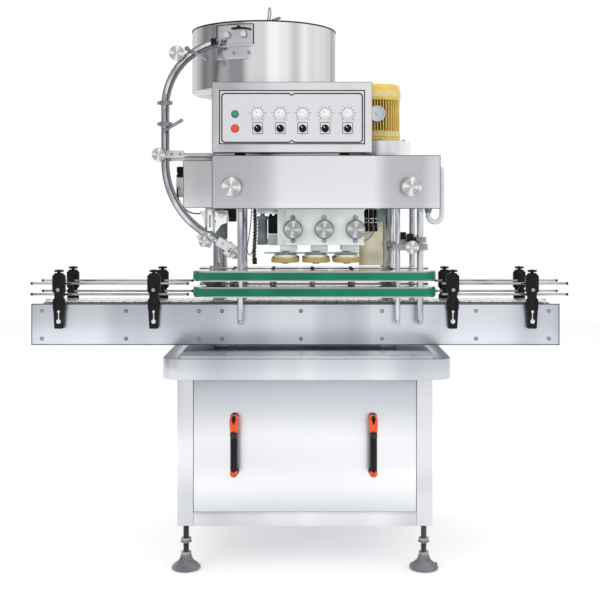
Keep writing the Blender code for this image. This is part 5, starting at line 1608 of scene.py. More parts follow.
# ---- head ----------------------------------------------------------------------
@dataclass
class Head:
    """Columns, front beam, crosshead, beam knobs, hose and drive motor."""

    wall: float = 0.003
    ease: float = 0.0009
    column_radius: float = 0.026
    hose_radius: float = 0.0088
    hose_y: float = -0.205
    collar_radius: float = 0.113
    motor_radius: float = 0.074
    fins: int = 44
    window: tuple[float, float] = (-0.196, 0.225)

    def build(self) -> None:
        """Build everything between the platform and the control box."""
        self.columns()
        self.beam()
        self.crosshead()
        self.hose()
        for side in ("left", "right"):
            self.beam_knob(side)
        self.collar()
        self.motor()

    def column_places(self) -> list[tuple[float, float]]:
        """Return X and Y of both columns."""
        low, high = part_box("lift_columns")
        reach = self.column_radius + 0.014
        return [(low.x + reach, (low.y + high.y) / 2), (high.x - reach, (low.y + high.y) / 2)]

    def columns(self) -> None:
        """Two polished columns in collars on a bolted base plate."""
        low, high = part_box("lift_columns")
        base = Bench.block("base", low, (high.x, high.y, low.z + 0.010), 0.0012)
        screws = cap_screw("screw", 0.0065, Facing.UP)
        spots = []
        rods = []
        for x, y in self.column_places():
            profile = [(0, low.z + 0.009), (self.column_radius + 0.010, low.z + 0.009),
                (self.column_radius + 0.010, low.z + 0.034), (self.column_radius + 0.001, low.z + 0.036),
                (self.column_radius, low.z + 0.037), (self.column_radius, high.z), (0, high.z)]
            rods.append(Bench.turned("column", profile, (x, y, 0), steps=56))
            spots += [shift(x + a, y + b, low.z + 0.010) for a in (-0.034, 0.034) for b in (-0.034, 0.034)]
        Bench.group(rods).done("columns", Look.COLUMN, "base", "lift_columns")
        base.done("column_base", Look.TURNED, "base")
        screws.spread(spots).done("column_screws", Look.BOLT, "base")

    def beam(self) -> None:
        """Sheet beam, with dark lines of painted shade along its folded edges."""
        low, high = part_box("head_beam")
        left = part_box("control_box")[0].x
        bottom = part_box("capping_block")[1].z + 0.0003
        self.beam_low = Vector((left, low.y, bottom))
        self.beam_high = Vector((left + 0.764, low.y + 0.1195, high.z))
        Bench.block("beam", self.beam_low, self.beam_high, self.ease, 3).done(
            "front_beam", Look.HEAD, "head", "head_beam")
        edge_lines("beam_edge", (self.beam_low.x, self.beam_low.z), (self.beam_high.x, self.beam_high.z),
                   self.beam_low.y, 0.0028, "head")

    def crosshead(self) -> None:
        """Hollow sheet box behind the beam, bored for the columns, with a window in its back."""
        low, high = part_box("head_beam")
        corner = Vector((low.x, self.beam_high.y, self.beam_low.z + 0.004))
        far = Vector((low.x + 0.842, high.y, high.z - 0.012))
        box = Bench.block("crosshead", corner, far, self.ease, 2)
        inset = Vector((self.wall,) * 3)
        box.cut(Bench.block("hollow", corner + inset, far - inset))
        box.cut(Bench.block("window", (self.window[0], far.y - 0.01, corner.z + 0.033),
                            (self.window[1], far.y + 0.01, far.z - 0.018)))
        for x, y in self.column_places():
            box.cut(Bench.rod("bore", (x, y, corner.z - 0.01), (x, y, corner.z + 0.01), 0.0285, 0, 40))
        box.done("crosshead_box", Look.BOX)
        # Painted shade: dark lines along the crosshead's front edges.
        edge_lines("crosshead_edge", (corner.x, corner.z), (far.x, far.z), corner.y, 0.0024, "head")
        bushes = []
        for x, y in self.column_places():
            ring = [(0.0265, corner.z + 0.001), (0.0285, corner.z - 0.0005), (0.036, corner.z + 0.0032),
                    (0.0325, corner.z + 0.006), (0.0325, far.z - 0.004), (0.0265, far.z - 0.004),
                    (0.0265, corner.z + 0.001)]
            bushes.append(Bench.turned("bush", ring, (x, y, 0), steps=44))
        Bench.group(bushes).done("column_bushes", Look.TURNED)
        frame_z = (corner.z + 0.033, far.z - 0.018)
        lip = round_rectangle((self.window[0] - 0.006, frame_z[0] - 0.006),
            (self.window[1] + 0.006, frame_z[1] + 0.006), 0.008, 5)
        edge = Bench.plate("lip", lip, far.y - 0.0012, far.y - 0.0002, "Y", 0.0003)
        edge.cut(Bench.block("hole", (self.window[0] + 0.001, far.y - 0.02, frame_z[0] + 0.001),
                             (self.window[1] - 0.001, far.y + 0.02, frame_z[1] - 0.001)))
        edge.done("crosshead_window_lip", Look.DARK)

    def hose(self) -> None:
        """Milky hose from the beam's end back up into its underside, in grey fittings."""
        right = self.beam_high.x
        out = right + 0.0125
        back = right - 0.034
        top = self.beam_high.z - 0.040
        low = self.beam_low.z - 0.022
        y = self.hose_y
        bend = (out - back) / 2
        route = [(right - 0.002, y, top), (right + 0.006, y, top), (out, y, top - 0.008),
            (out, y, top - 0.06), (out, y, low + 0.04), (out, y, low)]
        route += [(a, y, b) for a, b in arc(((out + back) / 2, low), bend, -15, -165, 6)]
        route += [(back, y, low), (back, y, self.beam_low.z + 0.002)]
        Bench.tube("air_hose", route, self.hose_radius - 0.0003, sides=6).done("air_hose", Look.HOSE)
        union = [(0, 0), (0.0125, 0), (0.0125, 0.007), (0.0105, 0.008), (0.0105, 0.014), (0, 0.014)]
        Bench.turned("union", union, (back, y, self.beam_low.z), Facing.DOWN, 28).done(
            "hose_union_lower", Look.CASTING)
        Bench.turned("union", union[:3] + [(0, 0.007)], (right, y, top), Facing.RIGHT, 28).done(
            "hose_union_upper", Look.CASTING)

    def beam_knob(self, side: str) -> None:
        """A turned knob on the beam's face, on a dark washer.

        Args:
            side: Left or right.
        """
        node = f"beam_knob_{side}"
        low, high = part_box(node)
        centre = ((low.x + high.x) / 2, self.beam_low.y, (low.z + high.z) / 2)
        grip_knob(node, (high.x - low.x) / 2, 0.0235, centre, 0.006).done(
            f"{node}_grip", Look.KNOB, f"{node}_body", node)
        Bench.turned("washer", hoop(0.008, 0.014, -0.0002, 0.0016), centre, Facing.FRONT, 32).done(
            f"{node}_washer", Look.DARK)

    def collar(self) -> None:
        """Steel collar under the motor, with its hold-down screws."""
        low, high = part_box("drive_motor")
        x = (low.x + high.x) / 2
        y = (low.y + high.y) / 2
        radius = self.collar_radius
        top = low.z + 0.075
        profile = [(0.107, low.z), (radius, low.z), (radius, top - 0.004), (radius - 0.003, top - 0.001),
            (radius - 0.006, top), (0.06, top), (0.06, top - 0.004), (0.107, top - 0.006), (0.107, low.z)]
        Bench.turned("collar", profile, (x, y, 0), steps=96, ease=0.0008).done(
            "motor_collar", Look.DRUM, "head", "drive_motor")
        spots = [turn(a, "Z", (x, y, 0)) @ shift(x + radius - 0.016, y, top) for a in range(30, 390, 60)]
        cap_screw("screw", 0.005, Facing.UP).spread(spots).done("collar_screws", Look.BOLT)

    def motor(self) -> None:
        """Yellow motor: flange, finned body, a dark cylinder of painted shade between the fins, cowl with air
        slots, a round cover and a terminal box.
        """
        low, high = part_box("drive_motor")
        x = (low.x + high.x) / 2
        y = (low.y + high.y) / 2
        radius = self.motor_radius
        base = low.z + 0.0752
        fins_low = base + 0.036
        fins_high = high.z - 0.060
        flange = [(0, base), (0.0765, base), (0.0765, base + 0.011), (0.073, base + 0.014),
            (0.070, base + 0.030), (0.0745, base + 0.034), (0.0745, fins_low), (0.062, fins_low + 0.002),
            (0.062, fins_high), (0, fins_high)]
        core = Bench.turned("motor", flange, (x, y, 0), steps=72, ease=0.0012)
        fin = Bench.block("fin", (x + 0.060, y - 0.0016, fins_low - 0.001),
            (x + radius, y + 0.0016, fins_high + 0.002), 0.0005, 1)
        fin.spread(turn(360 * i / self.fins, "Z", (x, y, 0)) for i in range(self.fins))
        # Painted shade: a dark yellow cylinder just proud of the core, seen between the fins.
        shade = puck(0.0635, fins_low, fins_high)
        Bench.turned("shade", shade, (x, y, 0), steps=72, ease=0).done("motor_fin_shade", Look.GAPS)
        core.joined(fin).done("motor_body", Look.YELLOW)
        cowl = [(0.060, fins_high - 0.001), (0.0765, fins_high), (0.0768, fins_high + 0.004),
            (0.0762, high.z - 0.018), (0.0735, high.z - 0.007), (0.066, high.z - 0.002),
            (0.030, high.z - 0.0005), (0, high.z - 0.0005)]
        hood = Bench.turned("cowl", cowl, (x, y, 0), steps=72, ease=0.003)
        hood.pick(lambda c, n: n.z > 0.97 and 0.032 < math.hypot(c.x - x, c.y - y) < 0.064)
        hood.inset(0.0012, -0.0022, each=True)
        hood.done("motor_cowl", Look.YELLOW)
        bands = []
        for inner, outer, z0, z1 in ((0.0760, 0.0776, high.z - 0.050, high.z - 0.029),
                                     (0.0696, 0.0762, base + 0.0145, base + 0.0335)):
            ring = [(inner, z0), (outer, z0 + 0.001), (outer, z1 - 0.001), (inner, z1), (inner, z0)]
            bands.append(Bench.turned("band", ring, (x, y, 0), steps=64, ease=0))
        Bench.group(bands).done("motor_bands", Look.BAND)
        cover = [(0, -0.012), (0.030, -0.012), (0.030, 0.001), (0.0275, 0.0035), (0.024, 0.0035),
            (0.022, 0.0022), (0.006, 0.0022), (0.004, 0.0035), (0, 0.0035)]
        Bench.turned("cover", cover, (x - 0.0125, y - radius, (fins_low + fins_high) / 2 + 0.005),
            Facing.FRONT, 48).done("motor_round_cover", Look.STICKER)
        Bench.block("terminal", (x - 0.032, y + 0.050, fins_low + 0.020),
            (x + 0.032, y + 0.098, fins_high - 0.020), 0.004, 3).done("motor_terminal_box", Look.YELLOW)


# ---- capping unit --------------------------------------------------------------
@dataclass
class CappingUnit:
    """Pale block with its gap knobs, screws, slides, wheels and drives."""

    ease: float = 0.0022
    screw_lifts: tuple[float, float] = (0.0949, 0.0165)
    screw_radius: float = 0.0088
    knob_shift: float = 0.027
    count: int = 3
    lead_radius: float = 0.0052
    wrap_radius: float = 0.0063
    wrap_turns: int = 15
    lead_end: float = 0.990
    sway: float = 0.002

    def build(self) -> None:
        """Build block, knobs, slides, wheels and the drives on each side."""
        self.low, self.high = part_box("capping_block")
        self.wheels = [centre_of(f"capping_wheel_front_{i + 1}").x for i in range(self.count)]
        Bench.of_node("block", "capping_block", self.ease).done(
            "capping_head_block", Look.HAMMER, "head", "capping_block")
        self.screws()
        for number in range(1, self.count + 1):
            node = f"gap_knob_{number}"
            low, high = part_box(node)
            centre = ((low.x + high.x) / 2, self.low.y, (low.z + high.z) / 2)
            grip_knob(node, (high.x - low.x) / 2, 0.0215, centre, 0.004).done(
                f"{node}_grip", Look.DIMMED, f"{node}_body", node)
            Bench.turned("ring", [(0.009, -0.0002), (0.0335, -0.0002), (0.0335, 0.0014), (0.0315, 0.0022),
                                  (0.009, 0.0022), (0.009, -0.0002)], centre, Facing.FRONT, 48).done(
                f"{node}_seat", Look.CASTING)
        self.slides()
        for row in ("front", "rear"):
            for number in range(1, self.count + 1):
                self.wheel(row, number)
        self.left_drive()
        self.right_drive()

    def screws(self) -> None:
        """A socket screw above and below each knob, in a shallow ring."""
        screw = cap_screw("screw", self.screw_radius * 0.72)
        ring = Bench.turned("ring", [(0.0058, -0.0005), (self.screw_radius, -0.0005),
            (self.screw_radius, 0.0012), (0.0058, 0.0016), (0.0058, -0.0005)], (0, 0, 0), Facing.FRONT, 28)
        screw.joined(ring)
        screw.spread(shift(x + self.knob_shift, self.low.y, self.low.z + lift)
                     for x in self.wheels for lift in self.screw_lifts)
        screw.done("block_screws", Look.BOLT)

    def slides(self) -> None:
        """Bearing blocks under the head block, one pair for each wheel pair, and their link rod."""
        spans = [(x - 0.018, x + 0.040) for x in self.wheels]
        blocks = []
        for x0, x1 in spans:
            for y in (-0.164, -0.036):
                block = Bench.block("bearing", (x0, y - 0.024, self.low.z - 0.021),
                    (x1, y + 0.024, self.low.z - 0.0003), 0.002)
                block.cut(Bench.rod("bore", ((x0 + 0.018), y, self.low.z - 0.03),
                    ((x0 + 0.018), y, self.low.z + 0.01), 0.0135, 0, 32))
                blocks.append(block)
        Bench.group(blocks).done("wheel_bearings", Look.HAMMER)
        z = self.low.z - 0.0235
        bar = Bench.block("bar", (self.wheels[0] - 0.070, -0.206, z - 0.0045),
            (self.wheels[-1] + 0.050, -0.192, z), 0.001)
        bar.done("wheel_link_bar", Look.CASTING)

    def wheel(self, row: str, number: int) -> None:
        """A rubber-faced wheel on its hub and spindle.

        Args:
            row: Front or rear.
            number: Its number along the line.
        """
        node = f"capping_wheel_{row}_{number}"
        body = f"wheel_{row}_{number}"
        low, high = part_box(node)
        centre = centre_of(node)
        radius = (high.x - low.x) / 2
        tread = low.z + 0.006
        tyre = [(0.0385, tread + 0.0005), (radius - 0.004, tread), (radius - 0.0008, tread + 0.003),
            (radius - 0.0004, tread + 0.0062), (radius - 0.0022, tread + 0.0075),
            (radius - 0.0022, tread + 0.0095), (radius - 0.0004, tread + 0.0108),
            (radius - 0.0008, tread + 0.014), (radius - 0.004, tread + 0.017), (0.0385, tread + 0.0165),
            (0.0385, tread + 0.0005)]
        Bench.turned(node, tyre, (centre.x, centre.y, 0), steps=64, ease=0.0008).done(
            f"{node}_tyre", Look.TYRE, body, node)
        hub = [(0, tread - 0.0055), (0.0105, tread - 0.0055), (0.012, tread - 0.003),
            (0.020, tread + 0.001), (0.0384, tread + 0.002), (0.0384, tread + 0.018),
            (0.0395, tread + 0.020), (0.0395, tread + 0.026), (0.034, tread + 0.027),
            (0.012, tread + 0.027), (0, tread + 0.027)]
        Bench.turned("hub", hub, (centre.x, centre.y, 0), steps=56).done(f"{node}_hub", Look.WHITE, body)
        plate = hoop(0.013, 0.036, tread + 0.0272, tread + 0.0300)
        spindle = puck(0.0058, tread - 0.0058, tread)
        shaft = puck(0.012, tread + 0.0268, high.z)
        disc = Bench.turned("disc", plate, (centre.x, centre.y, 0), steps=48, ease=0.0004)
        pin = Bench.turned("pin", spindle, (centre.x, centre.y, 0), steps=20)
        rod = Bench.turned("shaft", shaft, (centre.x, centre.y, 0), steps=32)
        disc.joined(pin, rod).done(f"{node}_shaft", Look.DARK, body)

    def left_drive(self) -> None:
        """Air cylinder, valve and cable to the left of the block."""
        x = self.low.x
        top = self.high.z
        barrel = [(0, top - 0.127), (0.016, top - 0.127), (0.019, top - 0.124), (0.019, top - 0.106),
                  (0.0172, top - 0.104), (0.0172, top - 0.038), (0.019, top - 0.036), (0.019, top - 0.026),
                  (0.008, top - 0.024), (0.008, top - 0.0005), (0, top - 0.0005)]
        Bench.turned("barrel", barrel, (x - 0.057, -0.045, 0), steps=40).done("left_gearbox", Look.CASTING)
        valve = Bench.block("valve", (x - 0.0365, -0.062, top - 0.088), (x - 0.001, -0.012, top - 0.024),
            0.0022)
        valve.pick(lambda c, n: n.y < -0.9).inset(0.004, -0.002)
        caps = [Bench.turned("cap", [(0, 0), (0.006, 0), (0.006, 0.006), (0.0048, 0.008), (0, 0.008)],
                             (x - 0.028 + 0.018 * i, -0.035, top - 0.0255), Facing.UP, 18) for i in range(2)]
        fins = [Bench.block("fin", (x - 0.0372, -0.063, top - 0.080 + 0.011 * i),
            (x - 0.0005, -0.0605, top - 0.075 + 0.011 * i), 0.0006) for i in range(5)]
        valve.joined(*caps, *fins).done("left_valve", Look.BLACK)
        Bench.block("manifold", (x - 0.037, -0.060, self.low.z - 0.004),
            (x - 0.001, -0.010, self.low.z + 0.033), 0.002).done("left_manifold", Look.HAMMER)
        rail = Bench.block("rail", (x - 0.075, -0.066, top - 0.016), (x + 0.001, -0.008, top - 0.0004),
            0.0015)
        rail.done("left_mount", Look.PLATE)
        self.cable(-0.152, -0.205)

    def cable(self, x: float, y: float) -> None:
        """A core in spiral wrap from the beam to a plug above the belt plate, and a stray lead beside it.

        Args:
            x: Where they hang.
            y: How far to the front.
        """
        top = self.high.z
        low = self.lead_end
        core = [(x + self.sway * math.sin(5 * t), y + self.sway * math.cos(4 * t), top + (low - top) * t)
                for t in (i / 20 for i in range(21))]
        Bench.tube("leads", core, self.lead_radius, sides=4).done("cable_leads", Look.CABLE)
        coil = []
        steps = 10
        for i in range(self.wrap_turns * steps + 1):
            share = i / (self.wrap_turns * steps)
            angle = 2 * math.pi * i / steps
            coil.append((x + self.sway * math.sin(5 * share) + self.wrap_radius * math.cos(angle),
                         y + self.sway * math.cos(4 * share) + self.wrap_radius * math.sin(angle),
                         top - 0.006 + (low + 0.012 - top) * share))
        Bench.tube("wrap", coil, 0.0022, sides=1).done("cable_wrap", Look.WRAP)
        plug = [(0, low - 0.004), (0.0072, low - 0.004), (0.0078, low), (0.0078, low + 0.014),
            (0.0066, low + 0.018), (0, low + 0.018)]
        Bench.turned("plug", plug, (x, y, 0), steps=24).done("cable_plug", Look.BLACK)
        stray = [(x - 0.010, y, top), (x - 0.013, y, top - 0.05), (x - 0.020, y, top - 0.10),
            (x - 0.028, y, top - 0.135), (x - 0.020, y, top - 0.160), (x - 0.008, y, top - 0.150),
            (x - 0.002, y, top - 0.130)]
        Bench.tube("lead", stray, 0.0016, sides=2).done("cable_stray_lead", Look.CABLE)

    def right_drive(self) -> None:
        """Black cylinders, a small motor, a cream guard plate and a blue tube on the right."""
        x = self.high.x
        top = self.high.z
        y = -0.045
        spots = [(x + 0.017 + 0.0165 * i, y - 0.012 * (i % 2)) for i in range(3)]
        profile = [(0, top - 0.080), (0.0062, top - 0.080), (0.0075, top - 0.078), (0.0075, top - 0.064),
                   (0.0066, top - 0.062), (0.0066, top - 0.030), (0.0075, top - 0.028), (0.0075, top - 0.006),
                   (0.004, top - 0.0005), (0, top - 0.0005)]
        cylinders = [Bench.turned("cylinder", profile, (*spot, 0), steps=28) for spot in spots]
        Bench.group(cylinders).done("right_valves", Look.BLACK)
        cuffs = Bench.turned("cuff", hoop(0.0068, 0.0080, 0, 0.004), steps=24)
        cuffs.spread(shift(*spot, top - 0.050 + 0.014 * j) for spot in spots for j in range(2)).done(
            "right_valve_cuffs", Look.POLISHED)
        Bench.block("motor", (x + 0.046, y - 0.006, top - 0.046), (x + 0.086, y + 0.040, top - 0.0004),
            0.004, 3).done("right_small_motor", Look.CASTING)
        plate = Bench.block("plate", (x - 0.004, 0.046, 0.969), (x + 0.083, 0.0495, 1.127), 0.001)
        plate.done("guard_plate", Look.GUARD)
        arm = Bench.block("arm", (x + 0.020, 0.046, 1.126), (x + 0.060, 0.0495, top + 0.0035), 0.001)
        arm.done("guard_arm", Look.GUARD)
        tube = [(x + 0.045, y - 0.020, top - 0.06), (x + 0.043, y - 0.021, top - 0.085),
            (x + 0.025, y - 0.018, top - 0.105), (x + 0.004, y - 0.010, top - 0.118),
            (x - 0.0035, y - 0.008, top - 0.117)]
        Bench.tube("tube", tube, 0.0016, sides=2).done("right_air_tube", Look.BLUE)


# ---- grip belts ----------------------------------------------------------------
@dataclass
class GripUnit:
    """One side's pair of belts, the plates, rods, clamp and pulley that carry them."""

    row: str
    sign: int
    belt: float = 0.005
    plate: float = 0.005
    plate_inset: float = 0.0022
    shaft: float = 0.010
    rod_radii: tuple[float, float, float] = (0.010, 0.0085, 0.011)
    rod_insets: tuple[float, float, float] = (0.162, 0.131, 0.0555)
    bolt_pitch: float = 0.1365
    clamp_knob: float = 0.0225

    def build(self) -> None:
        """Build one side."""
        self.body = f"{self.row}_clamp"
        self.node = f"{self.row}_clamp_frame"
        self.low, self.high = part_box(f"grip_belt_{self.row}_lower")
        self.middle = (self.low.y + self.high.y) / 2
        self.radius = (self.high.y - self.low.y) / 2
        self.ends = (self.low.x + self.radius, self.high.x - self.radius)
        self.levels = [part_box(f"grip_belt_{self.row}_{level}") for level in ("lower", "upper")]
        frame_low, frame_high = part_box(self.node)
        self.rods_y = -0.100 + self.sign * 0.132
        self.rods_x = [self.low.x + self.rod_insets[0]] + [self.high.x - inset
            for inset in self.rod_insets[1:]]
        self.rods_z = (frame_low.z, frame_high.z)
        self.belts()
        self.plates()
        self.hangers()
        self.clamp()
        self.pulley()

    def belts(self) -> None:
        """Two green bands; their grooved inner face is not modelled."""
        for level, (low, high) in zip(("lower", "upper"), self.levels):
            node = f"grip_belt_{self.row}_{level}"
            outer = stadium(*self.ends, self.middle, self.radius - 0.0002, 28)
            inner = stadium(*self.ends, self.middle, self.radius - self.belt, 28)
            band = Bench.plate(node, outer, low.z, high.z)
            band.cut(Bench.plate("inside", inner, low.z - 0.01, high.z + 0.01))
            band.bevel(0.0007, 2).done(f"{node}_band", Look.GREEN, self.body, node)

    def plates(self) -> None:
        """Pale plates above and below each belt, dark rims, spacers and black bolts."""
        reach = self.radius - self.plate_inset
        count = int((self.ends[1] - self.ends[0]) / self.bolt_pitch) + 1
        columns = [self.ends[1] - 0.0805 - self.bolt_pitch * (count - 1 - i) for i in range(count)]
        columns = [x for x in columns if x > self.ends[0] - 0.02]
        pieces = []
        rims = []
        for low, high in self.levels:
            for z in (low.z - 0.0003 - self.plate, high.z + 0.0003):
                slab = Bench.plate("slab", stadium(*self.ends, self.middle, reach, 28), z, z + self.plate)
                slab.cut(Bench.rod("bore", (self.ends[0], self.middle, z - 0.01),
                    (self.ends[0], self.middle, z + 0.02), self.shaft + 0.0006, 0, 32))
                pieces.append(slab.bevel(0.0008, 2))
                rim = [(a, b, z + self.plate * 0.5) for a,
                    b in stadium(*self.ends, self.middle, reach - 0.0002, 20)]
                rims.append(Bench.tube("rim", rim, 0.0012, sides=1, smooth=False, closed=True))
            nose = Bench.turned("nose", puck(self.radius - self.belt - 0.001, low.z, high.z),
                                (self.ends[1], self.middle, 0), steps=48)
            pieces.append(nose)
            for x in columns:
                pieces.append(Bench.rod("spacer", (x, self.middle, low.z - 0.0003),
                    (x, self.middle, high.z + 0.0003), 0.012, 0.0005))
        Bench.group(pieces).done(f"{self.row}_clamp_plates", Look.CLAMP, self.body, self.node,
            slot="steel_sheet")
        Bench.group(rims).done(f"{self.row}_clamp_rims", Look.LINE, self.body)
        head = hex_bolt("bolt", 0.0062, Facing.UP)
        top = self.levels[1][1].z + self.plate
        between = self.levels[0][1].z + self.plate
        spots = []
        for x in columns:
            y = self.middle - self.sign * (self.radius - 0.010)
            spots += [shift(x, y, top + 0.0004), shift(x, y, between + 0.0004)]
        head.spread(spots).done(f"{self.row}_clamp_bolts", Look.GLOSS, self.body, slot="dark_steel")
        bridges = []
        bridge_half = self.radius * 0.72
        for x in columns:
            bridges.append(Bench.block("bridge", (x - 0.006, self.middle - bridge_half, between + 0.0002),
                                       (x + 0.006, self.middle + bridge_half, between + 0.0028), 0.001))
            bridges.append(Bench.rod("post", (x, self.middle, between),
                (x, self.middle, self.levels[1][0].z - 0.004), 0.008))
        Bench.group(bridges).done(f"{self.row}_clamp_spacers", Look.BRONZE, self.body)

    def hangers(self) -> None:
        """Three polished rods with turned tips and a clamp collar under the head."""
        pieces = []
        for x, radius in zip(self.rods_x, self.rod_radii):
            low, high = self.rods_z
            profile = [(0, low), (radius * 0.86, low), (radius, low + 0.002), (radius, low + 0.010),
                       (radius * 0.93, low + 0.011), (radius * 0.93, low + 0.013), (radius, low + 0.014),
                       (radius, high), (0, high)]
            pieces.append(Bench.turned("rod", profile, (x, self.rods_y, 0), steps=40))
        Bench.group(pieces).done(f"{self.row}_hangers", Look.POLISHED, self.body)

    def clamp(self) -> None:
        """Bar across two rods with a split collar, a stop block and a knurled knob."""
        x0 = self.rods_x[1] - 0.019
        x1 = self.rods_x[2] + 0.0245
        z = self.levels[1][1].z + 0.074
        y = self.rods_y
        bar = Bench.block("bar", (x0, y - 0.014, z), (x1, y + 0.014, z + 0.022), 0.0015)
        slit = Bench.block("slit", (x1 - 0.020, y - 0.03, z + 0.0105), (x1 + 0.01, y + 0.03, z + 0.0115))
        bar.cut(slit).done(f"{self.row}_clamp_bar", Look.BOLT, self.body, slot="steel_sheet")
        third = self.rods_x[2]
        collar = Bench.turned("collar", hoop(0.0112, 0.021, z + 0.025, z + 0.045), (third, y, 0), steps=40)
        collar.done(f"{self.row}_split_collar", Look.BOLT, self.body)
        side = self.sign * 0.012
        block = Bench.block("stop", (third - 0.045, y - 0.011, z + 0.030),
            (third - 0.0225, y + 0.011, z + 0.056), 0.002)
        block.joined(Bench.rod("pin", (third - 0.030, y + side, z + 0.035),
            (third - 0.016, y + side, z + 0.035), 0.004)).done(f"{self.row}_stop_block", Look.BLACK,
            self.body)
        knob_x = self.rods_x[1] + 0.046
        face = Facing.FRONT if self.sign < 0 else Facing.BACK
        knob = grip_knob("knob", self.clamp_knob, 0.0145, (knob_x, y + self.sign * 0.014, z + 0.011), 0.007,
            face, 36)
        knob.done(f"{self.row}_clamp_knob", Look.KNOB, self.body)

    def pulley(self) -> None:
        """Twin flanged pulley with a keyed shaft."""
        node = f"belt_pulley_{self.row}"
        low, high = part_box(node)
        radius = self.radius - self.belt - 0.0012
        profile = [(0, low.z), (0.0095, low.z), (0.0095, self.levels[0][0].z)]
        for start, end in self.levels:
            profile += [(radius * 0.94, start.z), (radius, start.z + 0.002), (radius, end.z - 0.002),
                        (radius * 0.94, end.z), (0.0095, end.z)]
        profile += [(0.0095, high.z - 0.001), (0.008, high.z), (0, high.z)]
        wheel = Bench.turned(node, profile, (self.ends[0], self.middle, 0), steps=48)
        wheel.done(f"{node}_wheel", Look.DARK, f"{self.row}_pulley", node)


# ---- control box ---------------------------------------------------------------
@dataclass
class ControlBox:
    """Sheet box with its framed front, scales, knobs and buttons."""

    ease: float = 0.0010
    face_inset: tuple[float, float] = (0.024, 0.027)
    outer_line: tuple[float, float] = (0.026, 0.029)
    inner_line: tuple[float, float, float] = (0.0335, 0.039, 0.034)
    line: float = 0.0027
    notch_x: float = -0.025
    scale_radius: float = 0.0235
    ticks: int = 11
    tick: float = 0.0042
    tick_half: float = 0.0013
    first_angle: float = 225.0
    sweep: float = 270.0
    figure: float = 0.0062
    figure_gap: float = 0.0048

    def build(self) -> None:
        """Build the box and its panel."""
        self.low, self.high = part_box("control_box")
        self.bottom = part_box("head_beam")[1].z + 0.009
        self.y = self.low.y
        Bench.of_node("box", "control_box", self.ease).done(
            "control_casing", Look.BOX, "head", "control_box")
        # Painted shade: dark lines along the box's front edges.
        edge_lines("control_edge", (self.low.x, self.bottom), (self.high.x, self.high.z), self.y, 0.0020,
            "head")
        self.panel_face()
        self.frame_lines()
        for number in range(1, 6):
            self.speed_dial(number)
            self.selector(number)
        self.button("start_button", "start_plunger", Look.START, "green_button")
        self.button("stop_button", "stop_plunger", Look.STOP, "red_button")
        self.rubber_feet()

    def rubber_feet(self) -> None:
        """Round rubber feet under the box."""
        feet = []
        back = self.high.y
        beam_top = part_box("head_beam")[1].z
        for x in (self.low.x + 0.090, self.high.x - 0.090):
            for y, z in ((self.y + 0.035, beam_top), (back - 0.035, beam_top - 0.012)):
                profile = [(0, z + 0.0004), (0.0165, z + 0.0004), (0.0175, z + 0.003),
                    (0.0150, self.bottom - 0.0003), (0, self.bottom - 0.0003)]
                feet.append(Bench.turned("foot", profile, (x, y, 0), steps=32))
        Bench.group(feet).done("control_feet", Look.BLACK)

    def panel_face(self) -> None:
        """Thin foil plate with round corners on the box's front."""
        dx, dz = self.face_inset
        outline = round_rectangle((self.low.x + dx, self.bottom + dz), (self.high.x - dx, self.high.z - dz),
            0.003, 4)
        Bench.plate("face", outline, self.y - 0.0005, self.y + 0.0003, "Y").done("panel_foil", Look.LABEL)

    def frame_lines(self) -> None:
        """A square outer line and a round-cornered inner line with a notch above and below."""
        dx, dz = self.outer_line
        y = self.y - 0.0006
        corners = [(self.low.x + dx, self.bottom + dz), (self.high.x - dx, self.bottom + dz),
                   (self.high.x - dx, self.high.z - dz), (self.low.x + dx, self.high.z - dz)]
        outer = Bench.tube("outer", [(a, y, b) for a, b in corners], self.line, 1, False, True)
        dx, top, bottom = self.inner_line
        x0, x1 = self.low.x + dx, self.high.x - dx
        z0, z1 = self.bottom + bottom, self.high.z - top
        notch = 0.009
        cut = 0.008
        x = self.notch_x
        inner = [(x0, z1 - cut), (x0 + cut * 0.4, z1 - cut * 0.4), (x0 + cut, z1), (x - notch, z1),
            (x, z1 - notch * 0.7), (x + notch, z1), (x1 - cut, z1), (x1 - cut * 0.4, z1 - cut * 0.4),
            (x1, z1 - cut), (x1, z0 + cut), (x1 - cut * 0.4, z0 + cut * 0.4), (x1 - cut, z0),
            (x + notch, z0), (x, z0 + notch * 0.7), (x - notch, z0), (x0 + cut, z0),
            (x0 + cut * 0.4, z0 + cut * 0.4), (x0, z0 + cut)]
        line = Bench.tube("inner", [(a, y, b) for a, b in inner], self.line * 0.85, 1, False, True)
        outer.joined(line).done("panel_frame_lines", Look.LINE, slot="black_plastic")

    def figures(self, centre: Vector, name: str) -> None:
        """Ticks and plain figures in an arc round a dial.

        Args:
            centre: The dial's middle.
            name: The piece's name.
        """
        marks = []
        y = self.y - 0.0005
        angles = [math.radians(self.first_angle - self.sweep * i / (self.ticks - 1))
            for i in range(self.ticks)]
        for angle in angles:
            mark = Bench.block("mark", (self.scale_radius - self.tick, y - 0.0003, -self.tick_half),
                               (self.scale_radius, y + 0.0003, self.tick_half))
            mark.moved(shift(centre.x, 0, centre.z) @ Matrix.Rotation(-angle, 4, "Y"))
            marks.append(mark)
        reach = self.scale_radius + self.figure_gap
        for i in range(0, self.ticks, 2):
            angle = angles[i]
            clear_selection()
            bpy.ops.object.text_add(location=(0, 0, 0))
            words = bpy.context.object.data
            words.body = str(i)
            words.size = self.figure
            words.align_x = "CENTER"
            words.align_y = "CENTER"
            words.extrude = 0.0002
            bpy.ops.object.convert(target="MESH")
            marks.append(Bench("figure").moved(
                shift(centre.x + reach * math.cos(angle), y - 0.0001, centre.z + reach * math.sin(angle))
                @ turn(90, "X")))
        Bench.group(marks).done(name, Look.LINE, slot="black_plastic")

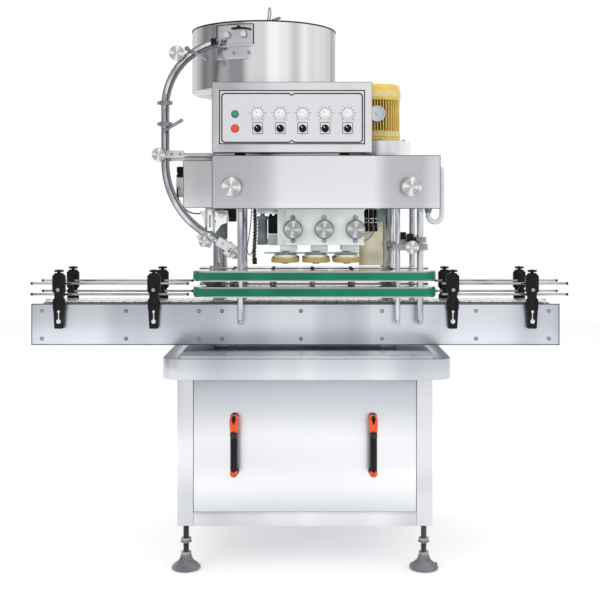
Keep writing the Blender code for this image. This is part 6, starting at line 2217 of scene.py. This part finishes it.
    def speed_dial(self, number: int) -> None:
        """A clear skirted dial with a dark pointer, in its printed scale.

        Args:
            number: Its place in the row.
        """
        node = f"speed_dial_{number}"
        body = f"speed_{number}"
        centre = centre_of(node)
        place = (centre.x, self.y, centre.z)
        profile = [(0, 0.0042), (0.0158, 0.0042), (0.0165, 0.0052), (0.0165, 0.0068), (0.0125, 0.0085),
            (0.0112, 0.0100), (0.0108, 0.0195), (0.0096, 0.0212), (0.0075, 0.0212), (0.0068, 0.0202),
            (0, 0.0202)]
        dial = Bench.turned(node, profile, place, Facing.FRONT, 48, 0.0004)
        dial.pick(lambda c, n: abs(n.y) < 0.25 and 0.0100 < math.hypot(c.x - centre.x,
            c.z - centre.z) < 0.0114)
        dial.inset(0.0003, -0.0004, each=True)
        dial.done(f"{node}_knob", Look.DIAL, body, node)
        pointer = Bench.block("pointer", (-0.0008, self.y - 0.0213, 0.002),
            (0.0008, self.y - 0.0200, 0.0098), 0.0003)
        skirt = Bench.block("mark", (-0.0006, self.y - 0.0080, 0.0125), (0.0006, self.y - 0.0060, 0.0162),
            0.0002)
        pointer.joined(skirt).moved(shift(centre.x, 0, centre.z) @ Matrix.Rotation(math.radians(-38), 4, "Y"))
        pointer.done(f"{node}_pointer", Look.CASTING, body)
        core = Bench.turned("core", [(0, 0.002), (0.0085, 0.002), (0.0085, 0.0044), (0.0036, 0.0046),
            (0.0036, 0.0180), (0, 0.0180)], place, Facing.FRONT, 28, 0.0003)
        core.done(f"{node}_core", Look.POLISHED, body)
        self.figures(centre, f"scale_{number}")

    def selector(self, number: int) -> None:
        """A black bar switch with a pale pointer on a white plate with a dark outline.

        Args:
            number: Its place in the row.
        """
        node = f"selector_{number}"
        body = f"switch_{number}"
        centre = centre_of(node)
        place = (centre.x, self.y, centre.z)
        plate = round_rectangle((centre.x - 0.0165, centre.z - 0.0170),
            (centre.x + 0.0165, centre.z + 0.0200), 0.0012, 3)
        Bench.plate("plate", plate, self.y - 0.0011, self.y - 0.0003, "Y").done(
            f"{node}_plate", Look.WHITE, slot="pale_paint")
        Bench.tube("line", [(a, self.y - 0.0011, b) for a, b in plate], 0.0009, 1, False, True).done(
            f"{node}_plate_line", Look.LINE, slot="black_plastic")
        ring = [(0, 0.0016), (0.0127, 0.0016), (0.0127, 0.0052), (0.0112, 0.0070), (0.0104, 0.0070),
            (0.0100, 0.0056), (0, 0.0056)]
        base = Bench.turned(node, ring, place, Facing.FRONT, 44, 0.0004)
        lever = Bench.block("lever", (-0.0034, self.y - 0.0190, -0.0104), (0.0034, self.y - 0.0050, 0.0112),
            0.0016, 3)
        cheeks = Bench.turned("cheek", [(0, 0.0052), (0.0090, 0.0052), (0.0084, 0.0120), (0.0070, 0.0128),
                                        (0, 0.0128)], place, Facing.FRONT, 32, 0.0004)
        swing = shift(centre.x, 0, centre.z) @ Matrix.Rotation(math.radians(-42), 4, "Y")
        base.joined(lever.moved(swing), cheeks).done(f"{node}_knob", Look.BLACK, body, node)
        pointer = Bench.block("pointer", (-0.0009, self.y - 0.0194, 0.0012),
            (0.0009, self.y - 0.0186, 0.0100), 0.0002)
        pointer.moved(swing).done(f"{node}_pointer", Look.WHITE, body, slot="clear_dial")

    def button(self, node: str, body: str, look: Look, slot: str) -> None:
        """A domed button in its ring.

        Args:
            node: The button's frame node.
            body: The plunger's body.
            look: Its finish.
            slot: Its material slot.
        """
        low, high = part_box(node)
        centre = centre_of(node)
        radius = (high.x - low.x) / 2
        place = (centre.x, self.y, centre.z)
        cap = [(0, 0.0050), (radius * 0.93, 0.0050), (radius, 0.0058), (radius, 0.0095),
            (radius * 0.86, 0.0112), (radius * 0.45, 0.0119), (0, 0.0120)]
        Bench.turned(node, cap, place, Facing.FRONT, 44, 0.0005).done(f"{node}_cap", look, body, node,
            slot=slot)
        ring = [(radius * 0.5, -0.0002), (radius + 0.0026, -0.0002), (radius + 0.0026, 0.0026),
            (radius + 0.0016, 0.0040), (radius + 0.0006, 0.0040), (radius + 0.0004, 0.0006),
            (radius * 0.5, 0.0006), (radius * 0.5, -0.0002)]
        look_ring = Look.GLOSS if look is Look.START else Look.STOP_RING
        Bench.turned("ring", ring, place, Facing.FRONT, 44, 0.0003).done(
            f"{node}_ring", look_ring, slot="black_plastic")


# ---- hopper and feed -----------------------------------------------------------
@dataclass
class Hopper:
    """Open drum on its post, with outlet plates, and the feed disc with its wire wings."""

    wall: float = 0.002
    post: float = 0.045
    sides: int = 128
    wing_lean: float = 0.021
    plate_angles: tuple[float, float] = (234.3, 264.5)
    upper: tuple[float, float] = (1.749, 1.818)
    lower: tuple[float, float] = (1.697, 1.741)

    def build(self) -> None:
        """Build drum, outlet and feed disc."""
        low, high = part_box("hopper_drum")
        self.centre = centre_of("hopper_drum")
        self.radius = (high.x - low.x) / 2 - 0.003
        self.top = high.z
        self.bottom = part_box("control_box")[1].z + 0.001
        self.base = low.z
        self.drum()
        self.outlet()
        self.disc()

    def drum(self) -> None:
        """Rolled drum with a seam, a dark rim bead and a hollow post."""
        r = self.radius
        x, y = self.centre.x, self.centre.y
        floor = self.bottom + 0.003
        shell = [(0.0135, self.bottom), (r - 0.003, self.bottom), (r, self.bottom + 0.003),
            (r, self.top - 0.004), (r - self.wall, self.top - 0.004), (r - self.wall, floor + 0.003),
            (r - 0.005, floor), (0.0135, floor), (0.0135, self.bottom)]
        Bench.turned("drum", shell, (x, y, 0), steps=self.sides, ease=0.0006).done(
            "hopper_shell", Look.DRUM, "head", "hopper_drum")
        rim = [(x + (r - 0.0004) * math.cos(a), y + (r - 0.0004) * math.sin(a), self.top - 0.0025)
               for a in (2 * math.pi * i / 96 for i in range(96))]
        Bench.tube("rim", rim, 0.0026, 3, False, True).done("hopper_rim", Look.LINE)
        seam = [(self.post - 0.006, self.base), (self.post + 0.018, self.base),
            (self.post + 0.018, self.base + 0.006), (self.post, self.base + 0.008),
            (self.post, self.bottom - 0.0005), (self.post - 0.006, self.bottom - 0.0005),
            (self.post - 0.006, self.base)]
        Bench.turned("post", seam, (x, y, 0), steps=56).done("hopper_post", Look.DRUM)
        spots = [turn(a, "Z", (x, y, 0)) @ shift(x + self.post + 0.010, y, self.base + 0.006)
            for a in range(0, 360, 60)]
        cap_screw("screw", 0.004, Facing.UP).spread(spots).done("hopper_post_screws", Look.BOLT)

    def on_drum(self, x: float, z: float, proud: float) -> Matrix:
        """Place that stands on the drum's front.

        Args:
            x: How far along the machine.
            z: Height.
            proud: How far off the drum's side.

        Returns:
            A matrix that turns +Z outwards there.
        """
        radius = self.radius + proud
        away = x - self.centre.x
        y = self.centre.y - math.sqrt(radius ** 2 - away ** 2)
        out = Vector((away, y - self.centre.y, 0))
        return Matrix.Translation((x, y, z)) @ out.to_track_quat("Z", "Y").to_matrix().to_4x4()

    def curved_plate(self, angles: tuple[float, float], low: float, high: float, inner: float, outer: float,
                     ease: float = 0.0008) -> Bench:
        """A plate that follows the drum's side.

        Args:
            angles: From and to, in degrees about the drum's middle.
            low: Lower edge.
            high: Upper edge.
            inner: Its inside off the drum's side.
            outer: Its outside off the drum's side.
            ease: Rounding of its edges.

        Returns:
            The bench with the plate on it.
        """
        middle = (self.centre.x, self.centre.y)
        outline = arc(middle, self.radius + outer, *angles, 20)
        outline += arc(middle, self.radius + inner, angles[1], angles[0], 20)
        return Bench.plate("plate", outline, low, high, ease=ease)

    def outlet(self) -> None:
        """Two outlet plates with their screws, the throat and the block at the chute's mouth."""
        first, last = self.plate_angles
        gap = 0.0003
        upper = self.curved_plate(self.plate_angles, *self.upper, gap, 0.0040)
        lip = self.curved_plate((first + 1, last - 1), self.upper[0] - 0.008, self.upper[0] + 0.004, gap,
            0.0085)
        upper.joined(lip).done("outlet_upper_plate", Look.SHEET)
        self.curved_plate((first - 1, last - 2.5), *self.lower, gap, 0.0036).done(
            "outlet_lower_plate", Look.SHEET)
        edges = ((self.plate_angles, self.upper[1] - 0.0015, self.upper[1] + 0.0008),
                 ((last - 0.5, last + 0.2), *self.upper), ((first - 0.2, first + 0.5), *self.upper))
        frame = [self.curved_plate(*edge, gap, 0.0050, 0.0003) for edge in edges]
        Bench.group(frame).done("outlet_plate_edges", Look.LINE)
        knob = Bench.turned("thumb", [(0, -0.001), (0.0085, -0.001), (0.0085, 0.002), (0.0042, 0.003),
            (0.0042, 0.007), (0.0098, 0.008), (0.0098, 0.017), (0.0085, 0.0185), (0, 0.0185)], steps=26,
            ease=0.0005)
        knob.pick(lambda c, n: abs(n.z) < 0.3 and math.hypot(c.x, c.y) > 0.0095)
        knob.inset(0.0003, -0.0005, each=True)
        seats = [self.on_drum(x, 1.781, 0.004) for x in (-0.251, -0.193)]
        knob.spread(seats).done("outlet_thumb_screws", Look.TURNED)
        ring = Bench.turned("ring", hoop(0.0098, 0.0135, -0.0002, 0.001), steps=28, ease=0.0002)
        ring.spread(seats).done("outlet_seats", Look.DARK)
        stop = Bench.turned("stop", [(0, 0), (0.006, 0), (0.006, 0.008), (0.0045, 0.010), (0, 0.010)],
            steps=20)
        stop.spread([self.on_drum(-0.211, 1.807, 0.004)])
        route = [self.on_drum(x, z, 0.010).translation
                 for x, z in ((-0.238, 1.803), (-0.215, 1.806), (-0.188, 1.803), (-0.168, 1.798))]
        bar = Bench.tube("bar", route, 0.0026)
        stop.joined(bar).done("outlet_gate_lever", Look.BLACK)
        screw = Bench.turned("screw", [(0, -0.0005), (0.0058, -0.0005), (0.0058, 0.0012), (0.0042, 0.0030),
                                       (0.002, 0.0032), (0.002, 0.0016), (0, 0.0016)], steps=20, ease=0.0003)
        screw.spread([self.on_drum(x, 1.718, 0.0036) for x in (-0.274, -0.229, -0.176)]).done(
            "outlet_screws", Look.DARK)
        self.throat()

    def throat(self) -> None:
        """The two passages from the drum's side to the chute's mouth, with their black clamp."""
        mouth = Vector((-0.2953, -0.1290 + 0.0403, 0))
        middle = Vector((self.centre.x, self.centre.y, 0))
        way = (mouth - middle).normalized()
        across = Vector((-way.y, way.x, 0)) * 0.013
        start = middle + way * (self.radius + 0.0004)
        end = middle + way * ((mouth - middle).length - 0.001)
        corners = [start + across, start - across, end - across, end + across]
        throat = Bench.plate("throat", [(p.x, p.y) for p in corners], self.top - 0.088, self.top - 0.062,
            ease=0.0015)
        throat.done("outlet_throat", Look.PLATE)
        black = Bench.block("clamp", (-0.309, -0.126, 1.746), (-0.290, -0.113, 1.768), 0.002)
        black.joined(Bench.rod("pin", (-0.300, -0.112, 1.757), (-0.300, -0.127, 1.757), 0.0035))
        black.done("chute_mouth_clamp", Look.BLACK)

    def disc(self) -> None:
        """Feed cone with radial ribs, and the hub with its bent-wire wings."""
        x, y = self.centre.x, self.centre.y
        node_low, node_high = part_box("feed_disc")
        floor = self.bottom + 0.007
        edge = self.radius - self.wall - 0.006
        hub_top = node_high.z - 0.062
        cone = [(0, node_low.z), (0.0118, node_low.z), (0.0118, floor), (edge, floor),
            (edge, floor + 0.005), (0.060, floor + 0.030), (0.020, floor + 0.036), (0.0125, floor + 0.044),
            (0.0125, hub_top - 0.032), (0, hub_top - 0.032)]
        disc = Bench.turned("disc", cone, (x, y, 0), steps=96)
        rib = Bench.plate("rib", [(0.062, floor + 0.028), (edge - 0.006, floor + 0.0045),
            (edge - 0.006, floor + 0.012), (0.062, floor + 0.036)], -0.0015, 0.0015, "Y", 0.0006)
        rib.spread(shift(x, y, 0) @ Matrix.Rotation(math.radians(a), 4, "Z") for a in range(0, 360, 45))
        disc.joined(rib).done("feed_cone", Look.DRUM, "feed_rotor", "feed_disc")
        hub = [(0, hub_top - 0.032), (0.019, hub_top - 0.032), (0.019, hub_top - 0.018),
            (0.013, hub_top - 0.012), (0.013, hub_top - 0.002), (0.011, hub_top), (0, hub_top)]
        Bench.turned("hub", hub, (x, y, 0), steps=32).done("wing_hub", Look.BLACK, "feed_rotor")
        z = hub_top - 0.010
        top = node_high.z - 0.003
        lean = x + self.wing_lean
        upright = [(x + 0.006, y, z), (lean - 0.0045, y, z + 0.03), (lean - 0.004, y, top - 0.006),
            (lean, y, top), (lean + 0.004, y, top - 0.006), (lean + 0.0045, y, z + 0.03), (x + 0.011, y, z)]
        wing = top - 0.040
        right = [(lean + 0.002, y, wing - 0.010), (lean + 0.018, y, wing - 0.002),
            (lean + 0.036, y, wing + 0.003), (lean + 0.041, y, wing + 0.001),
            (lean + 0.036, y, wing - 0.003), (lean + 0.018, y, wing - 0.008),
            (lean + 0.002, y, wing - 0.016)]
        left = [(2 * lean - a, b, c - 0.012) for a, b, c in right]
        wires = [Bench.tube("wire", route, 0.0026, 3) for route in (upright, right, left)]
        Bench.group(wires).done("wing_wires", Look.GUIDE, "feed_rotor")


# ---- chute ---------------------------------------------------------------------
@dataclass
class Chute:
    """Curved channel with its clamps, levers, knobs and arm, and the air regulator behind it."""

    upright_x: float = -0.470
    start: tuple[float, float] = (-0.292, 1.755)
    start_dip: float = 13.0
    lower_top: float = 1.338
    lower_radius: float = 0.290
    exit_dip: float = 31.5
    end_x: float = -0.223
    width: float = 0.026
    depth: float = 0.022
    wall: float = 0.003
    y: float = -0.100

    def route(self) -> list[Vector]:
        """Return the channel's middle line in XZ: bend, drop, bend and straight end."""
        radius = (self.start[0] - self.upright_x) / (1 - math.sin(math.radians(self.start_dip)))
        centre = (self.upright_x + radius, self.start[1] - radius * math.cos(math.radians(self.start_dip)))
        points = arc(centre, radius, 90 + self.start_dip, 180, 24)
        points += arc((self.upright_x + self.lower_radius, self.lower_top), self.lower_radius, 180,
                      270 - self.exit_dip, 24)
        last = points[-1]
        run = self.end_x - last[0]
        points.append((self.end_x, last[1] - run * math.tan(math.radians(self.exit_dip))))
        return [Vector(p) for p in points]

    def strip(self, name: str, inner: float, outer: float, low: float, high: float,
            ease: float = 0.0006) -> Bench:
        """A strip that follows the channel.

        Args:
            name: The piece's name.
            inner: One edge off the middle line.
            outer: The other edge.
            low: Front face.
            high: Back face.
            ease: Rounding of its edges.

        Returns:
            The bench with the strip on it.
        """
        route = self.route()
        sides = []
        for i, point in enumerate(route):
            way = (route[min(i + 1, len(route) - 1)] - route[max(i - 1, 0)]).normalized()
            sides.append((point, Vector((-way.y, way.x))))
        outline = [p + s * outer for p, s in sides] + [p + s * inner for p, s in reversed(sides)]
        return Bench.plate(name, [tuple(p) for p in outline], low, high, "Y", ease)

    def build(self) -> None:
        """Build channel, arm, clamps, knobs and regulator."""
        self.channel()
        self.arm()
        self.fittings()
        self.knobs()
        self.regulator()

    def channel(self) -> None:
        """Back, two walls with rolled lips, and the guide wire along the opening."""
        half = self.width / 2
        front = self.y - self.depth / 2
        back = self.y + self.depth / 2
        piece = self.strip("channel", -half, half, back - self.wall, back)
        for inner, outer in ((half - self.wall, half), (-half, -half + self.wall)):
            piece.joined(self.strip("wall", inner, outer, front, back - self.wall + 0.0005))
        piece.done("chute_channel", Look.CHUTE, "head", "cap_chute")
        self.strip("floor", -half + self.wall + 0.0006, half - self.wall - 0.0006, back - self.wall - 0.0011,
                   back - self.wall - 0.0001, 0).done("chute_floor_strip", Look.DARK)
        bar = self.strip("bar", -0.0092, 0.0034, front + 0.0006, front + 0.006, 0.0016)
        bar.done("chute_guide_bar", Look.POLISHED)

    def arm(self) -> None:
        """Flat arm to the crosshead, hanger plate and cheeks round the end."""
        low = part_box("cap_chute")[0]
        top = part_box("head_beam")[1].z
        back = self.y + self.depth / 2
        arm = Bench.block("arm", (low.x, back - 0.001, top - 0.0115), (-0.302, back + 0.008, top + 0.0123),
            0.0012)
        block = Bench.block("block", (-0.474, self.y - 0.025, top - 0.002),
            (-0.402, self.y - 0.0112, top + 0.024), 0.0016)
        rod = Bench.rod("rod", (-0.404, self.y - 0.018, top + 0.008),
            (-0.2925, self.y - 0.018, top + 0.008), 0.0075)
        arm.joined(block, rod).done("chute_arm", Look.RAIL)
        screws = Bench.turned("screw", [(0, -0.0005), (0.005, -0.0005), (0.005, 0.0025), (0.003, 0.0035),
            (0, 0.0035)], steps=20, ease=0.0004)
        screws.spread(shift(x, self.y - 0.025, top + 0.011) @ turn(90, "X")
                      for x in (-0.445, -0.415)).done("chute_arm_screws", Look.BOLT)
        route = self.route()
        bend = route[-2]
        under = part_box("capping_block")[1].z + 0.004
        plate = Bench.block("hanger", (bend.x, back - 0.001, bend.y - 0.020),
            (bend.x + 0.034, back + 0.008, under), 0.0012)
        plate.done("chute_hanger", Look.RAIL)
        end = route[-1]
        cheeks = [Bench.block("cheek", (end.x - 0.012, self.y + a, end.y - 0.024),
            (end.x + 0.010, self.y + b, end.y + 0.016), 0.0014) for a,
            b in ((-0.018, -0.0105), (0.0095, 0.018))]
        pin = Bench.rod("pin", (end.x - 0.002, self.y - 0.0195, end.y - 0.004),
            (end.x - 0.002, self.y + 0.0195, end.y - 0.004), 0.0045)
        spring = [(end.x - 0.016 + 0.004 * math.cos(t), self.y - 0.015, end.y + 0.006 + 0.030 * t / 24
            + 0.004 * math.sin(t)) for t in (i * 0.8 for i in range(30))]
        cheeks[0].joined(cheeks[1], pin, Bench.tube("spring", spring, 0.0011, 1)).done(
            "chute_end_cheeks", Look.BOLT)

    def fittings(self) -> None:
        """Clamp lugs along the upright and the two clamp levers."""
        y = self.y - self.depth / 2
        x = self.upright_x
        lugs = []
        for z in (1.544, 1.470):
            lugs.append(Bench.block("lug", (x - 0.0165, y - 0.0055, z - 0.008),
                (x + 0.0165, y + 0.012, z + 0.008), 0.0012))
            for side in (-1, 1):
                lugs.append(Bench.turned("nut", puck(0.0065, -0.0055, 0.0055),
                                         (x + side * 0.0205, y + 0.002, z), Facing.RIGHT, 6, 0.0006))
        Bench.group(lugs).done("chute_lugs", Look.BOLT, slot="turned_steel")
        levers = []
        for start, end in (((-0.392, 1.732), (-0.320, 1.690)), ((-0.470, 1.4465), (-0.406, 1.484))):
            a = Vector((start[0], y - 0.010, start[1]))
            b = Vector((end[0], y - 0.016, end[1]))
            levers.append(Bench.tube("lever", [a, a.lerp(b, 0.3), a.lerp(b, 0.7), b],
                [0.0045, 0.0050, 0.0062, 0.0058], 4))
            eye = [(0, -0.004), (0.0085, -0.004), (0.0085, 0.008), (0.006, 0.010), (0, 0.010)]
            levers.append(Bench.turned("eye", eye, (a.x, y - 0.004, a.z), Facing.FRONT, 28, 0.0008))
        Bench.group(levers).done("chute_levers", Look.BOLT, slot="turned_steel")
        clips = [Bench.block("clip", (x - 0.0035, y - 0.0045, z - 0.017),
            (x + 0.0035, y + 0.004, z + 0.017), 0.001) for z in (1.560, 1.510)]
        Bench.group(clips).done("chute_clips", Look.DARK)

    def knobs(self) -> None:
        """Turned knobs on the channel, each on a short stud."""
        y = self.y - self.depth / 2
        for name, x, z, radius, thick in (("upper", -0.4265, 1.715, 0.0265, 0.015),
                ("arm", -0.4895, 1.362, 0.024, 0.014), ("lower_left", -0.331, 1.060, 0.019, 0.013),
                ("lower_right", -0.3165, 1.0745, 0.017, 0.010)):
            stand = 0.005 if name != "lower_left" else 0.013
            grip_knob(name, radius, thick, (x, y, z), stand, Facing.FRONT, 48).done(
                f"chute_knob_{name}", Look.KNOB)
        block = Bench.block("block", (-0.345, y - 0.004, 1.045), (-0.300, y + 0.006, 1.090), 0.002)
        block.moved(turn(31.5, "Y", (-0.3225, y, 1.0675))).done("chute_lower_block", Look.RAIL)
        plate = Bench.block("plate", (-0.3215, y - 0.007, 1.097), (-0.3030, y - 0.003, 1.1735), 0.0012)
        slot = Bench.plate("slot", stadium_up(-0.3122, 1.112, 1.150, 0.0032), y - 0.02, y + 0.02, "Y")
        plate.cut(slot).done("chute_white_bracket", Look.CLAMP)
        blocks = []
        for x, z, long, tall in ((-0.268, 1.052, 0.046, 0.034), (-0.243, 1.030, 0.030, 0.048),
                                 (-0.229, 1.020, 0.022, 0.034)):
            block = Bench.block("block", (x - long / 2, y - 0.008, z - tall / 2),
                                (x + long / 2, y + 0.004, z + tall / 2), 0.003, 3)
            block.cut(Bench.rod("bore", (x, y - 0.02, z), (x, y + 0.02, z), tall * 0.16, 0, 20))
            blocks.append(block.moved(turn(self.exit_dip, "Y", (x, y, z))))
        Bench.group(blocks).done("chute_end_blocks", Look.TURNED)
        back = self.y + self.depth / 2 + 0.004
        outline = [(-0.352, 1.166), (-0.252, 1.168), (-0.248, 1.128), (-0.276, 1.118), (-0.302, 1.082),
                   (-0.312, 1.040), (-0.352, 1.046), (-0.362, 1.078), (-0.330, 1.106), (-0.340, 1.140)]
        web = Bench.plate("web", outline, back, back + 0.003, "Y", 0.001)
        web.cut(Bench.rod("bore", (-0.300, back - 0.01, 1.130), (-0.300, back + 0.01, 1.130), 0.006, 0, 24))
        web.done("chute_end_web", Look.CLAMP)

    def regulator(self) -> None:
        """Small air regulator on the crosshead's end, its knob on top, and its thin hose."""
        x = -0.4205
        y = -0.0615
        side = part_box("head_beam")[0].x
        body = Bench.block("body", (x - 0.0145, y - 0.0145, 1.215), (x + 0.0145, y + 0.0145, 1.285), 0.0025,
            3)
        body.pick(lambda c, n: n.y < -0.9).inset(0.0035, -0.0012)
        body.joined(Bench.block("foot", (x + 0.010, y - 0.010, 1.225), (side + 0.001, y + 0.010, 1.275),
            0.001))
        body.done("regulator_body", Look.BOWL)
        knob = [(0, 1.285), (0.0155, 1.285), (0.0155, 1.2945), (0.0125, 1.2965), (0.0125, 1.300),
            (0.0142, 1.302), (0.0142, 1.320), (0.0125, 1.323), (0, 1.323)]
        cap = Bench.turned("knob", knob, (x, y, 0), steps=36)
        cap.pick(lambda c, n: abs(n.z) < 0.3 and c.z > 1.303 and math.hypot(c.x - x, c.y - y) > 0.0138)
        cap.inset(0.0004, -0.0006, each=True)
        cap.done("regulator_knob", Look.BLACK)
        fitting = Bench.turned("fitting", [(0, 0), (0.0055, 0), (0.0055, 0.006), (0.004, 0.008),
            (0.004, 0.012), (0, 0.012)], (x - 0.0075, y - 0.0140, 1.248), Facing.FRONT, 24)
        fitting.done("regulator_fitting", Look.DARK)
        hose = [(x - 0.0075, y - 0.0255, 1.248), (x - 0.0095, y - 0.027, 1.238),
            (x - 0.008, y - 0.024, 1.215), (x + 0.002, y - 0.016, 1.190), (x + 0.018, y - 0.013, 1.170),
            (x + 0.040, y - 0.010, 1.158), (x + 0.068, y + 0.006, 1.156), (x + 0.090, y + 0.020, 1.165),
            (x + 0.096, y + 0.024, 1.178)]
        Bench.tube("hose", hose, 0.0022, 3).done("regulator_hose", Look.CABLE)
        gear = [(0, 1.065), (0.021, 1.065), (0.025, 1.069), (0.025, 1.135), (0.022, 1.138), (0.022, 1.1775),
            (0, 1.1775)]
        motor = Bench.turned("motor", gear, (-0.285, 0.005, 0), steps=44)
        motor.done("belt_gearmotor", Look.CASTING)
        Bench.block("box", (-0.262, -0.017, 1.128), (-0.228, 0.027, 1.1775), 0.003, 3).done(
            "belt_motor_box", Look.BLACK)


# ---- studio --------------------------------------------------------------------
@dataclass
class Studio:
    """White surroundings, soft lamps, floor and camera."""

    camera_place: tuple[float, float, float] = (0.0225, -3.742, 1.17)
    lens: float = 62.4
    shift: tuple[float, float] = (-0.010, -0.150)
    ambient: float = 0.72
    floor_glow: float = 0.30
    floor_size: float = 14.0
    floor_drop: float = 0.0006
    band_gain: float = 1.25
    aim_height: float = 1.0
    lights: tuple[tuple[str, Point, float, float], ...] = (
        ("key", (-2.6, -3.0, 2.8), 2.4, 38),
        ("fill", (2.9, -2.6, 2.0), 2.4, 24),
        ("top", (0.0, 0.6, 4.2), 3.2, 30))
    walls: tuple[tuple[float, float], ...] = ((-180, 0.72), (-125, 0.72), (-108, 0.30), (-82, 0.40),
        (-62, 0.62), (-42, 0.50), (-24, 0.60), (-9, 0.80), (22, 0.84), (44, 0.90), (66, 0.84), (84, 0.36),
        (108, 0.30), (132, 0.68), (179, 0.72))

    def build(self) -> None:
        """Set up everything that isn't the machine."""
        self.surroundings()
        self.floor()
        self.lamps()
        self.camera()

    def surroundings(self) -> None:
        """White to the camera and through glass, soft bands in reflections, plain light elsewhere."""
        world = bpy.data.worlds.new("studio")
        bpy.context.scene.world = world
        world.use_nodes = True
        weave = Weave(world.node_tree)
        tree = world.node_tree
        path = weave.node("ShaderNodeLightPath")
        way = weave.node("ShaderNodeTexCoord").outputs["Generated"]
        parts = weave.node("ShaderNodeSeparateXYZ", {0: way})
        ahead = weave.math("MULTIPLY", parts.outputs[1], -1.0)
        round_share = weave.math("ADD", weave.math("DIVIDE", weave.math("ARCTAN2", parts.outputs[0], ahead),
                                                   2 * math.pi), 0.5)
        ramp = weave.node("ShaderNodeValToRGB", {0: round_share})
        stops = ramp.color_ramp.elements
        stops.remove(stops[-1])
        for i, (degrees, level) in enumerate(self.walls):
            stop = stops[0] if i == 0 else stops.new(0.5)
            stop.position = degrees / 360 + 0.5
            stop.color = (level, level, level, 1)
        band = weave.node("ShaderNodeMath", {0: ramp.outputs[0], 1: self.band_gain}, operation="MULTIPLY")
        strength = weave.math("ADD", weave.math("MULTIPLY", path.outputs["Is Glossy Ray"],
            weave.math("SUBTRACT", band.outputs[0], self.ambient)), self.ambient)
        plain = weave.math("MAXIMUM", path.outputs["Is Camera Ray"], path.outputs["Is Transmission Ray"])
        level = weave.node("ShaderNodeMix", {0: plain, 2: strength, 3: 1.0}, data_type="FLOAT")
        tree.links.new(level.outputs[0], tree.nodes["Background"].inputs["Strength"])
        tree.nodes["Background"].inputs["Color"].default_value = (1, 1, 1, 1)

    def floor(self) -> None:
        """White floor that keeps the machine's shadow."""
        clear_selection()
        bpy.ops.mesh.primitive_plane_add(size=self.floor_size, location=(0, 0, -self.floor_drop))
        floor = bpy.context.object
        floor.name = "studio_floor"
        bpy.ops.object.transform_apply(location=True, rotation=True, scale=True)
        material, weave, shader = started("floor_white")
        shader.inputs["Base Color"].default_value = (0.92, 0.92, 0.92, 1)
        shader.inputs["Roughness"].default_value = 0.9
        shader.inputs["Specular IOR Level"].default_value = 0.0
        path = weave.node("ShaderNodeLightPath")
        seen = weave.math("MAXIMUM", path.outputs["Is Camera Ray"], path.outputs["Is Glossy Ray"])
        seen = weave.math("MAXIMUM", seen, path.outputs["Is Transmission Ray"])
        weave.tree.links.new(weave.math("MULTIPLY", seen, self.floor_glow),
            shader.inputs["Emission Strength"])
        shader.inputs["Emission Color"].default_value = (1, 1, 1, 1)
        floor.data.materials.append(material)

    def lamps(self) -> None:
        """Three large soft lamps: left, right and above."""
        for name, place, size, power in self.lights:
            light = bpy.data.lights.new(name, "AREA")
            light.shape = "SQUARE"
            light.size = size
            light.energy = power
            lamp = bpy.data.objects.new(name, light)
            lamp.location = place
            aim = Vector((0, 0, self.aim_height)) - Vector(place)
            lamp.rotation_euler = aim.to_track_quat("-Z", "Y").to_euler()
            lamp.visible_glossy = False
            bpy.context.scene.collection.objects.link(lamp)

    def camera(self) -> None:
        """Level camera in front of the machine."""
        lens = bpy.data.cameras.new("front")
        lens.lens = self.lens
        lens.sensor_width = 36.0
        lens.shift_x, lens.shift_y = self.shift
        lens.clip_end = 60
        camera = bpy.data.objects.new("front", lens)
        camera.location = self.camera_place
        camera.rotation_euler = (math.pi / 2, 0, 0)
        bpy.context.scene.collection.objects.link(camera)
        bpy.context.scene.camera = camera


def main() -> None:
    """Build the studio and the machine, sub-assembly by sub-assembly."""
    logging.basicConfig(level=logging.INFO, format="%(name)s: %(message)s", stream=sys.stdout)
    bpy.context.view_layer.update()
    bpy.context.scene.view_settings.view_transform = "Standard"
    parts = [Studio(), Cabinet(), Table(), Conveyor(), Guides(), Head(), CappingUnit(), GripUnit("front", -1),
             GripUnit("rear", 1), ControlBox(), Hopper(), Chute()]
    for part in parts:
        log.info("building %s", type(part).__name__)
        part.build()
    clear_selection()


if __name__ == "__main__":
    main()
